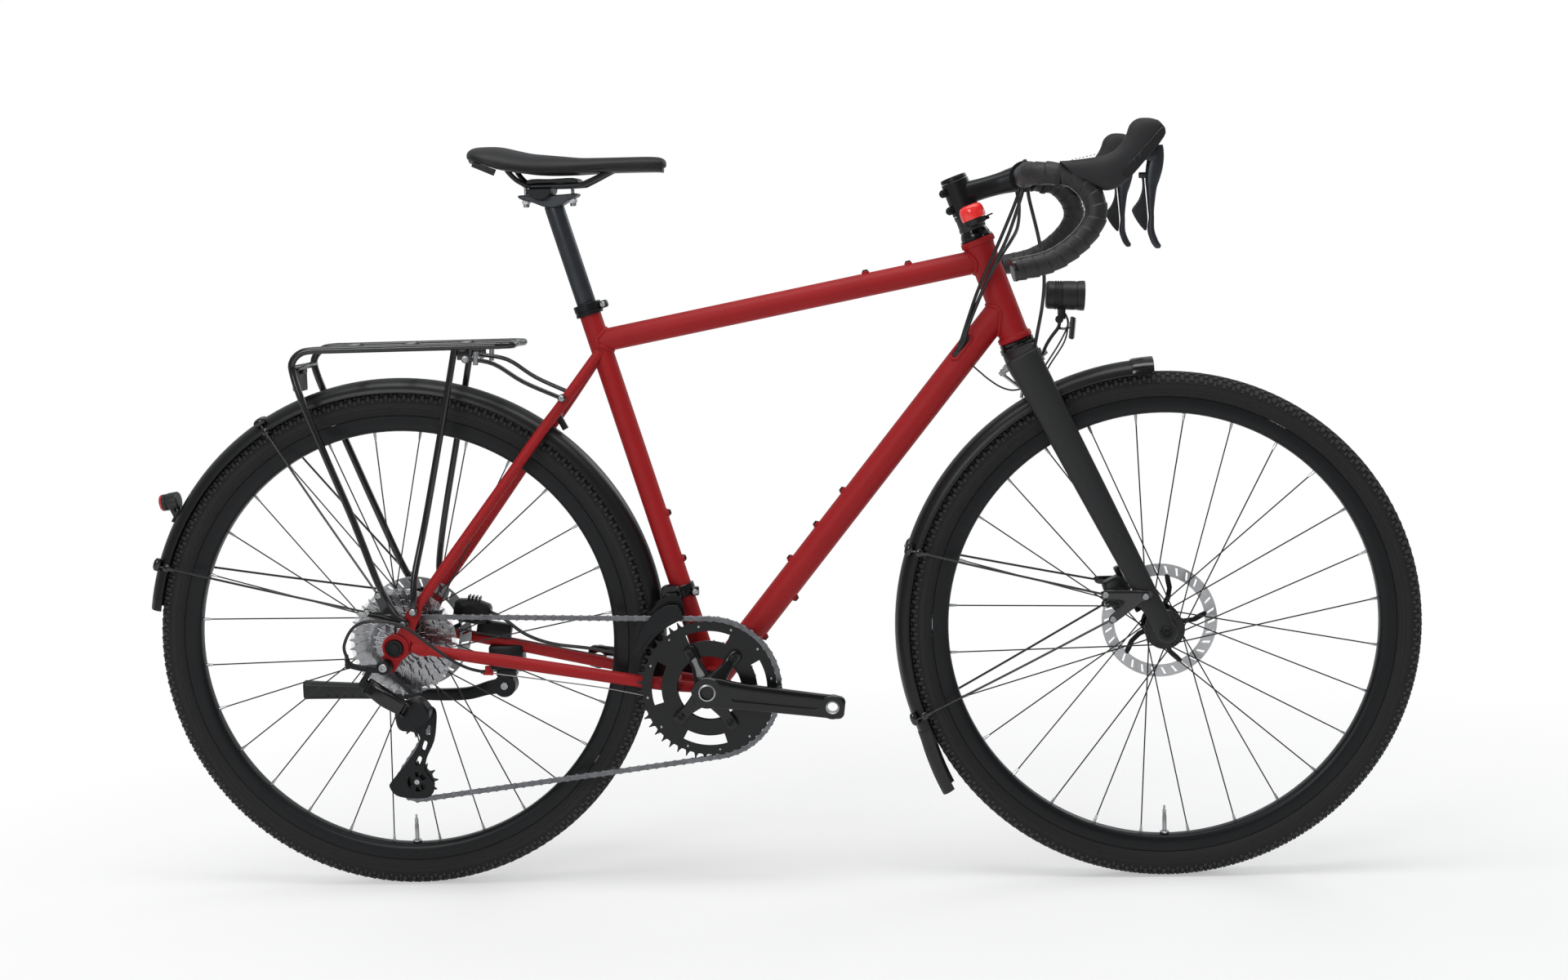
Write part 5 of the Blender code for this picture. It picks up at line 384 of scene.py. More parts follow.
def plate(outline, thickness, y, holes=(), edge=0.0003):
    """A flat plate in side view with broken edges; outline and holes are (x, z) loops."""
    deselect()
    bpy.ops.curve.primitive_bezier_circle_add()
    item = bpy.context.object
    item.data.splines.clear()
    item.data.dimensions = "2D"
    item.data.fill_mode = "BOTH"
    item.data.extrude = thickness / 2 - edge
    item.data.bevel_depth = edge
    item.data.bevel_resolution = 0
    item.data.offset = -edge
    for loop in (outline, *holes):
        spline = item.data.splines.new("POLY")
        spline.points.add(len(loop) - 1)
        for index, (x, z) in enumerate(loop):
            spline.points[index].co = (x, z, 0, 1)
        spline.use_cyclic_u = True
    bpy.ops.object.convert(target="MESH")
    item = close_skin(bpy.context.object)
    return set_in_place(item, Matrix.Translation((0, y, 0)) @ Matrix.Rotation(math.pi / 2, 4, "X"))


def skin(rings):
    """A closed skin over rings of equal point count: a grid wrapped round them, ends filled."""
    around = len(rings[0])
    deselect()
    bpy.ops.mesh.primitive_grid_add(x_subdivisions=around, y_subdivisions=len(rings) - 1)
    item = bpy.context.object
    for level_number, ring in enumerate(rings):
        for index in range(around + 1):
            item.data.vertices[level_number * (around + 1) + index].co = ring[index % around]
    return close_skin(item, fill=True)


def oval(centre, along, across, half_along, half_across, count=24, power=2.4):
    """Points round a softened rectangle, from round at power 2 to boxy at 6."""
    ring = []
    for index in range(count):
        c, s = math.cos(math.tau * index / count), math.sin(math.tau * index / count)
        u = math.copysign(abs(c) ** (2 / power), c) * half_along
        v = math.copysign(abs(s) ** (2 / power), s) * half_across
        ring.append(Vector(centre) + Vector(along) * u + Vector(across) * v)
    return ring


def block(centre, size, along=Z, across=X, edge=0.0008):
    """A milled block with rounded edges; along and across give its third and first sides."""
    deselect()
    bpy.ops.mesh.primitive_cube_add(size=1)
    item = bpy.context.object
    set_in_place(item, Matrix.Diagonal((*size, 1)))
    edit(item)
    bpy.ops.mesh.bevel(offset=edge, segments=2)
    bpy.ops.object.mode_set(mode="OBJECT")
    return set_in_place(item, axes_at(centre, along, across))


def joined(items):
    """Makes several meshes one piece."""
    deselect()
    for item in items:
        item.select_set(True)
    bpy.context.view_layer.objects.active = items[0]
    bpy.ops.object.join()
    return items[0]


def copied(item, places):
    """The shape again at every place, each copy with its own mesh, joined to one piece."""
    made = []
    for place in places:
        other = item.copy()
        other.data = item.data.copy()
        bpy.context.scene.collection.objects.link(other)
        made.append(set_in_place(other, place))
    deselect()
    item.select_set(True)
    bpy.ops.object.delete()
    return joined(made)


def mirror_of(item):
    """A copy on the other side of the bike, with its own mesh."""
    other = item.copy()
    other.data = item.data.copy()
    bpy.context.scene.collection.objects.link(other)
    set_in_place(other, Matrix.Diagonal((1, -1, 1, 1)))
    other.data.flip_normals()
    return other


def both_sides(item):
    """The piece and its mirror image across the bike, as one."""
    return joined([item, mirror_of(item)])


def carved(target, *tools, overlapping=False):
    """Cuts the tools out of a piece, which may be made of overlapping closed skins."""
    for tool in tools:
        deselect()
        bpy.context.view_layer.objects.active = target
        cut = target.modifiers.new("cut", "BOOLEAN")
        cut.object = tool
        cut.solver = "EXACT"
        cut.use_self = overlapping
        bpy.ops.object.modifier_apply(modifier="cut")
        tool.select_set(True)
        bpy.ops.object.delete()
    return target


def settle(item, name, body, look, *instead_of, smooth=35):
    """Names a finished piece, gives it its finish and lets it move with its CAD body."""
    item.name = item.data.name = name
    item.data.materials.clear()
    item.data.materials.append(look)
    deselect()
    item.select_set(True)
    bpy.context.view_layer.objects.active = item
    bpy.ops.object.shade_smooth_by_angle(angle=math.radians(smooth))
    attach(item, body)
    if instead_of:
        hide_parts(*instead_of)
    return item


def pair_up(item, names, bodies, look, nodes, smooth=35):
    """Settles a right-hand piece and its mirror image on the left."""
    other = mirror_of(item)
    for piece, name, body, node in zip((item, other), names, bodies, nodes):
        settle(piece, name, body, look, node, smooth=smooth)


print("ways of working are ready")

# %% [markdown]
# ## The lines the bike is built on
# Both axles, the bottom bracket, the steering axis and the seat tube give every other place.
# They are repeated from the model, because a script can't read a number off a mesh.

# %% Axles and axes
rear_axle, front_axle = Vector((0, 0, 0.351)), Vector((1.056, 0, 0.351))
bracket = Vector((0.431, 0, 0.283))
steer_up = Vector((-math.cos(math.radians(70)), 0, math.sin(math.radians(70))))
steer_ahead = Vector((steer_up.z, 0, -steer_up.x))
steer_foot = front_axle - steer_ahead * 0.046
seat_up = Vector((-math.cos(math.radians(73.5)), 0, math.sin(math.radians(73.5))))
seat_ahead = Vector((seat_up.z, 0, -seat_up.x))


def on_steerer(height):
    """A point of the steering axis, so far up from its foot."""
    return steer_foot + steer_up * height


def on_seat_tube(height):
    """A point of the seat tube's axis, so far up from the bottom bracket."""
    return bracket + seat_up * height


def polar(centre, degrees, radius, y=None):
    """A point round a centre in side view; angles from straight ahead, upwards."""
    angle = math.radians(degrees)
    side = centre.y if y is None else y
    return Vector((centre.x + radius * math.cos(angle), side, centre.z + radius * math.sin(angle)))


def loop_round(centre, radius, count=32, first=0.0, last=360.0):
    """(x, z) points of a circle, or of an arc with both its ends."""
    steps = count if last - first == 360.0 else count - 1
    points = [polar(centre, first + (last - first) * index / steps, radius) for index in range(count)]
    return [(point.x, point.z) for point in points]


print("bottom bracket at", tuple(bracket), "head tube top at",
    tuple(round(c, 3) for c in on_steerer(0.588)))

# %% [markdown]
# ## Tyres
# A gravel tyre is a smooth rubber casing under a tread of small blocks. The casing is one
# spun profile. The blocks could be drawn with a bump pattern, but they make the serrated edge
# that the eye catches against the white, so they are real: one slice of tread is modelled and
# copied round, with five blocks on each side, from the middle to the shoulder.

# %% Casing and tread


TREAD_SLICES = 168
# each block: length, width, height, outer radius, place across, lean, shift in slices
TREAD_BLOCKS = ((0.0078, 0.0048, 0.0026, 0.3507, 0.0031, 8, 0.25),
    (0.0074, 0.0042, 0.0026, 0.3499, 0.0086, 24, -0.25), (0.0062, 0.0052, 0.0028, 0.348, 0.0133, 42, 0.25),
    (0.0052, 0.0076, 0.0024, 0.3443, 0.0173, 62, -0.25), (0.0034, 0.0056, 0.0014, 0.3396, 0.019, 74, 0.25))


def tread_block(length, width, height, radius, y, lean, degrees):
    """One block of tread at the top of the tyre, narrower at its top than at its foot."""
    deselect()
    bpy.ops.mesh.primitive_cube_add(size=1)
    item = bpy.context.object
    set_in_place(item, Matrix.Diagonal((length, width, height, 1)))
    for vertex in item.data.vertices:
        if vertex.co.z > 0:
            vertex.co.x *= 0.72
            vertex.co.y *= 0.76
    up = Vector((0, math.sin(math.radians(lean)), math.cos(math.radians(lean))))
    set_in_place(item, axes_at((0, y, radius - height / 2 * up.z), up, X))
    return set_in_place(item, Matrix.Rotation(math.radians(degrees), 4, "Y"))


def tyre(name, axle, body, node_name):
    """Casing with its moulded lines, and the tread as a piece of its own."""
    half = [(0.3168, 0.0126), (0.3196, 0.0155), (0.324, 0.018), (0.329, 0.0194), (0.3335, 0.0196),
        (0.3385, 0.0187), (0.3425, 0.0168), (0.3455, 0.014), (0.3476, 0.0104), (0.3488, 0.006),
        (0.3492, 0.0)]
    outer = half + [(radius, -y) for radius, y in reversed(half[:-1])]
    inner = [(0.32, -0.012), (0.34, -0.015), (0.34, 0.015), (0.32, 0.012)]
    casing = turned(outer + inner, axle, Y, 144)
    pitch = 360.0 / TREAD_SLICES
    tread = joined([tread_block(*size, side * y, side * lean, pitch * shift * side)
        for side in (-1, 1) for *size, y, lean, shift in TREAD_BLOCKS])
    tread = copied(tread, [Matrix.Translation(axle) @ Matrix.Rotation(math.radians(pitch * n), 4, "Y")
        for n in range(TREAD_SLICES)])
    lines = [turned([(radius, side * y), (radius + 0.0005, side * (y + 0.0005)),
        (radius + 0.001, side * y)], axle, Y, 144) for side in (-1, 1) for radius, y in ((0.3222, 0.017),
        (0.3262, 0.0187), (0.3352, 0.0193))]
    settle(tread, name + "_tread", body, tread_rubber, node_name, smooth=28)
    piece = joined([casing, *lines])
    settle(piece, name, body, tyre_rubber, node_name, smooth=28)
    print(name, len(tread.data.polygons), "tread faces")


tyre("rear_gravel_tyre", rear_axle, "rear_wheel", "rear_tyre")
tyre("front_gravel_tyre", front_axle, "front_wheel", "front_tyre")

# %% [markdown]
# ## Rims, spokes and hubs
# The rims are deep black aluminium hoops with rounded shoulders. Each holds 28 spokes laced
# three-cross: thin black wire from a flange to a short nipple at the rim, pulling by turns
# ahead and back. They are straight, because a spoke is always tight. The hubs are turned.

# %% Rims with valves


def rim(name, axle, body, node_name):
    """A hoop with its valve and the valve's nut."""
    half = [(0.294, 0.0), (0.2941, 0.005), (0.295, 0.0084), (0.2972, 0.0108), (0.3005, 0.0122),
        (0.305, 0.0129), (0.312, 0.013), (0.316, 0.013), (0.3166, 0.0124), (0.3166, 0.0112),
        (0.314, 0.0108), (0.308, 0.007), (0.307, 0.0)]
    hoop = turned(half + [(radius, -y) for radius, y in reversed(half[1:-1])], axle, Y, 144)
    settle(hoop, name, body, black_alloy, node_name)
    foot = polar(axle, -90, 0.2952)
    stem = turned([(0, 0), (0.0032, 0), (0.0032, 0.004), (0.003, 0.0042), (0.003, 0.026), (0.0026, 0.027),
        (0.0026, 0.035), (0.0016, 0.0355), (0.0016, 0.0405), (0.001, 0.0412), (0, 0.0412)], foot, Z, 16)
    nut = turned([(0.0031, 0.0016), (0.006, 0.0016), (0.0064, 0.0022), (0.0064, 0.004), (0.0058, 0.0046),
        (0.0031, 0.0046)], foot, Z, 12)
    settle(stem, name + "_valve", body, bright_steel)
    settle(nut, name + "_valve_nut", body, bright_steel)


rim("rear_deep_rim", rear_axle, "rear_wheel", "rear_rim")
rim("front_deep_rim", front_axle, "front_wheel", "front_rim")

# %% Spokes and nipples


SPOKE_COUNT = 28


def spoke_ends(axle, flanges, flange_radius):
    """Both ends of every spoke, as the wheel is laced in the model."""
    lines = []
    for index in range(SPOKE_COUNT):
        order, side = index // 2, index % 2
        lead = 1 if order % 2 else -1
        at_rim = 180 / SPOKE_COUNT + 360 * index / SPOKE_COUNT
        at_hub = 180 / SPOKE_COUNT + 360 * (2 * (order // 2) + 0.5) / 14 + lead * 360 * 2.75 / 14
        start = polar(axle, at_hub, flange_radius, flanges[side] + lead * 0.0016)
        end = polar(axle, at_rim, 0.294, (-1 if side == 0 else 1) * 0.0012 + lead * 0.0006)
        lines.append((start, end, lead, side))
    return lines


def spokes(name, axle, flanges, flange_radius, body):
    """All spokes and nipples of a wheel; each spoke has an elbow and a head at the hub."""
    wires, nipples = [], []
    for start, end, lead, side in spoke_ends(axle, flanges, flange_radius):
        elbow = Vector((start.x, flanges[side] - lead * 0.0022, start.z))
        wires.append(bent([elbow, start, start.lerp(end, 0.01), start.lerp(end, 0.995)], 0.00095, None,
            2))
        wires.append(rod(elbow, elbow - Y * lead * 0.0008, 0.0018, 10, 0.0003))
        run = (start - end).normalized()
        nipples.append(turned([(0, -0.001), (0.0021, -0.001), (0.0021, 0.003), (0.0015, 0.0105),
            (0.0008, 0.011), (0, 0.011)], end, run, 8))
    settle(joined(wires), name + "_spokes", body, black_spoke, smooth=50)
    settle(joined(nipples), name + "_nipples", body, bright_steel)


black_spoke = finish("black oxide spoke wire", ("#242424", "#2E2E2F"), (0.3, 0.45), 0.5, 0.6, 0.05, 12)
spokes("rear_wheel", rear_axle, (-0.0205, 0.033), 0.0255, "rear_wheel")
spokes("front_wheel", front_axle, (-0.033, 0.0205), 0.024, "front_wheel")

# %% Hub shells


def flange(axle, y, radius):
    """The holes' ring of a flange: a rounded disc between the two rows of spoke heads."""
    return turned([(0.01, -0.0017), (radius + 0.0024, -0.0017), (radius + 0.0034, -0.0008),
        (radius + 0.0034, 0.0008), (radius + 0.0024, 0.0017), (0.01, 0.0017)], axle + Y * y, Y, 56)


front_shell = turned([(0.0062, -0.05), (0.0092, -0.05), (0.0095, -0.0495), (0.0095, -0.044),
    (0.015, -0.0435), (0.0155, -0.042), (0.015, -0.035), (0.02, -0.0345), (0.02, -0.0325),
    (0.0125, -0.027), (0.0108, -0.02), (0.0104, -0.005), (0.011, 0.008), (0.0145, 0.017), (0.02, 0.019),
    (0.02, 0.0225), (0.0178, 0.024), (0.0186, 0.0255), (0.0186, 0.038), (0.0148, 0.0384), (0.0148, 0.042),
    (0.0095, 0.0425), (0.0095, 0.05), (0.0062, 0.05)], front_axle, Y, 48)
front_hub = joined([front_shell, flange(front_axle, -0.033, 0.024), flange(front_axle, 0.0205, 0.024)])
settle(front_hub, "front_hub_shell", "front_wheel", gloss_alloy, "front_hub", smooth=30)
rear_shell = turned([(0.0062, -0.071), (0.0095, -0.071), (0.0095, -0.068), (0.0118, -0.068),
    (0.0118, -0.0255), (0.0188, -0.0243), (0.023, -0.0225), (0.023, -0.019), (0.0165, -0.014),
    (0.0138, -0.006), (0.0134, 0.01), (0.014, 0.022), (0.019, 0.03), (0.023, 0.0315), (0.023, 0.035),
    (0.0188, 0.037), (0.0188, 0.0545), (0.0148, 0.0547), (0.0148, 0.0585), (0.0095, 0.059),
    (0.0095, 0.071), (0.0062, 0.071)], rear_axle, Y, 48)
rear_hub = joined([rear_shell, flange(rear_axle, -0.0205, 0.0255), flange(rear_axle, 0.033, 0.0255)])
settle(rear_hub, "rear_hub_shell", "rear_wheel", gloss_alloy, "rear_hub", smooth=30)
print("hubs turned")

# %% [markdown]
# ## Brake discs
# A disc is stamped from stainless sheet. Its braking ring has slanted slots that clear dirt
# and water and show as a zebra pattern, and five slim black arms carry it on the hub's splines.
# The rubbing marks run round the centre, so its steel gets rings about the axle in its relief.

# %% Disc steel with rubbing rings


DISC_SLOTS = 30


def disc_steel(name, axle):
    """Stainless steel with rings about the axle in its relief."""
    look = finish(name, ("#B4B5B7", "#C9CACC"), (0.24, 0.36), 1.0, 0.8, 0.08, 7)
    tree = look.node_tree
    place = add_node(look, "ShaderNodeTexCoord")
    centred = add_node(look, "ShaderNodeMapping", {"Location": (-axle.x, 0, -axle.z)},
        {"Vector": (place, "Object")})
    rings = add_node(look, "ShaderNodeTexWave", {"wave_type": "RINGS", "rings_direction": "Y",
        "Scale": 180.0, "Distortion": 1.5, "Detail": 2.0}, {"Vector": (centred, 0)})
    marks = add_node(look, "ShaderNodeBump", {"Strength": 0.1, "Distance": 0.0003},
        {"Height": (rings, 1)})
    tree.links.new(marks.outputs[0], shader_of(look).inputs["Normal"])
    return look


def brake_disc(name, axle, y, body, node_name):
    """A slotted ring, and apart from it the arms that carry it."""
    slots = []
    for index in range(DISC_SLOTS):
        middle = index * 360.0 / DISC_SLOTS
        ends = [(middle - 5.2, 0.0668), (middle - 1.6, 0.0768), (middle + 0.9, 0.0768),
            (middle - 2.7, 0.0668)]
        slots.append([(polar(axle, angle, radius).x, polar(axle, angle, radius).z)
            for angle, radius in ends])
    ring = plate(loop_round(axle, 0.08, 96), 0.0018, y, [loop_round(axle, 0.063, 72), *slots], 0.0002)
    settle(ring, name, body, disc_steel(name.replace("_", " ") + " steel", axle), node_name, smooth=20)
    arms = []
    for index in range(5):
        lean = index * 72.0
        outline = [(lean - 8, 0.0205), (lean - 9, 0.034), (lean - 3, 0.05), (lean + 5, 0.0648),
            (lean + 11, 0.0648), (lean + 9, 0.056), (lean + 4, 0.046), (lean + 3, 0.034),
            (lean + 12, 0.0205)]
        loop = [(polar(axle, angle, radius).x, polar(axle, angle, radius).z) for angle, radius in outline]
        arms.append(plate(loop, 0.0026, y, (), 0.0004))
        head = polar(axle, lean + 8, 0.0632, y)
        arms.append(rod(head - Y * 0.0021, head + Y * 0.0021, 0.0024, 12))
    spider = plate(loop_round(axle, 0.0225, 48), 0.0034, y, [loop_round(axle, 0.015, 40)], 0.0004)
    lock_ring = turned([(0.011, 0.0016), (0.0192, 0.0016), (0.0196, 0.0024), (0.018, 0.0042),
        (0.011, 0.0042)], axle + Y * y, Y, 32)
    settle(joined([spider, lock_ring, *arms]), name + "_carrier", body, black_alloy)


brake_disc("front_brake_disc", front_axle, 0.0395, "front_wheel", "front_rotor")
brake_disc("rear_brake_disc", rear_axle, 0.0557, "rear_wheel", "rear_rotor")
print("discs cut")

# %% [markdown]
# ## The steel frame
# The frame is drawn steel tube, mitred and TIG welded, then powder coated as one piece. A tube
# is a turned bar. The weld round each joint could be left out at this size, but the soft collar
# of metal is what tells a welded frame from a drawing, so its line is worked out: where every
# side line of the small tube meets the big one, a thin bead is laid.

# %% Main tubes and their welds


def weld(start, end, radius, other_start, other_end, other_radius, bead=0.0026):
    """A bead of weld where a small tube, coming from start, meets a bigger one."""
    run = (Vector(end) - Vector(start)).normalized()
    spine = (Vector(other_end) - Vector(other_start)).normalized()
    matrix = axes_at(start, run)
    a, b = matrix.col[0].to_3d(), matrix.col[1].to_3d()
    points = []
    for index in range(40):
        angle = math.tau * index / 40
        point = Vector(start) + (a * math.cos(angle) + b * math.sin(angle)) * radius
        off = point - Vector(other_start)
        off -= spine * off.dot(spine)
        way = run - spine * run.dot(spine)
        half, rest = off.dot(way), off.length_squared - other_radius ** 2
        root = max(0.0, half * half - way.length_squared * rest)
        reach = (-half - math.sqrt(root)) / way.length_squared
        points.append(point + run * reach)
    return bent(points, bead, None, 2, closed=True)


def boss(point, direction, height=0.0026):
    """A threaded boss brazed on a tube, and apart from it the screw that closes it."""
    way = Vector(direction).normalized()
    stand = turned([(0, -0.003), (0.0056, -0.003), (0.0052, height * 0.7), (0.0044, height), (0, height)],
        point, way, 20)
    screw = turned([(0, height), (0.004, height), (0.004, height + 0.0012), (0.003, height + 0.0022),
        (0.0016, height + 0.0022), (0.0014, height + 0.0008), (0, height + 0.0008)], point, way, 16)
    return stand, screw


seat_top, head_low, head_high = on_seat_tube(0.552), on_steerer(0.44), on_steerer(0.588)
top_start, top_end = on_seat_tube(0.5), on_steerer(0.588 - 0.0305)
down_end = on_steerer(0.44 + 0.0495)
head = turned([(0.0155, 0.4402), (0.0222, 0.4402), (0.0235, 0.4415), (0.0237, 0.4468), (0.0229, 0.4482),
    (0.0208, 0.449), (0.02, 0.454), (0.02, 0.574), (0.0208, 0.579), (0.0229, 0.5798), (0.0237, 0.5812),
    (0.0235, 0.5865), (0.0222, 0.5878), (0.0155, 0.5878)], steer_foot, steer_up, 64)
settle(head, "head_tube_with_rings", "frame", red_coat, "head_tube")
top = joined([rod(top_start, top_end, 0.0159, 56), weld(top_start, top_end, 0.0159, head_low, head_high,
    0.02), weld(top_end, top_start, 0.0159, bracket, seat_top, 0.0149)])
down = joined([rod(bracket, down_end, 0.01905, 64), weld(bracket, down_end, 0.01905, head_low, head_high,
    0.02), weld(down_end, bracket, 0.0188, bracket - Y, bracket + Y, 0.0205)])
seat_tube = joined([rod(bracket, seat_top, 0.0149, 56),
    turned([(0.0175, -0.034), (0.02, -0.034), (0.0205, -0.0334), (0.0205, 0.0334), (0.02, 0.034),
    (0.0175, 0.034)], bracket, Y, 56), weld(seat_top, bracket, 0.0149, bracket - Y, bracket + Y, 0.0205)])
run = (top_end - top_start).normalized()
above = Vector((-run.z, 0, run.x))
down_run = (down_end - bracket).normalized()
down_above = Vector((-down_run.z, 0, down_run.x))
spots = [(top_start.lerp(top_end, share) + above * 0.0159, above) for share in (0.7, 0.81)]
spots += [(bracket + down_run * reach + down_above * 0.01905, down_above)
    for reach in (0.205, 0.265, 0.325)]
spots += [(bracket + down_run * reach - down_above * 0.01905, -down_above) for reach in (0.095, 0.165)]
spots += [(on_seat_tube(height) + seat_ahead * 0.0149, seat_ahead) for height in (0.178, 0.245)]
bosses = [boss(*spot) for spot in spots]
settle(joined([screw for _, screw in bosses]), "bottle_boss_screws", "frame", black_alloy)
top = joined([top, *[stand for stand, _ in bosses[:2]]])
down = joined([down, *[stand for stand, _ in bosses[2:7]]])
seat_tube = joined([seat_tube, *[stand for stand, _ in bosses[7:]]])
settle(top, "welded_top_tube", "frame", red_coat, "top_tube")
settle(seat_tube, "welded_seat_tube", "frame", red_coat, "seat_tube")
print("main tubes welded with", len(bosses), "bosses")

# %% [markdown]
# The cables enter the down tube through an oval port with a raised rim and a rubber lining.
# Both are built on the tube's own roundness: a point's place across the port is an angle
# round the tube, so rim and lining lie on the tube without a gap.

# %% The cable port
port_facing = (down_above * 0.63 + Vector((0, -0.777, 0))).normalized()
port_middle = bracket + down_run * ((down_end - bracket).length - 0.077)


def on_port(along, across, lift):
    """A point on the down tube at the port: along the tube, across it and above its skin."""
    turn = Matrix.Rotation(across / 0.01905, 3, down_run)
    return port_middle + down_run * along + (turn @ port_facing) * (0.01905 + lift)


def port_ring(scale, lift):
    """An oval round the port, straight along the tube between round ends."""
    ring = []
    for index in range(36):
        c, s = math.cos(math.tau * index / 36), math.sin(math.tau * index / 36)
        along = (0.0125 if c > 0 else -0.0125) * scale + 0.0058 * scale * c
        ring.append(on_port(along, 0.0058 * scale * s, lift))
    return ring


rim_bead = bent(port_ring(1.1, 0.0004), 0.0022, None, 3, closed=True)
down = joined([down, rim_bead])
settle(down, "welded_down_tube", "frame", red_coat, "down_tube")
lining = skin([port_ring(0.94, -0.0004), port_ring(0.92, 0.0006), port_ring(0.8, 0.0008),
    port_ring(0.7, 0.0002), port_ring(0.35, 0.0001), port_ring(0.02, 0.0001)])
settle(lining, "port_lining", "frame", black_rubber)
print("port at", tuple(round(c, 3) for c in port_middle))

# %% Stays and dropouts
chain_route = [(0.024, -0.0714, 0.3508), (0.09, -0.068, 0.3385), (0.16, -0.0592, 0.3255),
    (0.24, -0.049, 0.31), (0.32, -0.0398, 0.2945), (0.369, -0.0332, 0.285), (0.417, -0.024, 0.2785)]
chain_sizes = [row[0] for row in smooth_rows([(0.74,), (0.92,), (1.0,), (1.0,), (0.98,), (0.92,),
    (0.84,)], 8)]
seat_route = [(0.02, -0.0716, 0.39), (0.07, -0.0655, 0.457), (0.15, -0.05, 0.563),
    (0.207, -0.0372, 0.639), (0.24, -0.0275, 0.681), (0.291, -0.0115, 0.749)]
seat_sizes = [row[0] for row in smooth_rows([(0.82,), (1.0,), (1.0,), (1.0,), (1.0,), (0.95,)], 8)]
dropout_y = 0.0748


def rounded(outline, steps=4):
    """A loop with its corners softened."""
    rows = smooth_rows([outline[-1], *outline, outline[0], outline[1]], steps)
    return [tuple(row) for row in rows[steps:-steps * 2 + steps - 1]]


dropout_loop = rounded([(0.0235, 0.36), (0.0205, 0.3445), (0.008, 0.3335), (-0.008, 0.336),
    (-0.0142, 0.35), (-0.01, 0.364), (0.0035, 0.372), (0.013, 0.386), (0.02, 0.4035), (0.033, 0.413),
    (0.0398, 0.401), (0.03, 0.38), (0.03, 0.369), (0.047, 0.358), (0.046, 0.34), (0.03, 0.342)], 3)
dropout = plate(dropout_loop, 0.006, -dropout_y + 0.0008, [loop_round(rear_axle, 0.012, 28)], 0.001)
cup = turned([(0.0122, -0.004), (0.0172, -0.004), (0.0182, -0.003), (0.0186, -0.001), (0.0186, 0.003),
    (0.018, 0.0046), (0.016, 0.005), (0.0148, 0.004), (0.0142, 0.0006), (0.0122, 0.0004)],
    (0.0015, -dropout_y - 0.0006, 0.3525), -Y, 48)
arm_tube = bent([(0.0225, -0.0738, 0.351), (0.03, -0.0726, 0.35), (0.042, -0.0706, 0.3478)], 0.008,
    [0.86, 1.0, 0.98], 5)
half_frame = joined([bent(smooth_route(chain_route), 0.0088, chain_sizes, 7), dropout, cup, arm_tube])
hanger = plate(rounded([(0.01, 0.343), (-0.012, 0.345), (-0.0215, 0.331), (-0.0205, 0.321),
    (-0.009, 0.3165), (0.001, 0.322)], 3), 0.006, -dropout_y, (), 0.0008)
bridge = rod((0.381, -0.032, 0.2838), (0.381, 0.032, 0.2838), 0.005, 24)
cable_stop = [rod((0.126, -0.0632, 0.3215), (0.126, -0.0632, 0.314), 0.0042, 16),
    rod((0.119, -0.064, 0.313), (0.133, -0.062, 0.312), 0.0038, 16)]
chain_stays = joined([both_sides(half_frame), hanger, bridge, *cable_stop])
settle(chain_stays, "welded_chain_stays", "frame", red_coat, "chain_stays")
seat_half = joined([bent(smooth_route(seat_route), 0.0074, seat_sizes, 7),
    turned([(0, 0), (0.0055, 0), (0.005, 0.0095), (0.0042, 0.0105), (0, 0.0105)], (0.241, -0.03, 0.688),
    -Y, 20)])
seat_stays = joined([both_sides(seat_half), rod((0.226, -0.031, 0.664), (0.226, 0.031, 0.664), 0.0055,
    24)])
settle(seat_stays, "welded_seat_stays", "frame", red_coat, "seat_stays")
print("stays drawn")

# %% Bearings, clamp and through axle
collar = turned([(0.0152, 0.5385), (0.0186, 0.5385), (0.0192, 0.5393), (0.0192, 0.5425), (0.0185, 0.5432),
    (0.0185, 0.5448), (0.0192, 0.5455), (0.0192, 0.554), (0.0186, 0.5547), (0.014, 0.5547),
    (0.014, 0.5524), (0.0152, 0.5524)], bracket, seat_up, 56)
ear_middle = on_seat_tube(0.547) + seat_ahead * 0.0222
ears = block(ear_middle, (0.012, 0.015, 0.0105), seat_up, seat_ahead, 0.0028)
pinch = [rod(ear_middle + Y * side * 0.007, ear_middle + Y * side * 0.0108, 0.004, 20, 0.0008)
    for side in (-1, 1)]
settle(joined([collar, ears]), "seat_clamp_collar", "frame", black_alloy, "seat_clamp")
settle(joined(pinch), "seat_clamp_bolt", "frame", bright_steel)
cups = turned([(0.0122, -0.0445), (0.0205, -0.0445), (0.0223, -0.0435), (0.0223, -0.0343),
    (0.0169, -0.0343), (0.0169, 0.0343), (0.0223, 0.0343), (0.0223, 0.0435), (0.0205, 0.0445),
    (0.0122, 0.0445)], bracket, Y, 48)
notches = copied(block((0, 0, 0), (0.0016, 0.007, 0.0022), Z, X, 0.0003),
    [Matrix.Translation(bracket + Y * side * 0.0389) @ Matrix.Rotation(math.radians(22.5 * n), 4, "Y")
    @ Matrix.Translation((0, 0, 0.0222)) for n in range(16) for side in (-1, 1)])
settle(joined([cups, notches]), "bearing_cups", "frame", black_alloy, "bottom_bracket")
left_end = turned([(0, 0.079), (0.0042, 0.079), (0.0046, 0.0745), (0.004, 0.0745), (0.004, 0.0798),
    (0.0088, 0.0798), (0.0098, 0.0788), (0.0098, 0.0745), (0, 0.0745)], rear_axle, Y, 40)
shaft = rod(rear_axle - Y * 0.079, rear_axle + Y * 0.076, 0.0059, 24)
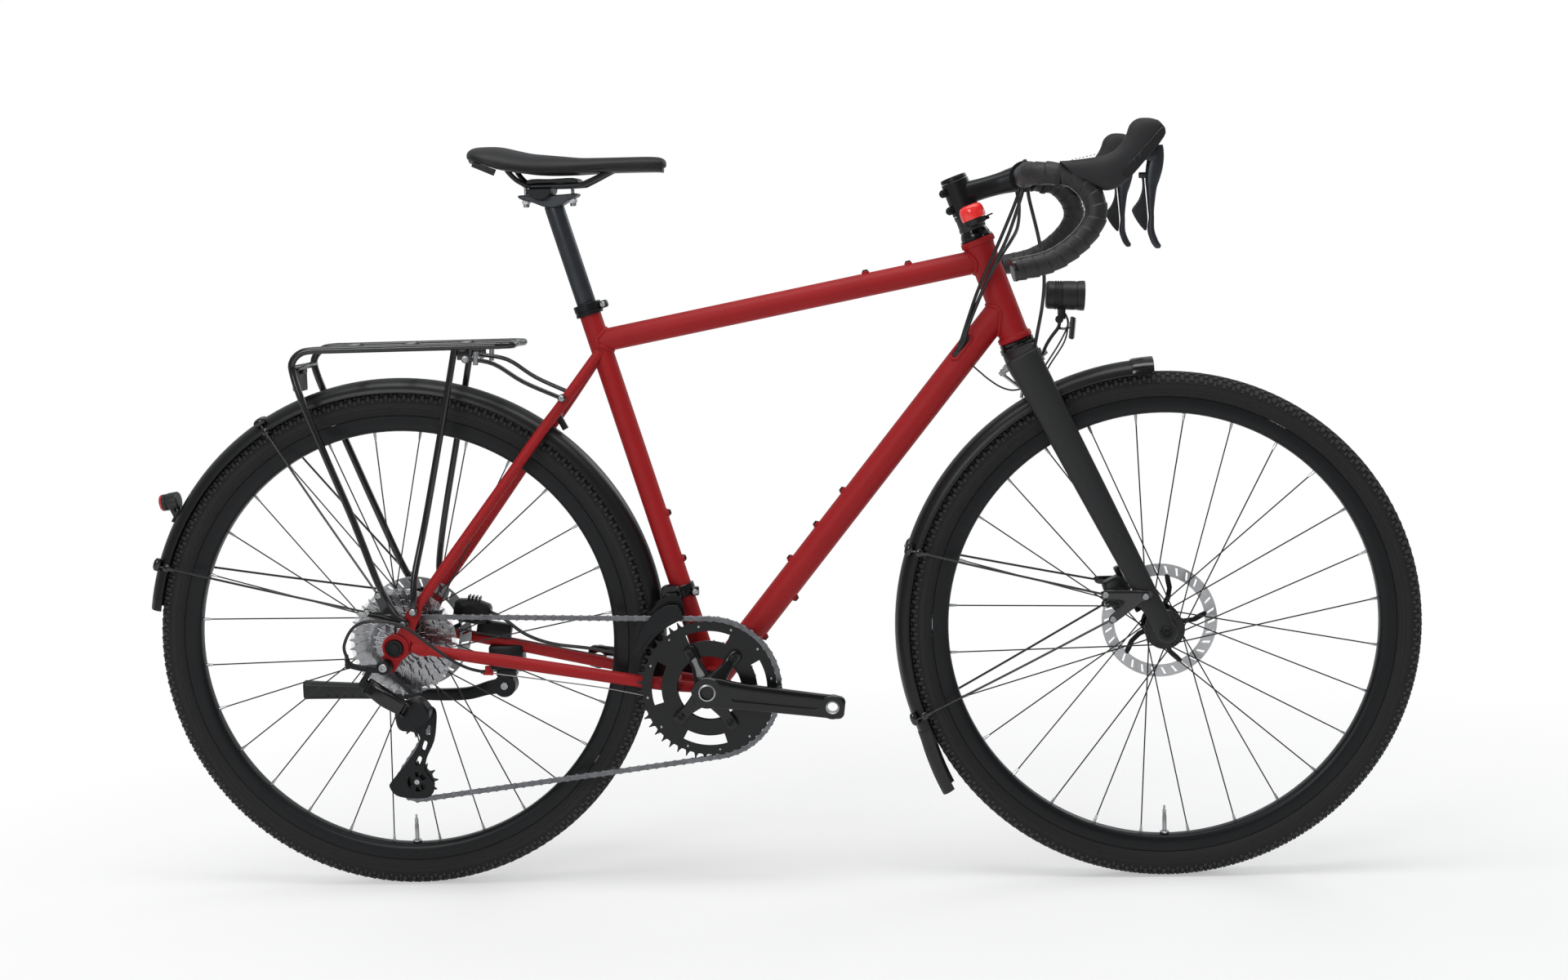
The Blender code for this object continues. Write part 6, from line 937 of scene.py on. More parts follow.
right_end = turned([(0, 0.077), (0.004, 0.077), (0.0044, 0.0796), (0.0062, 0.0796), (0.0066, 0.078),
    (0.0088, 0.078), (0.0092, 0.08), (0.0112, 0.08), (0.0119, 0.0792), (0.0119, 0.072), (0, 0.072)],
    rear_axle, -Y, 44)
settle(joined([left_end, right_end, shaft]), "through_axle_rear", "frame", black_alloy, "rear_thru_axle")

# %% Headset
lower_race = turned([(0.016, 0.4352), (0.0232, 0.4352), (0.0238, 0.4358), (0.0238, 0.4392),
    (0.0228, 0.44), (0.016, 0.44)], steer_foot, steer_up, 56)
crown_ring = turned([(0.016, 0.43), (0.0252, 0.4262), (0.0257, 0.4268), (0.0257, 0.433), (0.0246, 0.434),
    (0.0236, 0.4349), (0.016, 0.4349)], steer_foot, steer_up, 64)
settle(crown_ring, "crown_race_ring", "front_end", gloss_alloy)
upper_race = turned([(0.0155, 0.588), (0.0222, 0.588), (0.0228, 0.5888), (0.0222, 0.5902),
    (0.0205, 0.5906), (0.0205, 0.593), (0.0196, 0.5968), (0.0176, 0.6008), (0.0176, 0.6014),
    (0.0155, 0.6014)], steer_foot, steer_up, 56)
settle(joined([lower_race, upper_race]), "headset_bearings", "frame", gloss_alloy)

# %% [markdown]
# ## Fork
# The fork is moulded: two flat blades flow into the crown without a seam. Separate bars with a
# visible joint would look wrong, so crown and blades are drawn as skins over ovals, melted
# together with a voxel Remesh and relaxed with a Smooth modifier, and the fittings added after.

# %% The moulded fork
crown = on_steerer(0.4127)
fork_run = (front_axle - crown).normalized()
fork_ahead = Vector((-fork_run.z, 0, fork_run.x))
blade_rows = smooth_rows([(-0.02, 0.0225, 0.0105, 0.035), (0.0, 0.0235, 0.0115, 0.0375),
    (0.22, 0.0215, 0.0095, 0.04), (0.5, 0.019, 0.008, 0.0455), (0.78, 0.016, 0.007, 0.052),
    (0.9, 0.0146, 0.0063, 0.0553), (0.97, 0.0145, 0.006, 0.0563), (1.0, 0.0145, 0.006, 0.0563)], 5)
blade = skin([oval(crown.lerp(front_axle, share) - Y * offset, fork_ahead, -Y, half_long, half_wide, 28,
    2.5) for share, half_long, half_wide, offset in blade_rows])
tip = rod(front_axle - Y * 0.0503, front_axle - Y * 0.0623, 0.0145, 36)
shoulder_rows = smooth_rows([(-0.049, 0.022, 0.0475, 3.0), (-0.045, 0.0225, 0.0493, 3.0),
    (-0.03, 0.0238, 0.0485, 2.8), (-0.016, 0.0245, 0.0455, 2.6), (-0.006, 0.0243, 0.033, 2.3),
    (0, 0.0238, 0.0242, 2.0)], 4)
shoulder = skin([oval(on_steerer(0.4327 + height), steer_ahead, -Y, long, wide, 36, power)
    for height, long, wide, power in shoulder_rows])
gate = skin([oval(on_steerer(0.3707 + height), steer_ahead, -Y, 0.08, wide, 24, power)
    for height, wide, power in ((-0.1, 0.0262, 6.0), (0.014, 0.0262, 6.0), (0.022, 0.0215, 4.0),
    (0.027, 0.014, 3.0))])
fork = joined([both_sides(joined([blade, tip])), shoulder])
edit(fork)
bpy.ops.object.mode_set(mode="OBJECT")
melt = fork.modifiers.new("melt", "REMESH")
melt.mode = "VOXEL"
melt.voxel_size = 0.0016
bpy.ops.object.modifier_apply(modifier="melt")
fork = carved(fork, gate)
edit(fork)
bpy.ops.object.mode_set(mode="OBJECT")
relax = fork.modifiers.new("relax", "SMOOTH")
relax.iterations = 8
relax.factor = 0.5
bpy.ops.object.modifier_apply(modifier="relax")
steerer = rod(on_steerer(0.4), on_steerer(0.6688), 0.0142, 32)
settle(joined([fork, steerer]), "moulded_fork", "front_end", black_coat, "fork", smooth=60)
fork_bolts, eyelets = [], []
for height in (0.5952, 0.5392, 0.4822):
    share = (crown.z - height) / (crown.z - front_axle.z)
    face = crown.lerp(front_axle, share) - Y * (0.0477 + 0.021 * (share - 0.37))
    fork_bolts.append(turned([(0, -0.003), (0.0052, -0.003), (0.0052, 0.0022), (0.0046, 0.0032),
        (0.0034, 0.0032), (0.003, 0.0014), (0, 0.0014)], face, -Y, 24))
eyelets.append(rod((1.0335, -0.05, 0.4035), (1.0335, -0.0637, 0.4035), 0.0048, 20))
settle(both_sides(joined(fork_bolts + eyelets)), "fork_bosses", "front_end", grey_alloy)
shaft = turned([(0, -0.0655), (0.0035, -0.0655), (0.0038, -0.0625), (0.0044, -0.0625), (0.0044, -0.066),
    (0.0078, -0.066), (0.0085, -0.0652), (0.0085, -0.0622), (0.0059, -0.062), (0.0059, 0.0612),
    (0, 0.0612)], front_axle, Y, 32)
settle(shaft, "through_axle_front", "front_end", black_alloy, "front_thru_axle")

# %% [markdown]
# ## Stem, bar and tape
# The stem is forged and machined: two clamps and a tapering arm. The bar could be one smooth
# tube, but what the eye sees of a drop bar is its tape, a band wound in a spiral. So a strip
# is drawn as one long skin that winds round the bar's own route and overlaps itself a little.

# %% Stem
bar_centre = Vector((0.87717, 0, 0.96953))
stem_root = on_steerer(0.6518)
stem_run = (bar_centre - stem_root).normalized()
stem_up = Vector((-stem_run.z, 0, stem_run.x))
sleeve = turned([(0.0143, 0.6258), (0.0184, 0.6258), (0.019, 0.6264), (0.019, 0.6708), (0.0183, 0.6716),
    (0.0143, 0.6716)], steer_foot, steer_up, 56)
cap = turned([(0, 0.6722), (0.0178, 0.6722), (0.0183, 0.6728), (0.0183, 0.6758), (0.0172, 0.6778),
    (0.011, 0.6783), (0.01, 0.6772), (0.005, 0.677), (0.0045, 0.675), (0, 0.675)], steer_foot, steer_up,
    48)
arm_rows = [(0.01, 0.015, 0.0165), (0.02, 0.0148, 0.016), (0.036, 0.0142, 0.0148), (0.055, 0.0146, 0.015),
    (0.068, 0.016, 0.0185), (0.078, 0.0172, 0.0215)]
arm = skin([oval(stem_root + stem_run * share, stem_up, Y, high, wide, 32, 2.6)
    for share, high, wide in smooth_rows(arm_rows, 4)])
clamp = turned([(0.016, -0.023), (0.02, -0.023), (0.0207, -0.0222), (0.0207, 0.0222), (0.02, 0.023),
    (0.016, 0.023)], bar_centre, Y, 56)
face_line = [block(bar_centre + stem_run * 0.003 + stem_up * side * 0.02, (0.0016, 0.047, 0.005), stem_up,
    stem_run, 0.0004) for side in (-1, 1)]
ears, bolts = [], []
for lift in (-0.0125, 0.0125):
    spot = on_steerer(0.6488 + lift) - steer_ahead * 0.0205
    ears.append(turned([(0, -0.0115), (0.0048, -0.0115), (0.0054, -0.0108), (0.0054, 0.0108),
        (0.0048, 0.0115), (0, 0.0115)], spot, Y, 32))
    bolts.append(turned([(0, 0.011), (0.0034, 0.011), (0.0034, 0.0122), (0.0028, 0.0126),
        (0.0018, 0.0126), (0.0016, 0.0112), (0, 0.0112)], spot, -Y, 20))
for side in (-1, 1):
    for lift in (-1, 1):
        spot = bar_centre + stem_up * lift * 0.0192 + Y * side * 0.015
        bolts.append(turned([(0, 0.004), (0.003, 0.004), (0.003, 0.008), (0.0024, 0.0084),
            (0.0015, 0.0084), (0.0014, 0.007), (0, 0.007)], spot, stem_run, 20))
# the cut is made before the pieces join, because it can drop an ear that overlaps the sleeve
clamp = carved(clamp, *face_line)
settle(joined([sleeve, arm, clamp, *ears, cap]), "forged_stem", "front_end", black_alloy, "stem")
settle(joined(bolts), "stem_bolts", "front_end", gloss_alloy)

# %% Handlebar and its tape
half_bar = [(0, -0.058, 0), (0, -0.115, 0), (-0.001, -0.168, 0), (0.01, -0.191, -0.001),
    (0.0288, -0.203, -0.002), (0.0544, -0.21, -0.008), (0.0744, -0.214, -0.0293), (0.08, -0.22, -0.0537),
    (0.0688, -0.226, -0.0769), (0.0448, -0.232, -0.0988), (0.016, -0.235, -0.1135),
    (-0.0272, -0.242, -0.122)]
bar_points = [bar_centre + Vector(point) for point in half_bar]
bar_line = smooth_route(bar_points, 12)
bare = turned([(0, -0.06), (0.0119, -0.06), (0.0119, -0.052), (0.0159, -0.038), (0.0159, 0.038),
    (0.0119, 0.052), (0.0119, 0.06), (0, 0.06)], bar_centre, Y, 40)


def even_places(line, step):
    """Points at even steps along a line, each with its direction and the distance gone."""
    places, gone, due = [], 0.0, 0.0
    for start, end in zip(line, line[1:]):
        length = (end - start).length
        while due <= gone + length:
            places.append((start.lerp(end, (due - gone) / length), (end - start).normalized(), due))
            due += step
        gone += length
    return places


def wound_tape(line, inner, outer, turn, step=0.0014, around=28):
    """Tape on a route: each turn starts high on the last one and sinks to the bar at its other edge."""
    rings = []
    side = None
    for centre, way, gone in even_places(line, step):
        side = (side or Z.copy()) - way * (side or Z.copy()).dot(way)
        side.normalize()
        other = way.cross(side)
        ring = []
        for index in range(around):
            angle = math.tau * index / around
            phase = (gone / turn - index / around) % 1.0
            lift = inner + (outer - inner) * (1.0 - 0.75 * phase) * min(1.0, phase * 14.0)
            ring.append(centre + (side * math.cos(angle) + other * math.sin(angle)) * lift)
        rings.append(ring)
    return skin(rings)


tape = wound_tape(bar_line, 0.0132, 0.0153, 0.0165, 0.0011, 32)
fold = [centre + ((way.cross(Y)).normalized() * -0.0139 - Y * 0.0052)
    for centre, way, _ in even_places(bar_line[40:], 0.004)]
fold_line = bent(fold, 0.0006, None, 2)
end = bar_line[-1]
end_way = (bar_line[-1] - bar_line[-2]).normalized()
plug = turned([(0, -0.006), (0.0144, -0.006), (0.0149, -0.003), (0.014, -0.0008), (0.01, 0.0),
    (0.004, -0.0004), (0, -0.0004)], end, end_way, 32)
band = turned([(0.0135, -0.0005), (0.0152, -0.0003), (0.0152, 0.0075), (0.0135, 0.0078)], bar_line[0], -Y,
    36)
settle(bare, "handlebar_middle", "front_end", black_alloy, "handlebar")
settle(both_sides(joined([tape, band])), "bar_tape", "front_end", bar_tape_skin, "handlebar", smooth=50)
settle(both_sides(fold_line), "tape_edge_line", "front_end", tape_edge)
settle(both_sides(plug), "bar_end_plugs", "front_end", gloss_plastic, "handlebar")
print("tape turns", round(sum((b - a).length for a, b in zip(bar_line, bar_line[1:])) / 0.0165))

# %% [markdown]
# ## Hoods, brake levers and shift paddles
# A hood is soft rubber pulled over the lever's bracket, so it is drawn as a skin over ovals that
# follow the hand: flat where the palm lies, then rising into the horn. A wide slot is cut for
# the lever, which the pull of the brake needs.

# %% Hoods
hood_top = [(0.036, 0.0128), (0.05, 0.0133), (0.074, 0.0156), (0.0915, 0.0183), (0.1076, 0.0263),
    (0.1184, 0.0411), (0.124, 0.055), (0.134, 0.0624), (0.148, 0.0628), (0.158, 0.0602)]
hood_foot = [(0.06, -0.0125), (0.079, -0.0215), (0.0928, -0.0258), (0.108, -0.0225), (0.123, -0.011),
    (0.139, 0.005), (0.152, 0.02), (0.161, 0.031), (0.1665, 0.04), (0.168, 0.0485)]
hood_half = [0.014, 0.016, 0.0168, 0.0168, 0.0164, 0.0165, 0.0166, 0.0163, 0.015, 0.0122]


def at_hood(offset, y=-0.212):
    """A point given forward and up from the bar's middle, on the right hood's plane."""
    return Vector((bar_centre.x + offset[0], y, bar_centre.z + offset[1]))


rows = smooth_rows([(*a, *b, c) for a, b, c in zip(hood_top, hood_foot, hood_half)], 4)
rings = []
for tx, tz, fx, fz, half in rows:
    high, low = at_hood((tx, tz)), at_hood((fx, fz))
    rings.append(oval((high + low) / 2, ((high - low) / 2).normalized(), Y, (high - low).length / 2, half,
        32, 2.5))
hood = skin(rings)
out_way, along_way = Vector((0.7071, 0, -0.7071)), Vector((0.7071, 0, 0.7071))
lever_pivot = at_hood((0.149, 0.017))
slot_room = block(lever_pivot + out_way * 0.01 - along_way * 0.0105, (0.051, 0.0136, 0.04), out_way,
    along_way, 0.0012)
front_part = [point for point in bar_line
    if point.x > bar_centre.x + 0.008 and point.z > bar_centre.z - 0.08]
passage = bent(front_part, 0.0152, None, 4)
hood = carved(hood, passage, slot_room)
ribs = copied(block((0, 0, 0), (0.001, 0.02, 0.0008), Z, X, 0.0003),
    [Matrix.Translation(at_hood((0.052 + 0.0046 * n, 0.014 + 0.0009 * n))) @ Matrix.Rotation(-0.1, 4, "Y")
    for n in range(7)])
cuff = turned([(0.015, -0.003), (0.0163, -0.003), (0.0166, 0.0), (0.016, 0.003), (0.015, 0.003)],
    bar_points[4] + (bar_points[5] - bar_points[4]) * 0.35, bar_points[5] - bar_points[4], 32)
pair_up(joined([hood, ribs, cuff]), ("right_rubber_hood", "left_rubber_hood"), ("front_end", "front_end"),
    black_rubber, ("right_hood", "left_hood"), smooth=45)
badge_plate = plate([(bar_centre.x + x, bar_centre.z + z)
    for x, z in rounded([(0.119, -0.012), (0.1165, 0.001), (0.13, 0.016), (0.148, 0.035), (0.1625, 0.05),
    (0.167, 0.043), (0.159, 0.03), (0.144, 0.013), (0.129, -0.004)], 3)], 0.003, -0.2275, (), 0.0006)
pins = [rod(at_hood(spot, -0.228), at_hood(spot, -0.2297), radius, 20)
    for spot, radius in (((0.1345, 0.0165), 0.003), ((0.1278, 0.0105), 0.0022))]
settle(both_sides(badge_plate), "bracket_covers", "front_end", black_plastic)
settle(both_sides(joined(pins)), "bracket_pins", "front_end", grey_alloy)
print("hood skins", len(rows), "rings")

# %% Brake levers and paddles
blade_rows = smooth_rows([(0.159, 0.029, 0.006, 0.0056), (0.157, 0.022, 0.009, 0.006),
    (0.1555, 0.011, 0.0105, 0.0063), (0.1535, -0.002, 0.0105, 0.0063), (0.1513, -0.015, 0.0088, 0.006),
    (0.15, -0.026, 0.0065, 0.0056), (0.1493, -0.05, 0.004, 0.005), (0.1496, -0.061, 0.0035, 0.0048),
    (0.1489, -0.077, 0.0045, 0.005), (0.153, -0.09, 0.005, 0.0048), (0.1563, -0.0962, 0.005, 0.0046),
    (0.1573, -0.1, 0.0026, 0.0028)], 4)
blade = skin([oval(at_hood((x, z)), X, Y, long, wide, 24, 2.2) for x, z, long, wide in blade_rows])
lever_head = rod(lever_pivot - Y * 0.0065, lever_pivot + Y * 0.0065, 0.008, 28)
paddle_rows = smooth_rows([(0.136, 0.141, -0.0045), (0.1385, 0.1416, -0.015), (0.138, 0.1424, -0.027),
    (0.1335, 0.1434, -0.039), (0.1268, 0.1442, -0.048), (0.1256, 0.1445, -0.053), (0.13, 0.145, -0.0625),
    (0.136, 0.1444, -0.0715), (0.1408, 0.1434, -0.077)], 4)
paddle = skin([oval(at_hood(((back + front) / 2, z)), X, Y, (front - back) / 2,
    0.0015 + 0.0005 * math.sin(n * 0.2), 20, 3.0) for n, (back, front, z) in enumerate(paddle_rows)])
knuckle = rod(at_hood((0.1345, -0.008)), at_hood((0.1457, -0.008)), 0.0037, 20)
pair_up(joined([blade, lever_head]), ("right_brake_blade", "left_brake_blade"),
    ("right_brake", "left_brake"), grey_alloy, ("right_brake_lever", "left_brake_lever"), smooth=50)
pair_up(joined([paddle, knuckle]), ("right_shift_paddle", "left_shift_paddle"),
    ("right_shift", "left_shift"), black_plastic, ("right_shift_lever", "left_shift_lever"), smooth=50)

# %% [markdown]
# ## Bell, headlight and cables
# The bell is a pressed and lacquered dome over a nylon base. The lamp is a cast can whose rear
# third is knurled: a turned body with small studs, a clear front and a bent wire holder.
# Housings hang in the curves that their stiffness gives them, down to the port.

# %% Bell


def at_bell(forward, height, y=-0.0375):
    """A point given forward and up from the bell's foot on the steering axis."""
    return on_steerer(0.6115 + height) + steer_ahead * forward + Vector((0, y, 0))


arc_rows = smooth_rows([(0.0165, 0.0032), (0.0168, 0.0075), (0.0168, 0.0125), (0.016, 0.0175),
    (0.0141, 0.0207), (0.0106, 0.0225), (0.0055, 0.0231), (0.0, 0.0232)], 4)
shell = [tuple(row) for row in arc_rows]
inner_wall = [(max(0.0, r - 0.0008), h - 0.0004) for r, h in reversed(shell)]
dome = turned(shell + inner_wall[:-1] + [(0.0156, 0.0032)], at_bell(0.006, 0), steer_up, 64)
settle(dome, "bell_dome", "front_end", bell_red, "bell", smooth=60)
base = turned([(0, -0.005), (0.0128, -0.005), (0.0142, -0.0044), (0.0146, -0.002), (0.015, 0.0012),
    (0.015, 0.0028), (0, 0.0028)], at_bell(0.006, 0), steer_up, 56)
ring = turned([(0.0143, 0.6016), (0.0182, 0.6016), (0.0186, 0.6026), (0.0186, 0.6062), (0.0178, 0.607),
    (0.0178, 0.619), (0.0186, 0.6198), (0.0186, 0.6244), (0.018, 0.6254), (0.0143, 0.6254)], steer_foot,
    steer_up, 56)
bell_frame = Matrix.Translation(at_bell(0.006, 0)) @ axes_at((0, 0, 0), steer_up)
ribs = copied(block((0, 0, 0), (0.0016, 0.0016, 0.0062), Z, X, 0.0003),
    [bell_frame @ Matrix.Rotation(math.radians(15 * n), 4, "Z")
    @ Matrix.Translation((0.0146, 0, -0.0008)) for n in range(24)])
bridge = block(at_bell(0.004, -0.0015, -0.0235), (0.016, 0.015, 0.006), steer_up, steer_ahead, 0.0014)
settle(joined([base, ring, bridge, ribs]), "bell_base_and_ring", "front_end", black_plastic, "bell")
post = rod(at_bell(0.0235, -0.004), at_bell(0.0235, 0.0015), 0.0021, 16)
thumb = block(at_bell(0.0275, 0.0008, -0.0405), (0.0078, 0.0088, 0.0021), steer_up, steer_ahead, 0.0008)
settle(joined([post, thumb]), "bell_thumb_striker", "striker", black_plastic, "bell_striker")

# %% Headlight
lamp_pivot, lamp_middle = Vector((0.9215, 0, 0.7755)), Vector((0.93, 0, 0.808))
tilt = math.radians(-3.0)
lamp_way = Vector((math.cos(tilt), 0, math.sin(tilt)))
profile = [(0, -0.0262), (0.016, -0.0262), (0.0175, -0.0254), (0.0184, -0.024)]
profile += [(0.019, -0.023), (0.019, -0.0155), (0.0186, -0.015), (0.0186, -0.0046), (0.0194, -0.004),
    (0.0197, 0.006), (0.0196, 0.0145), (0.0191, 0.015), (0.0191, 0.0158), (0.0198, 0.0163),
    (0.0204, 0.0225), (0.0202, 0.0258), (0.0188, 0.0262), (0.0178, 0.0255), (0.0172, 0.015),
    (0.008, 0.002), (0, 0.0008)]
can = turned(profile, lamp_middle, lamp_way, 64)
knurls = copied(block((0, 0, 0), (0.002, 0.0022, 0.0021), Z, X, 0.0004),
    [axes_at(lamp_middle, lamp_way) @ Matrix.Rotation(math.radians(10 * n + 5 * row), 4, "Z")
    @ Matrix.Translation((0.0186, 0, -0.0132 + 0.0034 * row)) for n in range(36) for row in range(3)])
lug = block((lamp_pivot + lamp_middle) / 2 + Vector((-0.001, 0, -0.008)), (0.0105, 0.0098, 0.016), Z, X,
    0.0012)
eye = rod(lamp_pivot - Y * 0.005, lamp_pivot + Y * 0.005, 0.0054, 24)
settle(joined([can, lug, eye, knurls]), "headlight_can", "lamp", matt_cast, "headlight", smooth=30)
glass = turned([(0, 0.0232), (0.006, 0.0234), (0.0176, 0.0228), (0.0178, 0.024), (0.012, 0.0252),
    (0, 0.0256)], lamp_middle, lamp_way, 48)
settle(glass, "headlight_glass", "lamp", clear_lens, "headlight")
mirror = turned([(0, 0.0012), (0.008, 0.0022), (0.014, 0.0085), (0.017, 0.015), (0.0168, 0.0154),
    (0.0136, 0.0092), (0.0076, 0.003), (0, 0.002)], lamp_middle, lamp_way, 40)
settle(mirror, "headlight_mirror", "lamp", bright_steel)
crown_front = on_steerer(0.41) + steer_ahead * 0.0232
foot = crown_front + steer_ahead * 0.0025
wires = []
for side in (-1, 1):
    route = [foot + Vector((0, side * 0.006, -0.002)), foot + Vector((0.004, side * 0.008, 0.006)),
        foot + Vector((0.008, side * 0.0088, 0.014)), lamp_pivot + Vector((-0.01, side * 0.0095, -0.022)),
        lamp_pivot + Vector((-0.001, side * 0.0095, -0.01)),
        lamp_pivot + Vector((0, side * 0.0095, 0.0005))]
    wires.append(bent(smooth_route(route, 6), 0.0018, None, 3))
wires.append(rod(lamp_pivot - Y * 0.0125, lamp_pivot + Y * 0.0125, 0.002, 16))
foot_plate = block(foot, (0.003, 0.0158, 0.0178), steer_up, steer_ahead, 0.0006)
nut = turned([(0, 0.001), (0.0045, 0.001), (0.0045, 0.0048), (0.003, 0.0052), (0.003, 0.0082),
    (0, 0.0085)], foot, steer_ahead, 6)
back_nut = turned([(0, 0), (0.005, 0), (0.005, 0.0034), (0.003, 0.0038), (0.003, 0.006), (0, 0.0062)],
    on_steerer(0.41) - steer_ahead * 0.0242, -steer_ahead, 6)
hinge_nut = turned([(0, 0.0108), (0.0042, 0.0108), (0.0042, 0.0126), (0, 0.0128)], lamp_pivot, -Y, 6)
hinge_head = turned([(0, 0.0108), (0.004, 0.0108), (0.0036, 0.0126), (0, 0.0129)], lamp_pivot, Y, 24)
strap = bent(smooth_route([lamp_pivot + Vector((-0.001, 0, -0.0115)),
    lamp_pivot + Vector((0.006, 0, -0.013)), lamp_pivot + Vector((0.0135, 0, -0.0105)),
    lamp_pivot + Vector((0.0155, 0, -0.004))], 5), 0.0018, None, 3)
cross = rod(lamp_pivot + Vector((0, -0.01, -0.0115)), lamp_pivot + Vector((0, 0.01, -0.0115)), 0.0019, 16)
settle(joined([*wires, cross, hinge_nut, hinge_head]), "lamp_holder", "front_end", dark_wire,
    "headlight_bracket")
settle(joined([nut, back_nut, foot_plate, strap]), "lamp_holder_bolts", "front_end", bright_steel,
    "headlight_bracket")
lean = Vector((0.1, 0, 1)).normalized()
board = block(lamp_pivot + Vector((0.017, 0, -0.012)), (0.0052, 0.03, 0.03), lean, X, 0.0012)
settle(board, "reflector_back", "front_end", black_plastic)
facet = block(lamp_pivot + Vector((0.02, 0, -0.0122)), (0.0018, 0.028, 0.028), lean, X, 0.0006)
settle(facet, "front_reflector", "front_end", clear_reflector)

# %% Housings
under = 0.95393


def port_mouth(s, d):
    """The last three points of a housing, inside the port."""
    return [(0.7905 + s, -0.019 - 0.4 * s, 0.754 - 0.6 * s), (0.785 + 0.7 * s, -0.0148, 0.7405 - 0.5 * s),
        (0.7785 + 0.5 * s, -0.0075, 0.7265 + d)]


housing_routes = [[(0.868, -0.064, under), (0.864, -0.062, 0.938), (0.842, -0.044, 0.886),
    (0.813, -0.033, 0.823), (0.7965, -0.0265, 0.778), *port_mouth(-0.0016, 0)],
    [(0.873, -0.069, under), (0.869, -0.067, 0.938), (0.852, -0.052, 0.89), (0.829, -0.0365, 0.843),
    (0.803, -0.0255, 0.786), *port_mouth(0.0017, 0.0021)], [(0.869, 0.064, under), (0.872, 0.052, 0.93),
    (0.868, 0.022, 0.902), (0.857, -0.008, 0.883), (0.844, -0.024, 0.865), (0.826, -0.03, 0.835),
    (0.8065, -0.032, 0.793), *port_mouth(0.0003, 0.0043)]]
housings = joined([bent(smooth_route(route, 7), 0.0024, None, 4) for route in housing_routes])
settle(housings, "cable_housings", "front_end", cable_skin, "control_cables", smooth=60)
hose_route = [(0.879, -0.074, under), (0.8805, -0.0725, 0.938), (0.893, -0.062, 0.884),
    (0.8995, -0.048, 0.838), (0.8975, -0.035, 0.799), (0.8905, -0.0255, 0.76), (0.886, -0.022, 0.737)]
settle(bent(smooth_route(hose_route, 7), 0.0024, None, 4), "front_hose", "front_end", cable_skin,
    "front_brake_hose", smooth=60)
print("front end drawn")

# %% [markdown]
# ## Saddle and seatpost
# The cover is one piece of coated fabric stretched over foam and glued under the rim of a nylon
# shell. It is drawn as a skin through rounded cross-sections, close together at both ends,
# where the shape closes like a boat's. The foam gives under a finger. The rails are one bent
# wire, held by a two-bolt cradle.

# %% Saddle
tail_x, saddle_top = 0.1211, 1.013
saddle_rows = smooth_rows([(0.0, 0.024, 0.013, 0.004, 0.005), (0.0025, 0.04, 0.0158, 0.009, 0.0095),
    (0.011, 0.06, 0.019, 0.014, 0.015), (0.0275, 0.0708, 0.0197, 0.017, 0.0215),
    (0.0458, 0.0728, 0.0185, 0.018, 0.027), (0.0661, 0.07, 0.0135, 0.017, 0.0258),
    (0.0864, 0.0628, 0.0088, 0.016, 0.0238), (0.1068, 0.0512, 0.0063, 0.015, 0.0226),
    (0.1271, 0.0409, 0.004, 0.014, 0.0198), (0.1526, 0.0315, 0.0012, 0.013, 0.0152),
    (0.1729, 0.0266, 0.0006, 0.012, 0.0131), (0.1983, 0.0236, 0.0003, 0.011, 0.0118),
    (0.2237, 0.0214, 0.0001, 0.01, 0.0117), (0.2441, 0.0202, -0.0002, 0.0098, 0.0116),
    (0.2583, 0.018, -0.0012, 0.009, 0.0106), (0.2654, 0.014, -0.0034, 0.007, 0.0082),
    (0.2687, 0.008, -0.0062, 0.004, 0.005), (0.2695, 0.002, -0.008, 0.001, 0.002)], 4)


def saddle_ring(reach, half, top, under, sag, inset=0.0, lower=0.0):
    """One cross-section of the saddle: a crowned top over a tucked lower side."""
    ring = []
    middle = saddle_top + top - sag
    for index in range(48):
        c, s = math.cos(math.tau * index / 48), math.sin(math.tau * index / 48)
        if s > 0:
            rise = sag * abs(s) ** 0.95
        else:
            rise = -(0.0045 + lower) * min(1.0, half / 0.01) * abs(s) ** 0.35
        ring.append(Vector((tail_x + reach, (half - inset) * math.copysign(abs(c) ** 0.86, c),
            middle + rise - lower * 0.4)))
    return ring


cover = skin([saddle_ring(*row) for row in saddle_rows])
settle(cover, "saddle_cover", "seat", saddle_skin, "saddle", smooth=60)
shell = skin([saddle_ring(row[0], row[1], row[2] - 0.003, row[3], row[4] * 0.6, min(0.0035, row[1] * 0.4),
    0.005) for row in saddle_rows[6:-8]])
settle(shell, "saddle_shell", "seat", black_plastic, "saddle", smooth=50)
right_rail = [(0.175, -0.0385, 1.006), (0.179, -0.0365, 0.997), (0.19, -0.03, 0.985),
    (0.204, -0.022, 0.9778), (0.214, -0.022, 0.9768), (0.269, -0.022, 0.9768), (0.283, -0.0205, 0.98),
    (0.32, -0.0105, 0.9965), (0.34, -0.004, 1.001)]
rail_points = [Vector(place) for place in right_rail]
rail_points += [Vector((p.x, -p.y, p.z)) for p in reversed(rail_points)]
settle(bent(smooth_route(rail_points, 5), 0.0035, None, 5), "saddle_rail_wire", "seat", dark_wire,
    "saddle_rails", smooth=60)

# %% Seatpost and its cradle
post_top = on_seat_tube(0.7)
cradle_middle = post_top + Vector((-0.0045, 0, 0.0068))
post = turned([(0, 0.444), (0.0131, 0.444), (0.0134, 0.4445), (0.0134, 0.69), (0.0131, 0.6965),
    (0.011, 0.7), (0, 0.7005)], bracket, seat_up, 56)


def in_cradle(points):
    """A rounded outline given from the middle of the seatpost's cradle."""
    return rounded([(cradle_middle.x + x, cradle_middle.z + z) for x, z in points], 3)


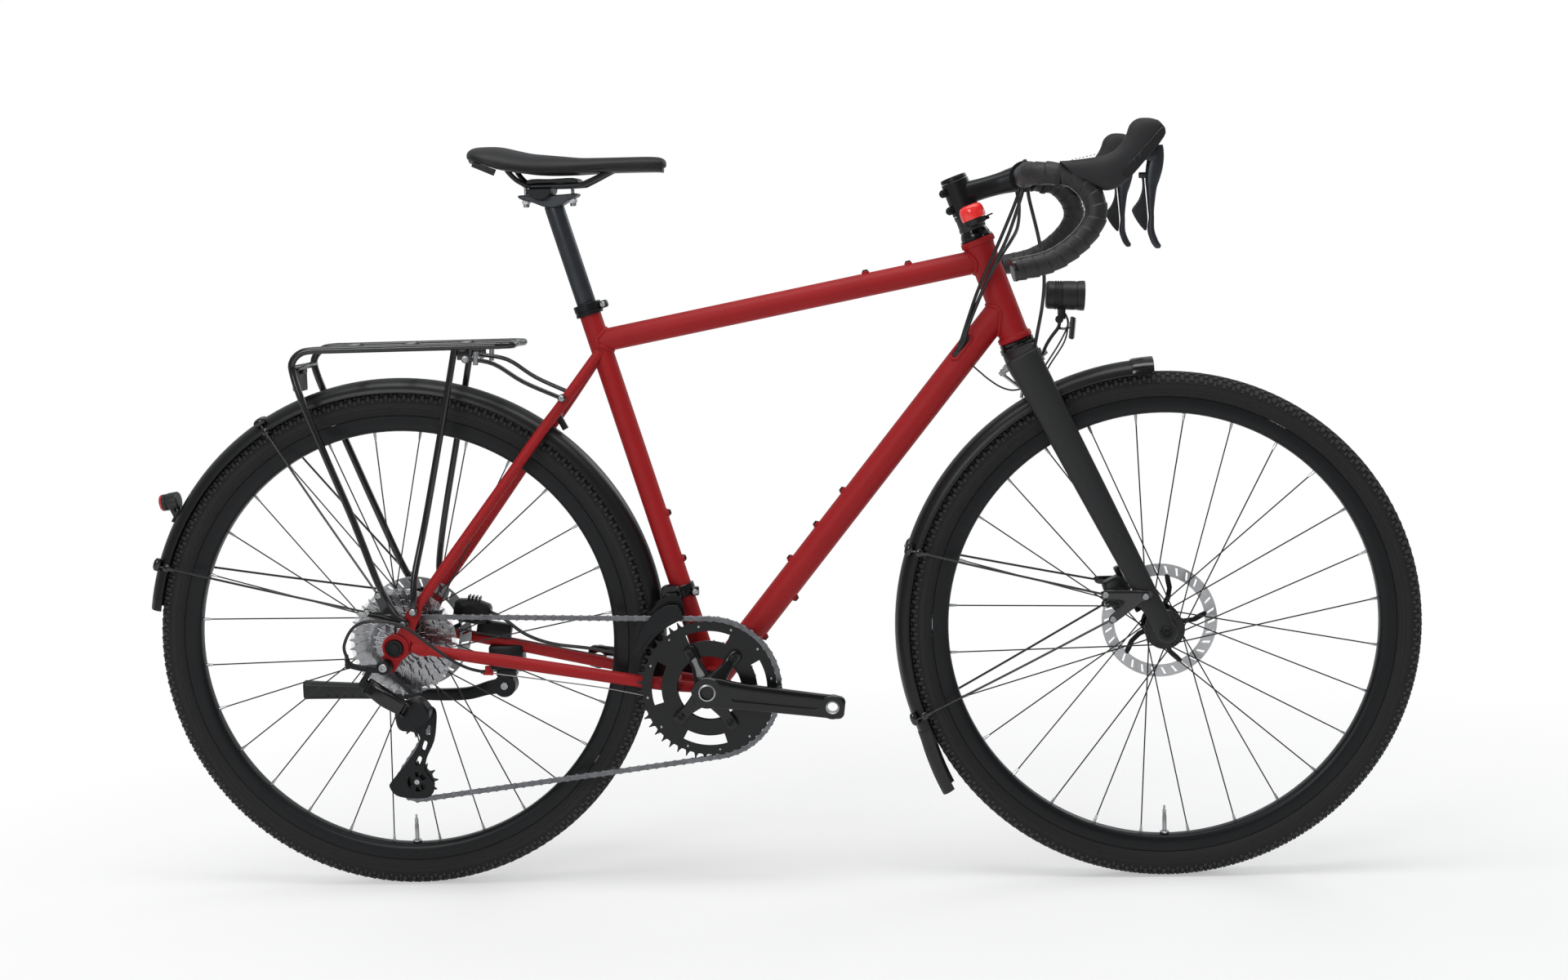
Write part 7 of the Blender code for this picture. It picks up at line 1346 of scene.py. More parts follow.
boat = plate(in_cradle([(-0.039, 0.0045), (-0.038, -0.0005), (-0.02, -0.0062), (-0.002, -0.013),
    (0.015, -0.012), (0.03, -0.003), (0.039, 0.0005), (0.0395, 0.005), (0.018, 0.004), (-0.018, 0.004)]),
    0.034, 0, (), 0.0014)
settle(joined([post, boat]), "seatpost_and_cradle", "seat", grey_alloy, "seatpost")
lower_jaw = plate([(cradle_middle.x - 0.01 + x, 0.9738 + z)
    for x, z in [(0.0175, 0), *[(0.0175 * math.cos(a), -0.0155 * math.sin(a))
    for a in (0.3, 0.7, 1.1, 1.57, 2.04, 2.44, 2.84)], (-0.0175, 0)]], 0.056, 0, (), 0.001)
upper_jaw = plate(rounded([(0.201, 0.979), (0.204, 0.98), (0.235, 0.9806), (0.269, 0.98), (0.271, 0.983),
    (0.265, 0.9868), (0.235, 0.9862), (0.21, 0.9868), (0.201, 0.984)], 3), 0.052, 0, (), 0.001)
settle(joined([lower_jaw, upper_jaw]), "saddle_jaws", "seat", black_alloy)
barrels = []
for shift in (-0.0322, 0.0328):
    spot = cradle_middle + X * shift
    barrels += [rod(spot + Vector((0, -0.0125, 0.0185)), spot + Vector((0, 0.0125, 0.0185)), 0.0036, 24),
        rod(spot - Z * 0.009, spot + Z * 0.02, 0.0024, 16),
        rod(spot + Vector((0, -0.0105, -0.0046)), spot + Vector((0, 0.0105, -0.0046)), 0.0042, 24),
        turned([(0, -0.012), (0.0036, -0.012), (0.0042, -0.0114), (0.0042, -0.008), (0, -0.008)], spot, Z,
        20)]
settle(joined(barrels), "saddle_bolts_and_barrels", "seat", bright_steel)
tag = plate([(0.1359, 1.0114), (0.1671, 0.9999), (0.1632, 0.9916), (0.1331, 1.0049)], 0.0012, -0.0585, (),
    0.0003)
settle(tag, "saddle_tag", "seat", gloss_plastic)
print("saddle", len(cover.data.polygons), "faces")

# %% [markdown]
# ## Chain drive
# Every tooth is cut for a 12.7 mm chain, so one function draws any sprocket from its number of
# teeth: the pitch circle gives the valleys for the rollers and the flanks rise from them. The
# chain itself could be a ribbon, but its pins and waisted plates show along the whole run. One
# outer and one inner link are modelled and copied along the line, plate by plate.

# %% Toothed wheels


CHAIN_PITCH = 0.0127


def pitch_radius(teeth):
    """The radius of the pins' circle on a wheel with so many teeth."""
    return CHAIN_PITCH / (2 * math.sin(math.pi / teeth))


def toothed(centre, teeth, phase=0.0, tip=0.0036, root=0.004):
    """(x, z) loop of a sprocket with round valleys and narrow tips."""
    loop = []
    middle, step = pitch_radius(teeth), 360.0 / teeth
    outline = ((-0.26, -root * 0.97), (-0.13, -0.0006), (-0.055, tip), (0.055, tip), (0.13, -0.0006),
        (0.26, -root * 0.97), (0.5, -root - 0.0002))
    for tooth in range(teeth):
        for share, reach in outline:
            point = polar(centre, phase + (tooth + share) * step, middle + reach)
            loop.append((point.x, point.z))
    return loop


cassette_parts, outer_y = [], -0.0665
for index, teeth in enumerate((11, 12, 13, 14, 15, 17, 19, 21, 24, 28, 32, 36)):
    body_edge = pitch_radius(teeth) - 0.0125
    holes = [loop_round(rear_axle, max(0.0124, body_edge - 0.016 if teeth > 24 else 0.0124), 24)]
    cassette_parts.append(plate(toothed(rear_axle, teeth, index * 7.0), 0.0017, outer_y + 0.0036 * index,
        holes, 0.0002))
settle(joined(cassette_parts), "sprocket_stack", "sprockets", sprocket_steel, "cassette", smooth=20)
carrier = turned([(0.0122, -0.068), (0.015, -0.068), (0.0165, -0.0665), (0.017, -0.056), (0.024, -0.046),
    (0.03, -0.038), (0.04, -0.033), (0.042, -0.0285), (0.0122, -0.0285)], rear_axle, Y, 48)
lock = turned([(0.0122, 0.0671), (0.0175, 0.0671), (0.0178, 0.068), (0.0165, 0.069), (0.0122, 0.069)],
    rear_axle, -Y, 40)
settle(joined([carrier, lock]), "sprocket_carrier", "sprockets", black_alloy, "cassette")
guard_disc = turned([(0.024, -0.024), (0.074, -0.0246), (0.0752, -0.024), (0.074, -0.0234),
    (0.024, -0.023)], rear_axle, Y, 72)
settle(guard_disc, "spoke_protector", "rear_wheel", clear_film)


def arc_slot(centre, inner, outer, first, last, count=8):
    """An opening between two arcs."""
    back = loop_round(centre, inner, count, first, last)[::-1]
    return loop_round(centre, outer, count, first, last) + back


windows = [arc_slot(bracket, 0.0665, 0.08, first + 1.5, first + 46.5, 12)
    for first in (-18, 66, 150, 240)]
outer_ring = plate(toothed(bracket, 48, 1.9), 0.0022, -0.0505,
    [loop_round(bracket, 0.0445, 64), *windows], 0.0003)
inner_ring = plate(toothed(bracket, 31, 2.0), 0.002, -0.0427, [loop_round(bracket, 0.0445, 64)], 0.0003)
settle(joined([outer_ring, inner_ring]), "pair_of_chainrings", "crankset", ring_alloy, "chainrings",
    smooth=20)
pins = [rod(polar(bracket, angle, 0.0868, -0.0524), polar(bracket, angle, 0.0868, -0.0488), 0.0017, 12)
    for angle in range(8, 368, 30)]
settle(joined(pins), "shift_pins", "crankset", bright_steel)

# %% Cranks


def crank(side, degrees):
    """An arm in side view with a boss on the spindle and an eye for the pedal; side -1 is right."""
    way = polar(Vector(), degrees, 1.0)
    up = Vector((-way.z, 0, way.x))
    face = side * 0.08025
    rows = smooth_rows([(-0.004, 0.019, 0.0058), (0.012, 0.0215, 0.006), (0.03, 0.0196, 0.0061),
        (0.055, 0.018, 0.0062), (0.1, 0.017, 0.0062), (0.15, 0.0162, 0.006), (0.178, 0.016, 0.0058),
        (0.186, 0.014, 0.0056), (0.1892, 0.0095, 0.005)], 4)
    arm = skin([oval(bracket + way * reach + Y * face, up, Y, tall, thick, 32, 4.5)
        for reach, tall, thick in rows])
    eye = bracket + way * 0.1725
    tip = turned([(0, 0.0745), (0.0155, 0.0745), (0.0164, 0.0752), (0.0164, 0.0856), (0.0156, 0.0864),
        (0, 0.0864)], Vector((eye.x, 0, eye.z)), Y * side, 44)
    boss = turned([(0, 0.056), (0.0175, 0.056), (0.0205, 0.061), (0.0215, 0.07), (0.0215, 0.0852),
        (0.0205, 0.0864), (0, 0.0864)], bracket, Y * side, 48)
    hole = rod(Vector((eye.x, side * 0.07, eye.z)), Vector((eye.x, side * 0.09, eye.z)), 0.0092, 32)
    bore = rod(bracket + Y * side * 0.078, bracket + Y * side * 0.09, 0.0122, 32)
    hollow = skin([oval(bracket + way * reach + Y * (face + side * 0.0066), up, Y, tall, 0.0018, 20, 5.0)
        for reach, tall in ((0.034, 0.006), (0.04, 0.0076), (0.11, 0.0064), (0.148, 0.0058),
        (0.154, 0.004))])
    arm = carved(arm, hollow)
    arm = carved(joined([arm, tip, boss]), hole, bore, overlapping=True)
    thread = turned([(0.0071, 0.0742), (0.0091, 0.0742), (0.0091, 0.0866), (0.008, 0.0868),
        (0.0071, 0.086)], Vector((eye.x, 0, eye.z)), Y * side, 36)
    spindle_end = turned([(0.0098, 0.078), (0.0121, 0.078), (0.0121, 0.0856), (0.0098, 0.0862)], bracket,
        Y * side, 36)
    return arm, joined([thread, spindle_end])


right_arm, right_rings = crank(-1, -7.5)
spider = []
for angle in (50.0, 115.0, 223.5, 301.0):
    way = polar(Vector(), angle, 1.0)
    across = Vector((-way.z, 0, way.x))
    rows = smooth_rows([(0.01, 0.015, 0.006, -0.066), (0.025, 0.0108, 0.0052, -0.063),
        (0.04, 0.008, 0.0044, -0.058), (0.048, 0.0084, 0.0036, -0.056), (0.056, 0.0092, 0.0034, -0.0554),
        (0.062, 0.0078, 0.0032, -0.0554), (0.0655, 0.0044, 0.0028, -0.0554)], 4)
    spider.append(skin([oval(bracket + way * reach + Y * y, across, Y, wide, thick, 24, 3.2)
        for reach, wide, thick, y in rows]))
hub_disc = turned([(0, 0.0518), (0.0195, 0.0518), (0.0205, 0.053), (0.0205, 0.06), (0.019, 0.064),
    (0, 0.064)], bracket, -Y, 44)
settle(joined([right_arm, *spider, hub_disc]), "right_crank_and_spider", "crankset", gloss_alloy,
    "right_crank")
left_arm, left_rings = crank(1, 172.5)
settle(left_arm, "left_crank_arm", "crankset", gloss_alloy, "left_crank")
settle(joined([right_rings, left_rings]), "pedal_threads_and_spindle", "crankset", bright_steel)
settle(rod(bracket - Y * 0.08, bracket + Y * 0.08, 0.0097, 28), "spindle_bore", "crankset", black_plastic)
bolts = [turned([(0, 0.0405), (0.0044, 0.0405), (0.0044, 0.059), (0.0052, 0.059), (0.0052, 0.0606),
    (0.004, 0.0612), (0.0027, 0.0612), (0.0025, 0.0596), (0, 0.0596)], polar(bracket, angle, 0.055, 0),
    -Y, 20) for angle in (50.0, 115.0, 223.5, 301.0)]
settle(joined(bolts), "chainring_bolts", "crankset", black_alloy)
print("chainrings and cranks cut")

# %% Chain line and links
guide, tension = Vector((0.018, -0.0449, 0.244)), Vector((0.0155, -0.0449, 0.156))
chain_wheels = [(bracket, pitch_radius(48), -1), (tension, pitch_radius(13), -1),
    (guide, pitch_radius(11), 1), (rear_axle, pitch_radius(19), -1)]


def run_between(first, second):
    """Ends of the straight run from one wheel to the next, as (x, z) vectors."""
    (start, r1, s1), (end, r2, s2) = first, second
    across = Vector((end.x - start.x, end.z - start.z))
    step = s2 * r2 - s1 * r1
    heading = math.atan2(across.y, across.x) - math.atan2(step,
        math.sqrt(across.length_squared - step * step))
    normal = Vector((-math.sin(heading), math.cos(heading)))
    return Vector((start.x, start.z)) - normal * s1 * r1, Vector((end.x, end.z)) - normal * s2 * r2


def chain_path():
    """The closed line of the pins, finely divided."""
    spans = [run_between(wheel, chain_wheels[(index + 1) % 4])
        for index, wheel in enumerate(chain_wheels)]
    line = []
    for index, (centre, radius, sense) in enumerate(chain_wheels):
        arrive, (leave, following) = spans[index - 1][1], spans[index]
        first = math.atan2(arrive.y - centre.z, arrive.x - centre.x)
        last = math.atan2(leave.y - centre.z, leave.x - centre.x)
        sweep = (last - first) % math.tau if sense > 0 else -((first - last) % math.tau)
        for step in range(49):
            angle = first + sweep * step / 48
            line.append(Vector((centre.x + radius * math.cos(angle), 0,
                centre.z + radius * math.sin(angle))))
        line += [Vector((*leave.lerp(following, share / 24), 0)).xzy for share in range(1, 24)]
    for point in line:
        share = min(1.0, max(0.0, (point.x - 0.09) / 0.24))
        point.y = -0.0449 - 0.0056 * share
    return line + [line[0]]


def link_shape(waist, y, thickness):
    """A plate of the chain from pin to pin along X."""
    loop = [(-0.0063, 0.004), (-0.003, 0.003 * waist), (0.003, 0.003 * waist), (0.0063, 0.004),
        (0.0092, 0.0028), (0.0103, 0), (0.0092, -0.0028), (0.0063, -0.004), (0.003, -0.003 * waist),
        (-0.003, -0.003 * waist), (-0.0063, -0.004), (-0.0092, -0.0028), (-0.0103, 0), (-0.0092, 0.0028)]
    return plate(loop, thickness, y, (), 0.00015)


path_line = chain_path()
around = sum((b - a).length for a, b in zip(path_line, path_line[1:]))
links = 2 * round(around / CHAIN_PITCH / 2)
pins_at = [place for place, _, _ in even_places(path_line, around / links)][:links]
outer_link = joined([link_shape(1.0, -0.0024, 0.0008), link_shape(1.0, 0.0024, 0.0008),
    *[rod((x, -0.0031, 0), (x, 0.0031, 0), 0.0018, 8, 0.0002) for x in (-0.00635, 0.00635)]])
inner_link = joined([link_shape(1.05, -0.0015, 0.0008), link_shape(1.05, 0.0015, 0.0008),
    *[rod((x, -0.0011, 0), (x, 0.0011, 0), 0.0038, 10, 0.0002) for x in (-0.00635, 0.00635)]])
places = []
for index, start in enumerate(pins_at):
    end = pins_at[(index + 1) % links]
    way = (end - start).normalized()
    matrix = axes_at((start + end) / 2, Vector((-way.z, 0, way.x)), way)
    places.append(matrix)
chain = joined([copied(outer_link, places[0::2]), copied(inner_link, places[1::2])])
settle(chain, "roller_chain", "frame", dark_steel, "chain", smooth=25)
print("chain of", links, "links,", len(chain.data.polygons), "faces")

# %% [markdown]
# ## Derailleurs
# The rear one is a parallelogram: an upper body on the hanger, a swinging link with a moulded
# cover, and a lower body that carries the cage with its two pulleys. The front one pushes a
# cage of two pressed plates sideways. Plates are cut from loops that follow the pulleys.

# %% Rear derailleur
link_start, link_end = Vector((-0.035, -0.088, 0.3)), Vector((0.012, -0.088, 0.268))
link_run = (link_end - link_start).normalized()
link_axis = Vector((-link_run.z, 0, link_run.x))
hanger_bolt, knuckle = Vector((-0.0132, 0, 0.327)), Vector((0.0199, 0, 0.259))
upper = turned([(0, 0.0785), (0.01, 0.0785), (0.0106, 0.0792), (0.0106, 0.093), (0.0096, 0.095),
    (0.007, 0.0956), (0.0066, 0.0944), (0, 0.0944)], hanger_bolt, -Y, 40)
hex_head = turned([(0, 0.094), (0.0058, 0.094), (0.0058, 0.0966), (0.0052, 0.0972), (0.0034, 0.0972),
    (0.003, 0.095), (0, 0.095)], hanger_bolt, -Y, 32)
lug = rod(link_start - link_axis * 0.007, link_start + link_axis * 0.007, 0.0061, 24)
spine = block(link_start - link_run * 0.011 + link_axis * 0.008, (0.0126, 0.0075, 0.029), link_axis, Y,
    0.0014)
web = block(link_start - link_run * 0.0055, (0.01, 0.009, 0.0116), link_axis, Y, 0.0012)
saddle_block = block((-0.023, -0.0885, 0.325), (0.03, 0.0126, 0.0106), (0.05, 0, 1), X, 0.0022)
arm = bent([(-0.029, -0.0895, 0.3252), (-0.044, -0.0912, 0.3268), (-0.056, -0.0924, 0.33),
    (-0.061, -0.0929, 0.3335)], 0.0046, [1.1, 0.95, 0.9, 0.95], 4)
barrel = turned([(0.0023, -0.013), (0.0036, -0.013), (0.0044, -0.011), (0.0044, -0.006), (0.0036, -0.005),
    (0.0036, -0.0004), (0.0023, -0.0004)], (-0.063, -0.093, 0.3397), (-0.11, -0.09, 1), 20)
settle(joined([upper, lug, spine, web, saddle_block, arm, barrel]), "derailleur_upper_body", "frame",
    black_alloy, "derailleur_b_knuckle")
link_middle = (link_start + link_end) / 2
span = (link_end - link_start).length
pieces = []
for side in (-1, 1):
    lift = link_axis * side * 0.009
    pieces.append(block(link_middle + lift, (0.0104, span, 0.0029), link_axis, Y, 0.0008))
    for end in (link_start, link_end):
        pieces.append(rod(end + lift - link_axis * 0.00145, end + lift + link_axis * 0.00145, 0.0057, 24))
pieces += [rod(end - link_axis * 0.0088, end + link_axis * 0.0088, 0.0019, 14)
    for end in (link_start, link_end)]
cover_rows = smooth_rows([(-0.46, 0.009, 0.002, -0.0064), (-0.3, 0.01, 0.0034, -0.0074),
    (0.0, 0.0112, 0.004, -0.008), (0.3, 0.01, 0.0034, -0.0074), (0.46, 0.0088, 0.002, -0.0064)], 5)
cover_shape = skin([oval(link_middle + link_run * span * share + Y * y, link_axis, Y, tall, thick, 28,
    4.0) for share, tall, thick, y in cover_rows])
settle(joined([*pieces, cover_shape]), "derailleur_link_cover", "rear_derailleur_link", gloss_plastic,
    "derailleur_link")
lower = turned([(0, 0.05), (0.0116, 0.05), (0.0121, 0.0508), (0.0121, 0.09), (0.0108, 0.0934),
    (0.007, 0.0941), (0.0064, 0.093), (0, 0.093)], knuckle, -Y, 44)
housing = plate(rounded([(-0.0036, 0.25), (0.001, 0.237), (0.0158, 0.235), (0.039, 0.2475),
    (0.044, 0.2577), (0.04, 0.269), (0.0268, 0.28), (0.005, 0.2735), (-0.0036, 0.265)], 3), 0.029,
    -0.0655, (), 0.003)
lower_lug = rod(link_end - link_axis * 0.007, link_end + link_axis * 0.007, 0.0061, 24)
pockets = [rod(link_end + link_axis * side * 0.0072, link_end + link_axis * side * 0.0112, 0.0068, 24)
    for side in (-1, 1)]
cover_room = block(link_end - link_run * 0.006 - Y * 0.0135, (0.016, 0.02, 0.03), link_axis, Y)
lower = carved(joined([lower, lower_lug]), *pockets, cover_room)
settle(joined([lower, housing]), "derailleur_lower_body", "rear_derailleur_knuckle", black_alloy,
    "derailleur_p_knuckle")


def cage_loop(grow):
    """The curved arm and the wide foot of a cage plate, which hang from the guide pulley."""
    arm = [(0.025, 0.259), (0.036, 0.265), (0.0465, 0.259), (0.0469, 0.2432), (0.0421, 0.2139),
        (0.0305, 0.19), (0.027, 0.174), (0.033, 0.164), (0.0395, 0.152), (0.038, 0.141), (0.029, 0.1335),
        (0.005, 0.1325), (-0.015, 0.137), (-0.024, 0.149), (-0.021, 0.157), (-0.004, 0.1765),
        (0.015, 0.2005), (0.0225, 0.219), (0.013, 0.233), (0.006, 0.245), (0.013, 0.256)]
    middle = Vector((0.02, 0.195))
    return rounded([tuple(middle + (Vector(point) - middle) * grow) for point in arm], 3)


def slot_loop(x, z, long, wide, lean):
    """An oval opening whose long side leans from upright."""
    way = Vector((math.sin(lean), 0, math.cos(lean)))
    return [(p.x, p.z) for p in oval(Vector((x, 0, z)), way, way.cross(Y), long, wide, 16, 3.0)]


slots = [slot_loop(0.0345, 0.229, 0.008, 0.0034, 0.2), slot_loop(0.028, 0.207, 0.0078, 0.0032, 0.38),
    slot_loop(0.019, 0.186, 0.007, 0.0034, 0.45)]
rings = [arc_slot(tension, 0.0072, 0.0138, middle - 42, middle + 42, 8) for middle in (60, 180, 300)]
outer_plate = plate(cage_loop(1.0), 0.0015, -0.04885, slots + rings, 0.0003)
inner_plate = plate(cage_loop(0.94), 0.0015, -0.04095, slots, 0.0003)
eye = rod(Vector((knuckle.x, -0.0496, knuckle.z)), Vector((knuckle.x, -0.0481, knuckle.z)), 0.0123, 36)
bolts = [turned([(0, 0.0395), (0.004, 0.0395), (0.004, 0.0412), (0.0024, 0.0412), (0.0024, 0.049),
    (0.0036, 0.049), (0.0036, 0.0504), (0.002, 0.0506), (0, 0.05)], Vector((spot.x, 0, spot.z)), -Y, 20)
    for spot in (guide, tension)]
settle(joined([outer_plate, inner_plate, eye]), "cage_plates", "rear_derailleur_cage", black_alloy,
    "derailleur_cage")
settle(joined(bolts), "pulley_bolts", "rear_derailleur_cage", bright_steel)
for centre, teeth, name, body in ((guide, 11, "guide_pulley", "upper_pulley"),
                                  (tension, 13, "tension_pulley", "lower_pulley")):
    rings = [arc_slot(centre, 0.0074, pitch_radius(teeth) - 0.0078, start + 8, start + 64, 6)
        for start in range(0, 360, 72)]
    wheel = plate(toothed(centre, teeth, 4.0, 0.0026, 0.0036), 0.0026, -0.0449,
        [loop_round(centre, 0.0026, 16), *rings], 0.0003)
    bush = turned([(0.0026, -0.0026), (0.006, -0.0026), (0.006, 0.0026), (0.0026, 0.0026)], centre, Y, 24)
    settle(joined([wheel, bush]), "toothed_" + name, body, black_plastic, name)
settle(hex_head, "hanger_bolt_head", "frame", bright_steel)

# %% Front derailleur
band_middle = on_seat_tube(0.135)
band = turned([(0.015, 0.1268), (0.0176, 0.1268), (0.0182, 0.1275), (0.0182, 0.1425), (0.0176, 0.1432),
    (0.015, 0.1432)], bracket, seat_up, 48)
body_rows = [(-0.033, 0.012, 0.0105), (-0.031, 0.0138, 0.012), (-0.024, 0.0145, 0.0125),
    (-0.017, 0.0138, 0.012), (-0.0155, 0.012, 0.0108)]
fd_body = skin([oval(Vector((0.38, y, 0.412)), X, Z, long, tall, 32, 3.6) for y, long, tall in body_rows])
fd_body = carved(fd_body, block((0.38, -0.032, 0.4085), (0.0126, 0.019, 0.0126), Z, X, 0.0003))
ear = block(band_middle + Vector((0.019, -0.008, 0)), (0.0098, 0.0118, 0.0118), Z, X, 0.0016)
settle(joined([band, fd_body, ear]), "front_derailleur_block", "frame", gloss_alloy,
    "front_derailleur_body")
band_bolt = turned([(0, -0.003), (0.0028, -0.003), (0.0028, 0.016), (0.0042, 0.016), (0.0042, 0.0186),
    (0.0034, 0.0192), (0.002, 0.0192), (0.0018, 0.0172), (0, 0.0172)], band_middle + X * 0.0195, -Y, 20)
settle(band_bolt, "front_derailleur_bolt", "frame", bright_steel)
edge = [polar(bracket, 154 - 46 * step / 16, 0.103) for step in range(17)]
outer_edge = [polar(bracket, angle, radius) for angle, radius in ((107.5, 0.115), (108.5, 0.1235),
    (112, 0.1275), (116, 0.13), (122, 0.13), (128, 0.128), (136, 0.1245), (143, 0.12), (150, 0.1155),
    (154, 0.111))]
inner_edge = [polar(bracket, angle, radius) for angle, radius in ((106, 0.118), (106, 0.128),
    (108, 0.1395), (113, 0.1405), (119, 0.14), (122, 0.136), (126, 0.1338), (134, 0.136), (140, 0.132),
    (146, 0.126), (152, 0.1195), (156, 0.114))]
loops = [[(point.x, point.z) for point in edge + side] for side in (outer_edge, inner_edge)]
cage = [plate(loops[0], 0.0016, -0.0575, (), 0.0004), plate(loops[1], 0.0016, -0.043, (), 0.0004)]
cage.append(bent([polar(bracket, 152 - 4.2 * n, 0.1075, -0.0583) for n in range(10)], 0.0009, None, 2))
cage += [rod(polar(bracket, angle, radius, -0.0582), polar(bracket, angle, radius, -0.0424), 0.0023, 16)
    for angle, radius in ((152.0, 0.109), (110.5, 0.1215))]
cage.append(block((0.38, -0.037, 0.4085), (0.0118, 0.0118, 0.0118), Z, X, 0.0006))
settle(joined(cage), "front_cage_plates", "front_derailleur", black_alloy, "front_derailleur_cage")
print("derailleurs built")

# %% [markdown]
# ## Mudguards and their stays
# A mudguard is a strip of plastic pressed to a half-round section, 1.5 mm thick, with a rolled
# edge. It is a skin whose rings follow the wheel. Wire stays with round clips hold it, and
# pressed plates with small bolts hold the wires. The front blade ends ahead in a moulded cap
# and behind in a soft flap.

# %% Blades


def guard_ring(axle, degrees, radius=0.369, grow=0.0, wall=0.0015):
    """A closed half-round section across the wheel at an angle."""
    ring = []
    for step in range(19):
        lean = math.radians(-90 + 10 * step)
        ring.append(polar(axle, degrees, radius - 0.019 * (1 - math.cos(lean)) + grow,
            (0.0245 + grow) * math.sin(lean)))
    for step in range(18, -1, -1):
        lean = math.radians(-90 + 10 * step)
        ring.append(polar(axle, degrees,
            radius - wall - (0.019 - wall * 0.2) * (1 - math.cos(lean)) + grow,
            (0.0245 - wall + grow) * math.sin(lean)))
    return ring


def flare_at(degrees, start, rate):
    """How far a blade has left its round line at an angle."""
    return max(0.0, degrees - start) * rate


def mudguard(name, axle, body, node, first, last, start=999.0, rate=0.0):
    """A blade with its two rolled edges."""
    count = round((last - first) / 2.0)
    angles = [first + (last - first) * index / count for index in range(count + 1)]
    blade = skin([guard_ring(axle, angle, 0.3684 + flare_at(angle, start, rate)) for angle in angles])
    beads = [bent([polar(axle, angle, 0.3496 + flare_at(angle, start, rate), side * 0.0238)
        for angle in angles], 0.0013, None, 2) for side in (-1, 1)]
    settle(joined([blade, *beads]), name, body, guard_skin, node, smooth=50)


mudguard("rear_blade", rear_axle, "frame", "rear_mudguard", -9.0, 171.6)
mudguard("front_blade", front_axle, "front_end", "front_mudguard", 92.0, 206.5)
flap = skin([guard_ring(front_axle, angle, 0.3688 + flare_at(angle, 204.0, 0.0012), 0.0006)
    for angle in (203.0, 205.0, 207.0, 209.0, 211.0, 213.0, 215.0, 216.6, 217.3)])
settle(flap, "front_mud_flap", "front_end", black_rubber, "front_mudguard", smooth=50)
cap = skin([guard_ring(front_axle, angle, 0.3686, grow) for angle, grow in ((91.5, 0.0026), (91.8, 0.003),
    (93.6, 0.0026), (95.6, 0.0022), (96.2, 0.0012))])
settle(cap, "front_blade_cap", "front_end", gloss_plastic, smooth=40)
end_cap = skin([guard_ring(rear_axle, angle, 0.3672, 0.0008) for angle in (169.2, 169.6, 171.4, 171.9)])
settle(end_cap, "rear_blade_cap", "frame", gloss_plastic, smooth=40)
spacers = [rod(a, b, 0.0046, 20) for a, b in (((0.226, 0, 0.664), (0.2375, 0, 0.642)),
    ((0.381, 0, 0.2838), (0.366, 0, 0.2945)))]
settle(joined(spacers), "mudguard_spacers", "frame", black_plastic)
hold = [bent([polar(front_axle, 120.5, 0.37), polar(front_axle, 119.4, 0.379),
    Vector((0.842, 0, 0.7035))], 0.0024, None, 3), rod((0.839, 0, 0.7022), (0.859, 0, 0.7143), 0.003, 20),
    rod((0.842, 0, 0.704), (0.846, 0, 0.7064), 0.0058, 6)]
settle(joined(hold), "front_guard_bolt", "front_end", bright_steel)

# %% Stays, clips and plates


def stay(start, axle, degrees):
    """One wire from a plate, up the side of the blade, over it and down the other side."""
    start, top = Vector(start), 0.37
    half = [start, start + (polar(axle, degrees, top - 0.03, -0.03) - start) * 0.55,
        polar(axle, degrees, top - 0.019, -0.0272), polar(axle, degrees, top - 0.0085, -0.0242),
        polar(axle, degrees, top - 0.0015, -0.015), polar(axle, degrees, top + 0.0004, -0.006)]
    line = half + [Vector((p.x, -p.y, p.z)) for p in reversed(half)]
    parts = [bent(smooth_route(line, 5), 0.0016, None, 3)]
    for side in (-1, 1):
        spot = polar(axle, degrees, top - 0.0205, side * 0.0262)
        parts.append(turned([(0, -0.003), (0.0052, -0.003), (0.0056, -0.0022), (0.0056, 0.0018),
            (0.0046, 0.0028), (0.0018, 0.003), (0.0016, 0.0022), (0, 0.0022)], spot, Y * side, 24))
        parts.append(block(spot - polar(Vector(), degrees, 0.0062), (0.006, 0.005, 0.008),
            polar(Vector(), degrees, 1.0), Y, 0.001))
        cap = [(0, -0.0095), (0.0034, -0.0086), (0.0054, -0.005), (0.0058, 0), (0.0054, 0.005),
            (0.0034, 0.0086), (0, 0.0095)]
        parts.append(turned(cap, polar(axle, degrees, top - 0.005, side * 0.0226),
            polar(Vector(), degrees + 90, 1.0), 20))
    return joined(parts)


def stay_plate(outline, y, bolts, wall=0.003):
    """A pressed plate on both sides, and apart from it the bolts through it."""
    body = both_sides(plate(rounded(outline, 3), wall, y, (), 0.0006))
    heads = [turned([(0, 0.0012), (0.004, 0.0012), (0.004, 0.0036), (0.0032, 0.0042), (0.002, 0.0042),
        (0.0018, 0.0026), (0, 0.0026)], (x, y, z), -Y, 20) for x, z in bolts]
    return body, both_sides(joined(heads))


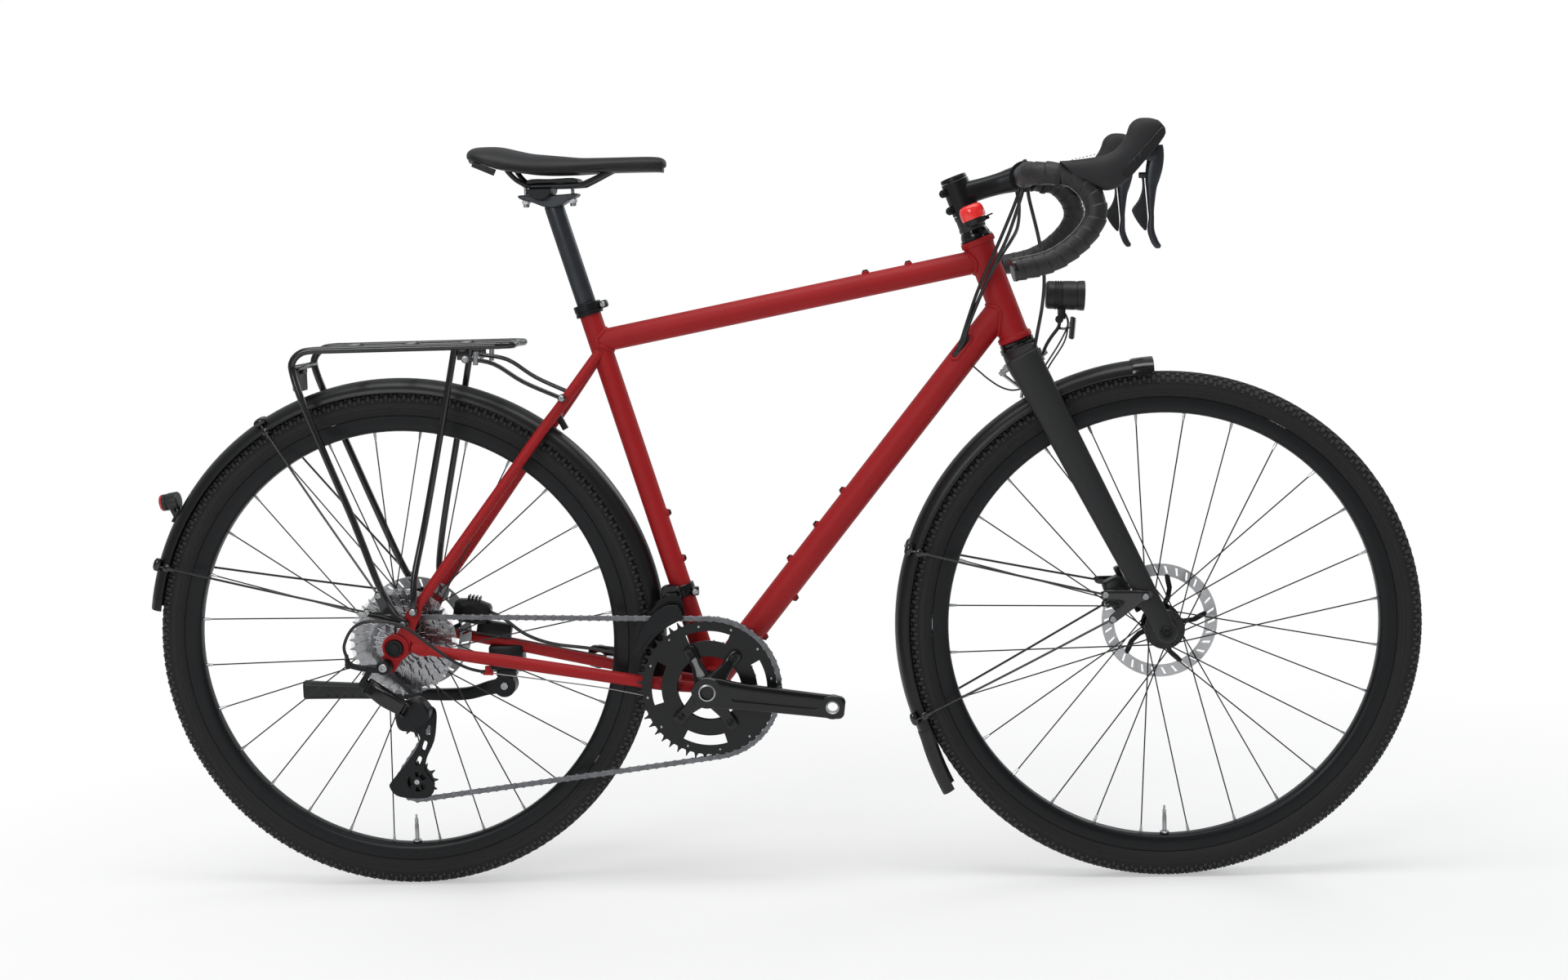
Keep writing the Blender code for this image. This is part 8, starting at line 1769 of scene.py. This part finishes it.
rear_outline = [(0.024, 0.389), (0.018, 0.3812), (-0.007, 0.39), (-0.032, 0.3989), (-0.0375, 0.4044),
    (-0.032, 0.4099), (-0.014, 0.406), (-0.02, 0.4234), (-0.0192, 0.4314), (-0.0122, 0.4324),
    (0.002, 0.406)]
body, heads = stay_plate(rear_outline, -0.0915, ((-0.0152, 0.4274), (-0.032, 0.4044), (0.017, 0.387)))
rear_stays = joined([stay((-0.0152, -0.0915, 0.4274), rear_axle, 121.0),
    stay((-0.032, -0.0915, 0.4044), rear_axle, 161.5), body])
settle(rear_stays, "rear_stays_and_plates", "frame", enamel, "rear_mudguard_stays", smooth=45)
settle(heads, "rear_stay_bolts", "frame", bright_steel)
front_outline = [(1.033, 0.399), (1.031, 0.409), (0.974, 0.411), (0.9685, 0.4055), (0.974, 0.4),
    (1.0, 0.396), (0.98, 0.3765), (0.979, 0.368), (0.987, 0.3675), (1.022, 0.394)]
body, heads = stay_plate(front_outline, -0.0655, ((0.974, 0.4055), (0.9835, 0.372), (1.0275, 0.402)))
front_stays = joined([stay((0.974, -0.0655, 0.4055), front_axle, 161.5),
    stay((0.9835, -0.0655, 0.372), front_axle, 199.5), body])
settle(front_stays, "front_stays_and_plates", "front_end", enamel, "front_mudguard_stays", smooth=45)
settle(heads, "front_stay_bolts", "front_end", bright_steel)
print("mudguards hung")

# %% [markdown]
# ## Rack, tail lamp and reflector
# The rack is bent tube, so it is drawn like the stays of the frame: tubes on smooth routes, and
# plain bars across. The tail lamp sits on the mudguard, and a reflector on an upright board
# stands at the tail of the deck.

# %% Rack
rail_height = 0.763
deck = [(0.172, -0.02), (0.176, -0.042), (0.162, -0.053), (0.138, -0.056), (-0.06, -0.056),
    (-0.096, -0.056)]
side_rail = [Vector((x, y, rail_height)) for x, y in deck]
side_rail += [Vector(p) for p in ((-0.115, -0.056, 0.76), (-0.127, -0.056, 0.749),
    (-0.128, -0.056, 0.733), (-0.115, -0.06, 0.691), (-0.085, -0.0625, 0.613), (-0.051, -0.065, 0.5256),
    (-0.017, -0.076, 0.437), (0.006, -0.0831, 0.4), (0.015, -0.0831, 0.391))]
strut = [Vector(p) for p in ((0.0985, -0.056, 0.762), (0.075, -0.06, 0.648), (0.048, -0.064, 0.5235),
    (0.033, -0.0775, 0.452), (0.0312, -0.0831, 0.419), (0.0297, -0.0831, 0.403))]
arm = [Vector(p) for p in ((0.11, -0.054, 0.7465), (0.15, -0.052, 0.738), (0.19, -0.049, 0.712),
    (0.241, -0.0455, 0.688))]
tubes = [bent(smooth_route(side_rail, 5), 0.005, None, 5), bent(smooth_route(strut, 5), 0.0046, None, 4),
    bent(smooth_route(arm, 5), 0.003, None, 4), block((0.11, -0.0548, 0.7535), (0.018, 0.0042, 0.018), Z,
    X, 0.001), rod((0.241, -0.0425, 0.688), (0.241, -0.0475, 0.688), 0.0056, 20)]
for x, z in ((0.0297, 0.4025), (0.017, 0.387)):
    tubes.append(rod((x, -0.0795, z), (x, -0.0868, z), 0.0062, 24))
cross = [rod((x, -0.056, rail_height), (x, 0.056, rail_height), 0.0042, 20) for x in (0.099, 0.02, -0.06)]
cross += [rod((0.172, -0.0205, rail_height), (0.172, 0.0205, rail_height), 0.005, 24),
    rod((-0.1275, -0.056, 0.739), (-0.1275, 0.056, 0.739), 0.0042, 20)]
rack = joined([both_sides(joined(tubes)), *cross])
settle(rack, "tubular_rack", "frame", enamel, "rear_rack", smooth=45)
heads = [turned([(0, 0.084), (0.0044, 0.084), (0.0044, 0.0884), (0.0036, 0.0892), (0.0022, 0.0892),
    (0.002, 0.0876), (0, 0.0876)], (x, 0, z), -Y, 20) for x, z in ((0.0297, 0.4025), (0.017, 0.387))]
heads.append(turned([(0, 0.047), (0.0042, 0.047), (0.0042, 0.05), (0.0032, 0.0508), (0, 0.0508)],
    (0.241, 0, 0.688), -Y, 20))
heads.append(turned([(0, 0.056), (0.0056, 0.056), (0.0056, 0.058), (0.004, 0.0602), (0, 0.0606)],
    (0.1124, 0, 0.7457), -Y, 24))
heads.append(rod((0.1262, -0.056, 0.737), (0.1272, -0.056, 0.755), 0.0036, 20))
settle(both_sides(joined(heads)), "rack_bolts", "frame", bright_steel)

# %% Tail lamp
seat = polar(rear_axle, 150.5, 0.3684)
away = polar(Vector(), 150.5, 1.0)
along = Vector((-away.z, 0, away.x))
foot = block(seat + away * 0.0016, (0.02, 0.014, 0.0036), away, along, 0.001)
arm = bent([seat + away * 0.002, seat + Vector((-0.0065, 0, 0.009)), seat + Vector((-0.01, 0, 0.015))],
    0.0045, [1.1, 0.9, 1.0], 4)
case = turned([(0, 0.0036), (0.011, 0.0036), (0.0118, 0.0046), (0.0118, 0.009), (0.0106, 0.0096),
    (0.0106, 0.0112), (0.0122, 0.0118), (0.0125, 0.014), (0.0125, 0.025), (0.0112, 0.0268), (0, 0.0272)],
    seat + Vector((-0.0228, 0, 0.0184)), (0.988, 0, 0.152), 40)
settle(joined([foot, arm, case]), "tail_lamp_case", "frame", black_plastic, "tail_light")
lens = turned([(0, -0.0008), (0.007, -0.0006), (0.0106, 0.0004), (0.0117, 0.0018), (0.0117, 0.004),
    (0, 0.004)], seat + Vector((-0.0228, 0, 0.0184)), (0.988, 0, 0.152), 40)
settle(lens, "tail_lamp_lens", "frame", lens_red, "tail_light")

# %% [markdown]
# ## Brake calipers and hoses
# Each caliper is a forged block astride the disc, with cooling fins and a round piston cap. The
# hose of the rear one runs forward on top of the left stay.

# %% Calipers


def caliper(name, body, node, centre, along, out, lengths, foot, disc_axle, disc_y):
    """A block with rounded shoulders, fins and two bolts, slotted for the disc."""
    thick, wide, tall = lengths
    half = skin([oval(centre + along * tall * share, out, Y, thick * high, wide * broad, 32, 3.6)
        for share, high, broad in ((-0.5, 0.34, 0.34), (-0.44, 0.44, 0.43), (-0.2, 0.5, 0.5),
        (0.2, 0.5, 0.5), (0.44, 0.42, 0.44), (0.5, 0.3, 0.34))])
    room = rod(disc_axle + Y * (disc_y - 0.0016), disc_axle + Y * (disc_y + 0.0016), 0.0835, 72)
    fins = [block(centre + out * (thick * 0.5 + 0.0022) + along * (n - 1.5) * 0.0052,
        (0.0075, wide * 0.55, 0.0018), along, out, 0.0004) for n in range(4)]
    piston = rod(centre - Y * (wide / 2 + 0.0004), centre + Y * (wide / 2 + 0.0006),
        min(thick, tall) * 0.33, 32)
    piece = carved(joined([half, foot, piston]), room, overlapping=True)
    settle(joined([piece, *fins]), name, body, black_alloy, node)
    heads = [turned([(0, 0), (0.004, 0), (0.004, 0.003), (0.0032, 0.0038), (0.002, 0.0038),
        (0.0018, 0.002), (0, 0.002)], centre + along * tall * share + Y * wide * 0.46, Y, 20)
        for share in (-0.34, 0.34)]
    settle(joined(heads), name + "_bolts", body, bright_steel)


rear_along, rear_out = Vector((0.983, 0, -0.184)), Vector((0.184, 0, 0.983))
rear_foot = block((0.112, 0.0632, 0.3515), (0.022, 0.014, 0.05), rear_along, rear_out, 0.002)
rear_hose = bent(smooth_route([(0.108, 0.0527, 0.3785), (0.128, 0.0497, 0.369), (0.16, 0.042, 0.347),
    (0.2, 0.0375, 0.333), (0.26, 0.034, 0.325), (0.33, 0.0285, 0.31)], 6), 0.0025, None, 4)
left_stay = bent(smooth_route([(x, -y, z) for x, y, z in chain_route]), 0.0092, chain_sizes, 5)
rear_foot = carved(rear_foot, left_stay)
caliper("rear_disc_caliper", "frame", "rear_caliper", Vector((0.083, 0.0557, 0.379)), rear_along,
    rear_out, (0.034, 0.029, 0.052), rear_foot, rear_axle, 0.0557)
settle(rear_hose, "rear_brake_hose", "frame", cable_skin, smooth=60)
upper_crown = on_steerer(0.4127)
blade_way = (front_axle - upper_crown).normalized()
blade_back = Vector((blade_way.z, 0, -blade_way.x))
spot = upper_crown.lerp(front_axle, 0.86)
front_foot = block(spot + blade_back * 0.0197 + Y * 0.0507, (0.008, 0.0195, 0.07), blade_way, blade_back,
    0.002)
caliper("front_disc_caliper", "front_end", "front_caliper", spot + blade_back * 0.033 + Y * 0.0395,
    blade_way, blade_back, (0.035, 0.029, 0.052), front_foot, front_axle, 0.0395)

# %% Gear housing at the rear
loop_route = [(-0.063, -0.093, 0.34), (-0.0655, -0.0945, 0.36), (-0.05, -0.0985, 0.385),
    (-0.023, -0.1005, 0.3935), (0.017, -0.0985, 0.386), (0.05, -0.09, 0.359), (0.076, -0.08, 0.336),
    (0.1, -0.071, 0.3205), (0.126, -0.0632, 0.3122), (0.19, -0.0545, 0.301), (0.28, -0.044, 0.285),
    (0.345, -0.036, 0.27)]
housing = bent(smooth_route(loop_route[:9], 6), 0.0022, None, 4)
inner_wire = bent(smooth_route([Vector(p) for p in loop_route[8:]], 4), 0.0009, None, 2)
ferrules = [rod(loop_route[0], (-0.0636, -0.0933, 0.3465), 0.0028, 16),
    rod((0.1165, -0.066, 0.3145), (0.1262, -0.0632, 0.3122), 0.0028, 16)]
settle(joined([housing, *ferrules]), "rear_gear_housing", "frame", cable_skin, "derailleur_cable",
    smooth=60)
settle(inner_wire, "rear_gear_wire", "frame", bright_steel, "derailleur_cable", smooth=60)

# %% [markdown]
# ## Kickstand
# The stand is a forged leg on a pivot under a bracket bolted to the left stay. It is folded up.
# A row of small holes near its foot takes the screw that sets its length.

# %% Leg, foot and bracket
kick = Vector((0.125, 0.062, 0.2705))
leg_rows = smooth_rows([(0.118, 0.062, 0.269, 0.011, 0.008), (0.098, 0.063, 0.2655, 0.01, 0.0082),
    (0.07, 0.068, 0.2575, 0.009, 0.0084), (0.035, 0.0722, 0.2552, 0.0086, 0.0086),
    (0, 0.076, 0.2558, 0.0084, 0.0088), (-0.06, 0.0828, 0.2576, 0.0086, 0.0086),
    (-0.076, 0.0848, 0.259, 0.009, 0.0084)], 5)
leg = skin([oval(Vector((x, y, z)), Z, Y, tall, wide * 0.78, 24, 4.4)
    for x, y, z, tall, wide in leg_rows])
holes = [rod((-0.079 - 0.0125 * n, 0.06, 0.2535 + 0.0002 * n),
    (-0.079 - 0.0125 * n, 0.12, 0.2535 + 0.0002 * n), 0.0019, 14) for n in range(6)]
foot_rows = smooth_rows([(-0.071, 0.0842, 0.259, 0.0098, 0.0076),
    (-0.0735, 0.0845, 0.2592, 0.0108, 0.0082), (-0.11, 0.0885, 0.2598, 0.0116, 0.0084),
    (-0.145, 0.092, 0.2602, 0.0124, 0.0088), (-0.17, 0.0948, 0.2606, 0.0132, 0.0094),
    (-0.178, 0.0954, 0.2608, 0.0136, 0.0096), (-0.18, 0.0956, 0.2608, 0.0126, 0.0088)], 3)
foot = carved(skin([oval(Vector(row[:3]), Z, Y, row[3], row[4], 24, 4.0) for row in foot_rows]), *holes)
eye = turned([(0, -0.008), (0.015, -0.008), (0.016, -0.0072), (0.016, 0.0072), (0.015, 0.008),
    (0, 0.008)], kick, Y, 40)
settle(joined([leg, eye]), "kickstand_leg_forged", "kickstand", black_alloy, "kickstand_leg", smooth=40)
settle(foot, "kickstand_foot", "kickstand", black_plastic, "kickstand_leg", smooth=50)
cheeks = [rod(kick + Y * side * 0.009, kick + Y * side * 0.013, 0.0163, 40) for side in (-1, 1)]
clamp_block = block((0.129, 0.063, 0.3115), (0.05, 0.03, 0.036), Z, X, 0.004)
neck = block((0.1275, 0.0645, 0.29), (0.029, 0.0215, 0.015), Z, X, 0.0025)
clamp_block = carved(clamp_block, bent(smooth_route([(x, -y, z) for x, y, z in chain_route]), 0.0091,
    chain_sizes, 5))
settle(joined([clamp_block, neck, *cheeks]), "kickstand_clamp", "frame", black_alloy, "kickstand_bracket")
pin = turned([(0, -0.015), (0.005, -0.015), (0.0056, -0.0142), (0.0056, -0.0128), (0.0036, -0.0128),
    (0.0036, 0.0128), (0.0056, 0.0128), (0.0056, 0.0142), (0.003, 0.015), (0, 0.014)], kick, Y, 32)
clamp_bolts = [turned([(0, 0), (0.0042, 0), (0.0042, 0.0032), (0.0032, 0.004), (0, 0.004)],
    (x, 0.063, 0.2935), -Z, 6) for x in (0.109, 0.148)]
settle(joined([pin, *clamp_bolts]), "kickstand_bolts", "frame", bright_steel)
print("kickstand folded")

# %% [markdown]
# ## Small wires and reflectors
# The dynamo wire of the lamps leaves the down tube, sags and climbs the back of the crown. It
# bridges frame and fork. The wires of the headlight and the reflector on the rack are small,
# but the eye finds them.

# %% Wires and the rack's reflector
wire = bent(smooth_route([(0.802, -0.01, 0.7185), (0.805, -0.012, 0.714), (0.8137, -0.012, 0.706),
    (0.8237, -0.012, 0.6972), (0.8388, -0.012, 0.6868), (0.854, -0.012, 0.6815), (0.868, -0.01, 0.6825)],
    6), 0.0012, None, 3)
wire.name = wire.data.name = "dynamo_wire"
wire.data.materials.append(cable_skin)
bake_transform(wire)
lamp_wires = [bent(smooth_route([lamp_pivot + Vector((0.008, y, 0.008)),
    lamp_pivot + Vector((0.011, y, -0.006)), lamp_pivot + Vector((0.006 - shift, y, -0.03)),
    Vector((0.909 - shift, y, 0.717)), Vector((0.899 - shift, y, 0.701)),
    Vector((0.89 - shift, y * 0.5, 0.693))], 6), 0.0012, None, 3)
    for y, shift in ((-0.0085, 0.0), (-0.0125, 0.006))]
settle(joined(lamp_wires), "headlight_wires", "front_end", cable_skin, smooth=60)
reflector_spot = Vector((-0.134, 0, 0.722))
board = block(reflector_spot, (0.006, 0.052, 0.036), Z, X, 0.002)
facet = block(reflector_spot - X * 0.0036, (0.0024, 0.048, 0.032), Z, X, 0.001)
bracket_tab = block(reflector_spot + Vector((0.005, 0, 0.012)), (0.006, 0.02, 0.01), Z, X, 0.001)
settle(joined([board, bracket_tab]), "rack_reflector_board", "frame", black_plastic)
settle(facet, "rack_reflector", "frame", lens_red)
shown = [o for o in bpy.data.objects if o.type == "MESH" and not o.hide_render]
print("pieces shown", len(shown))
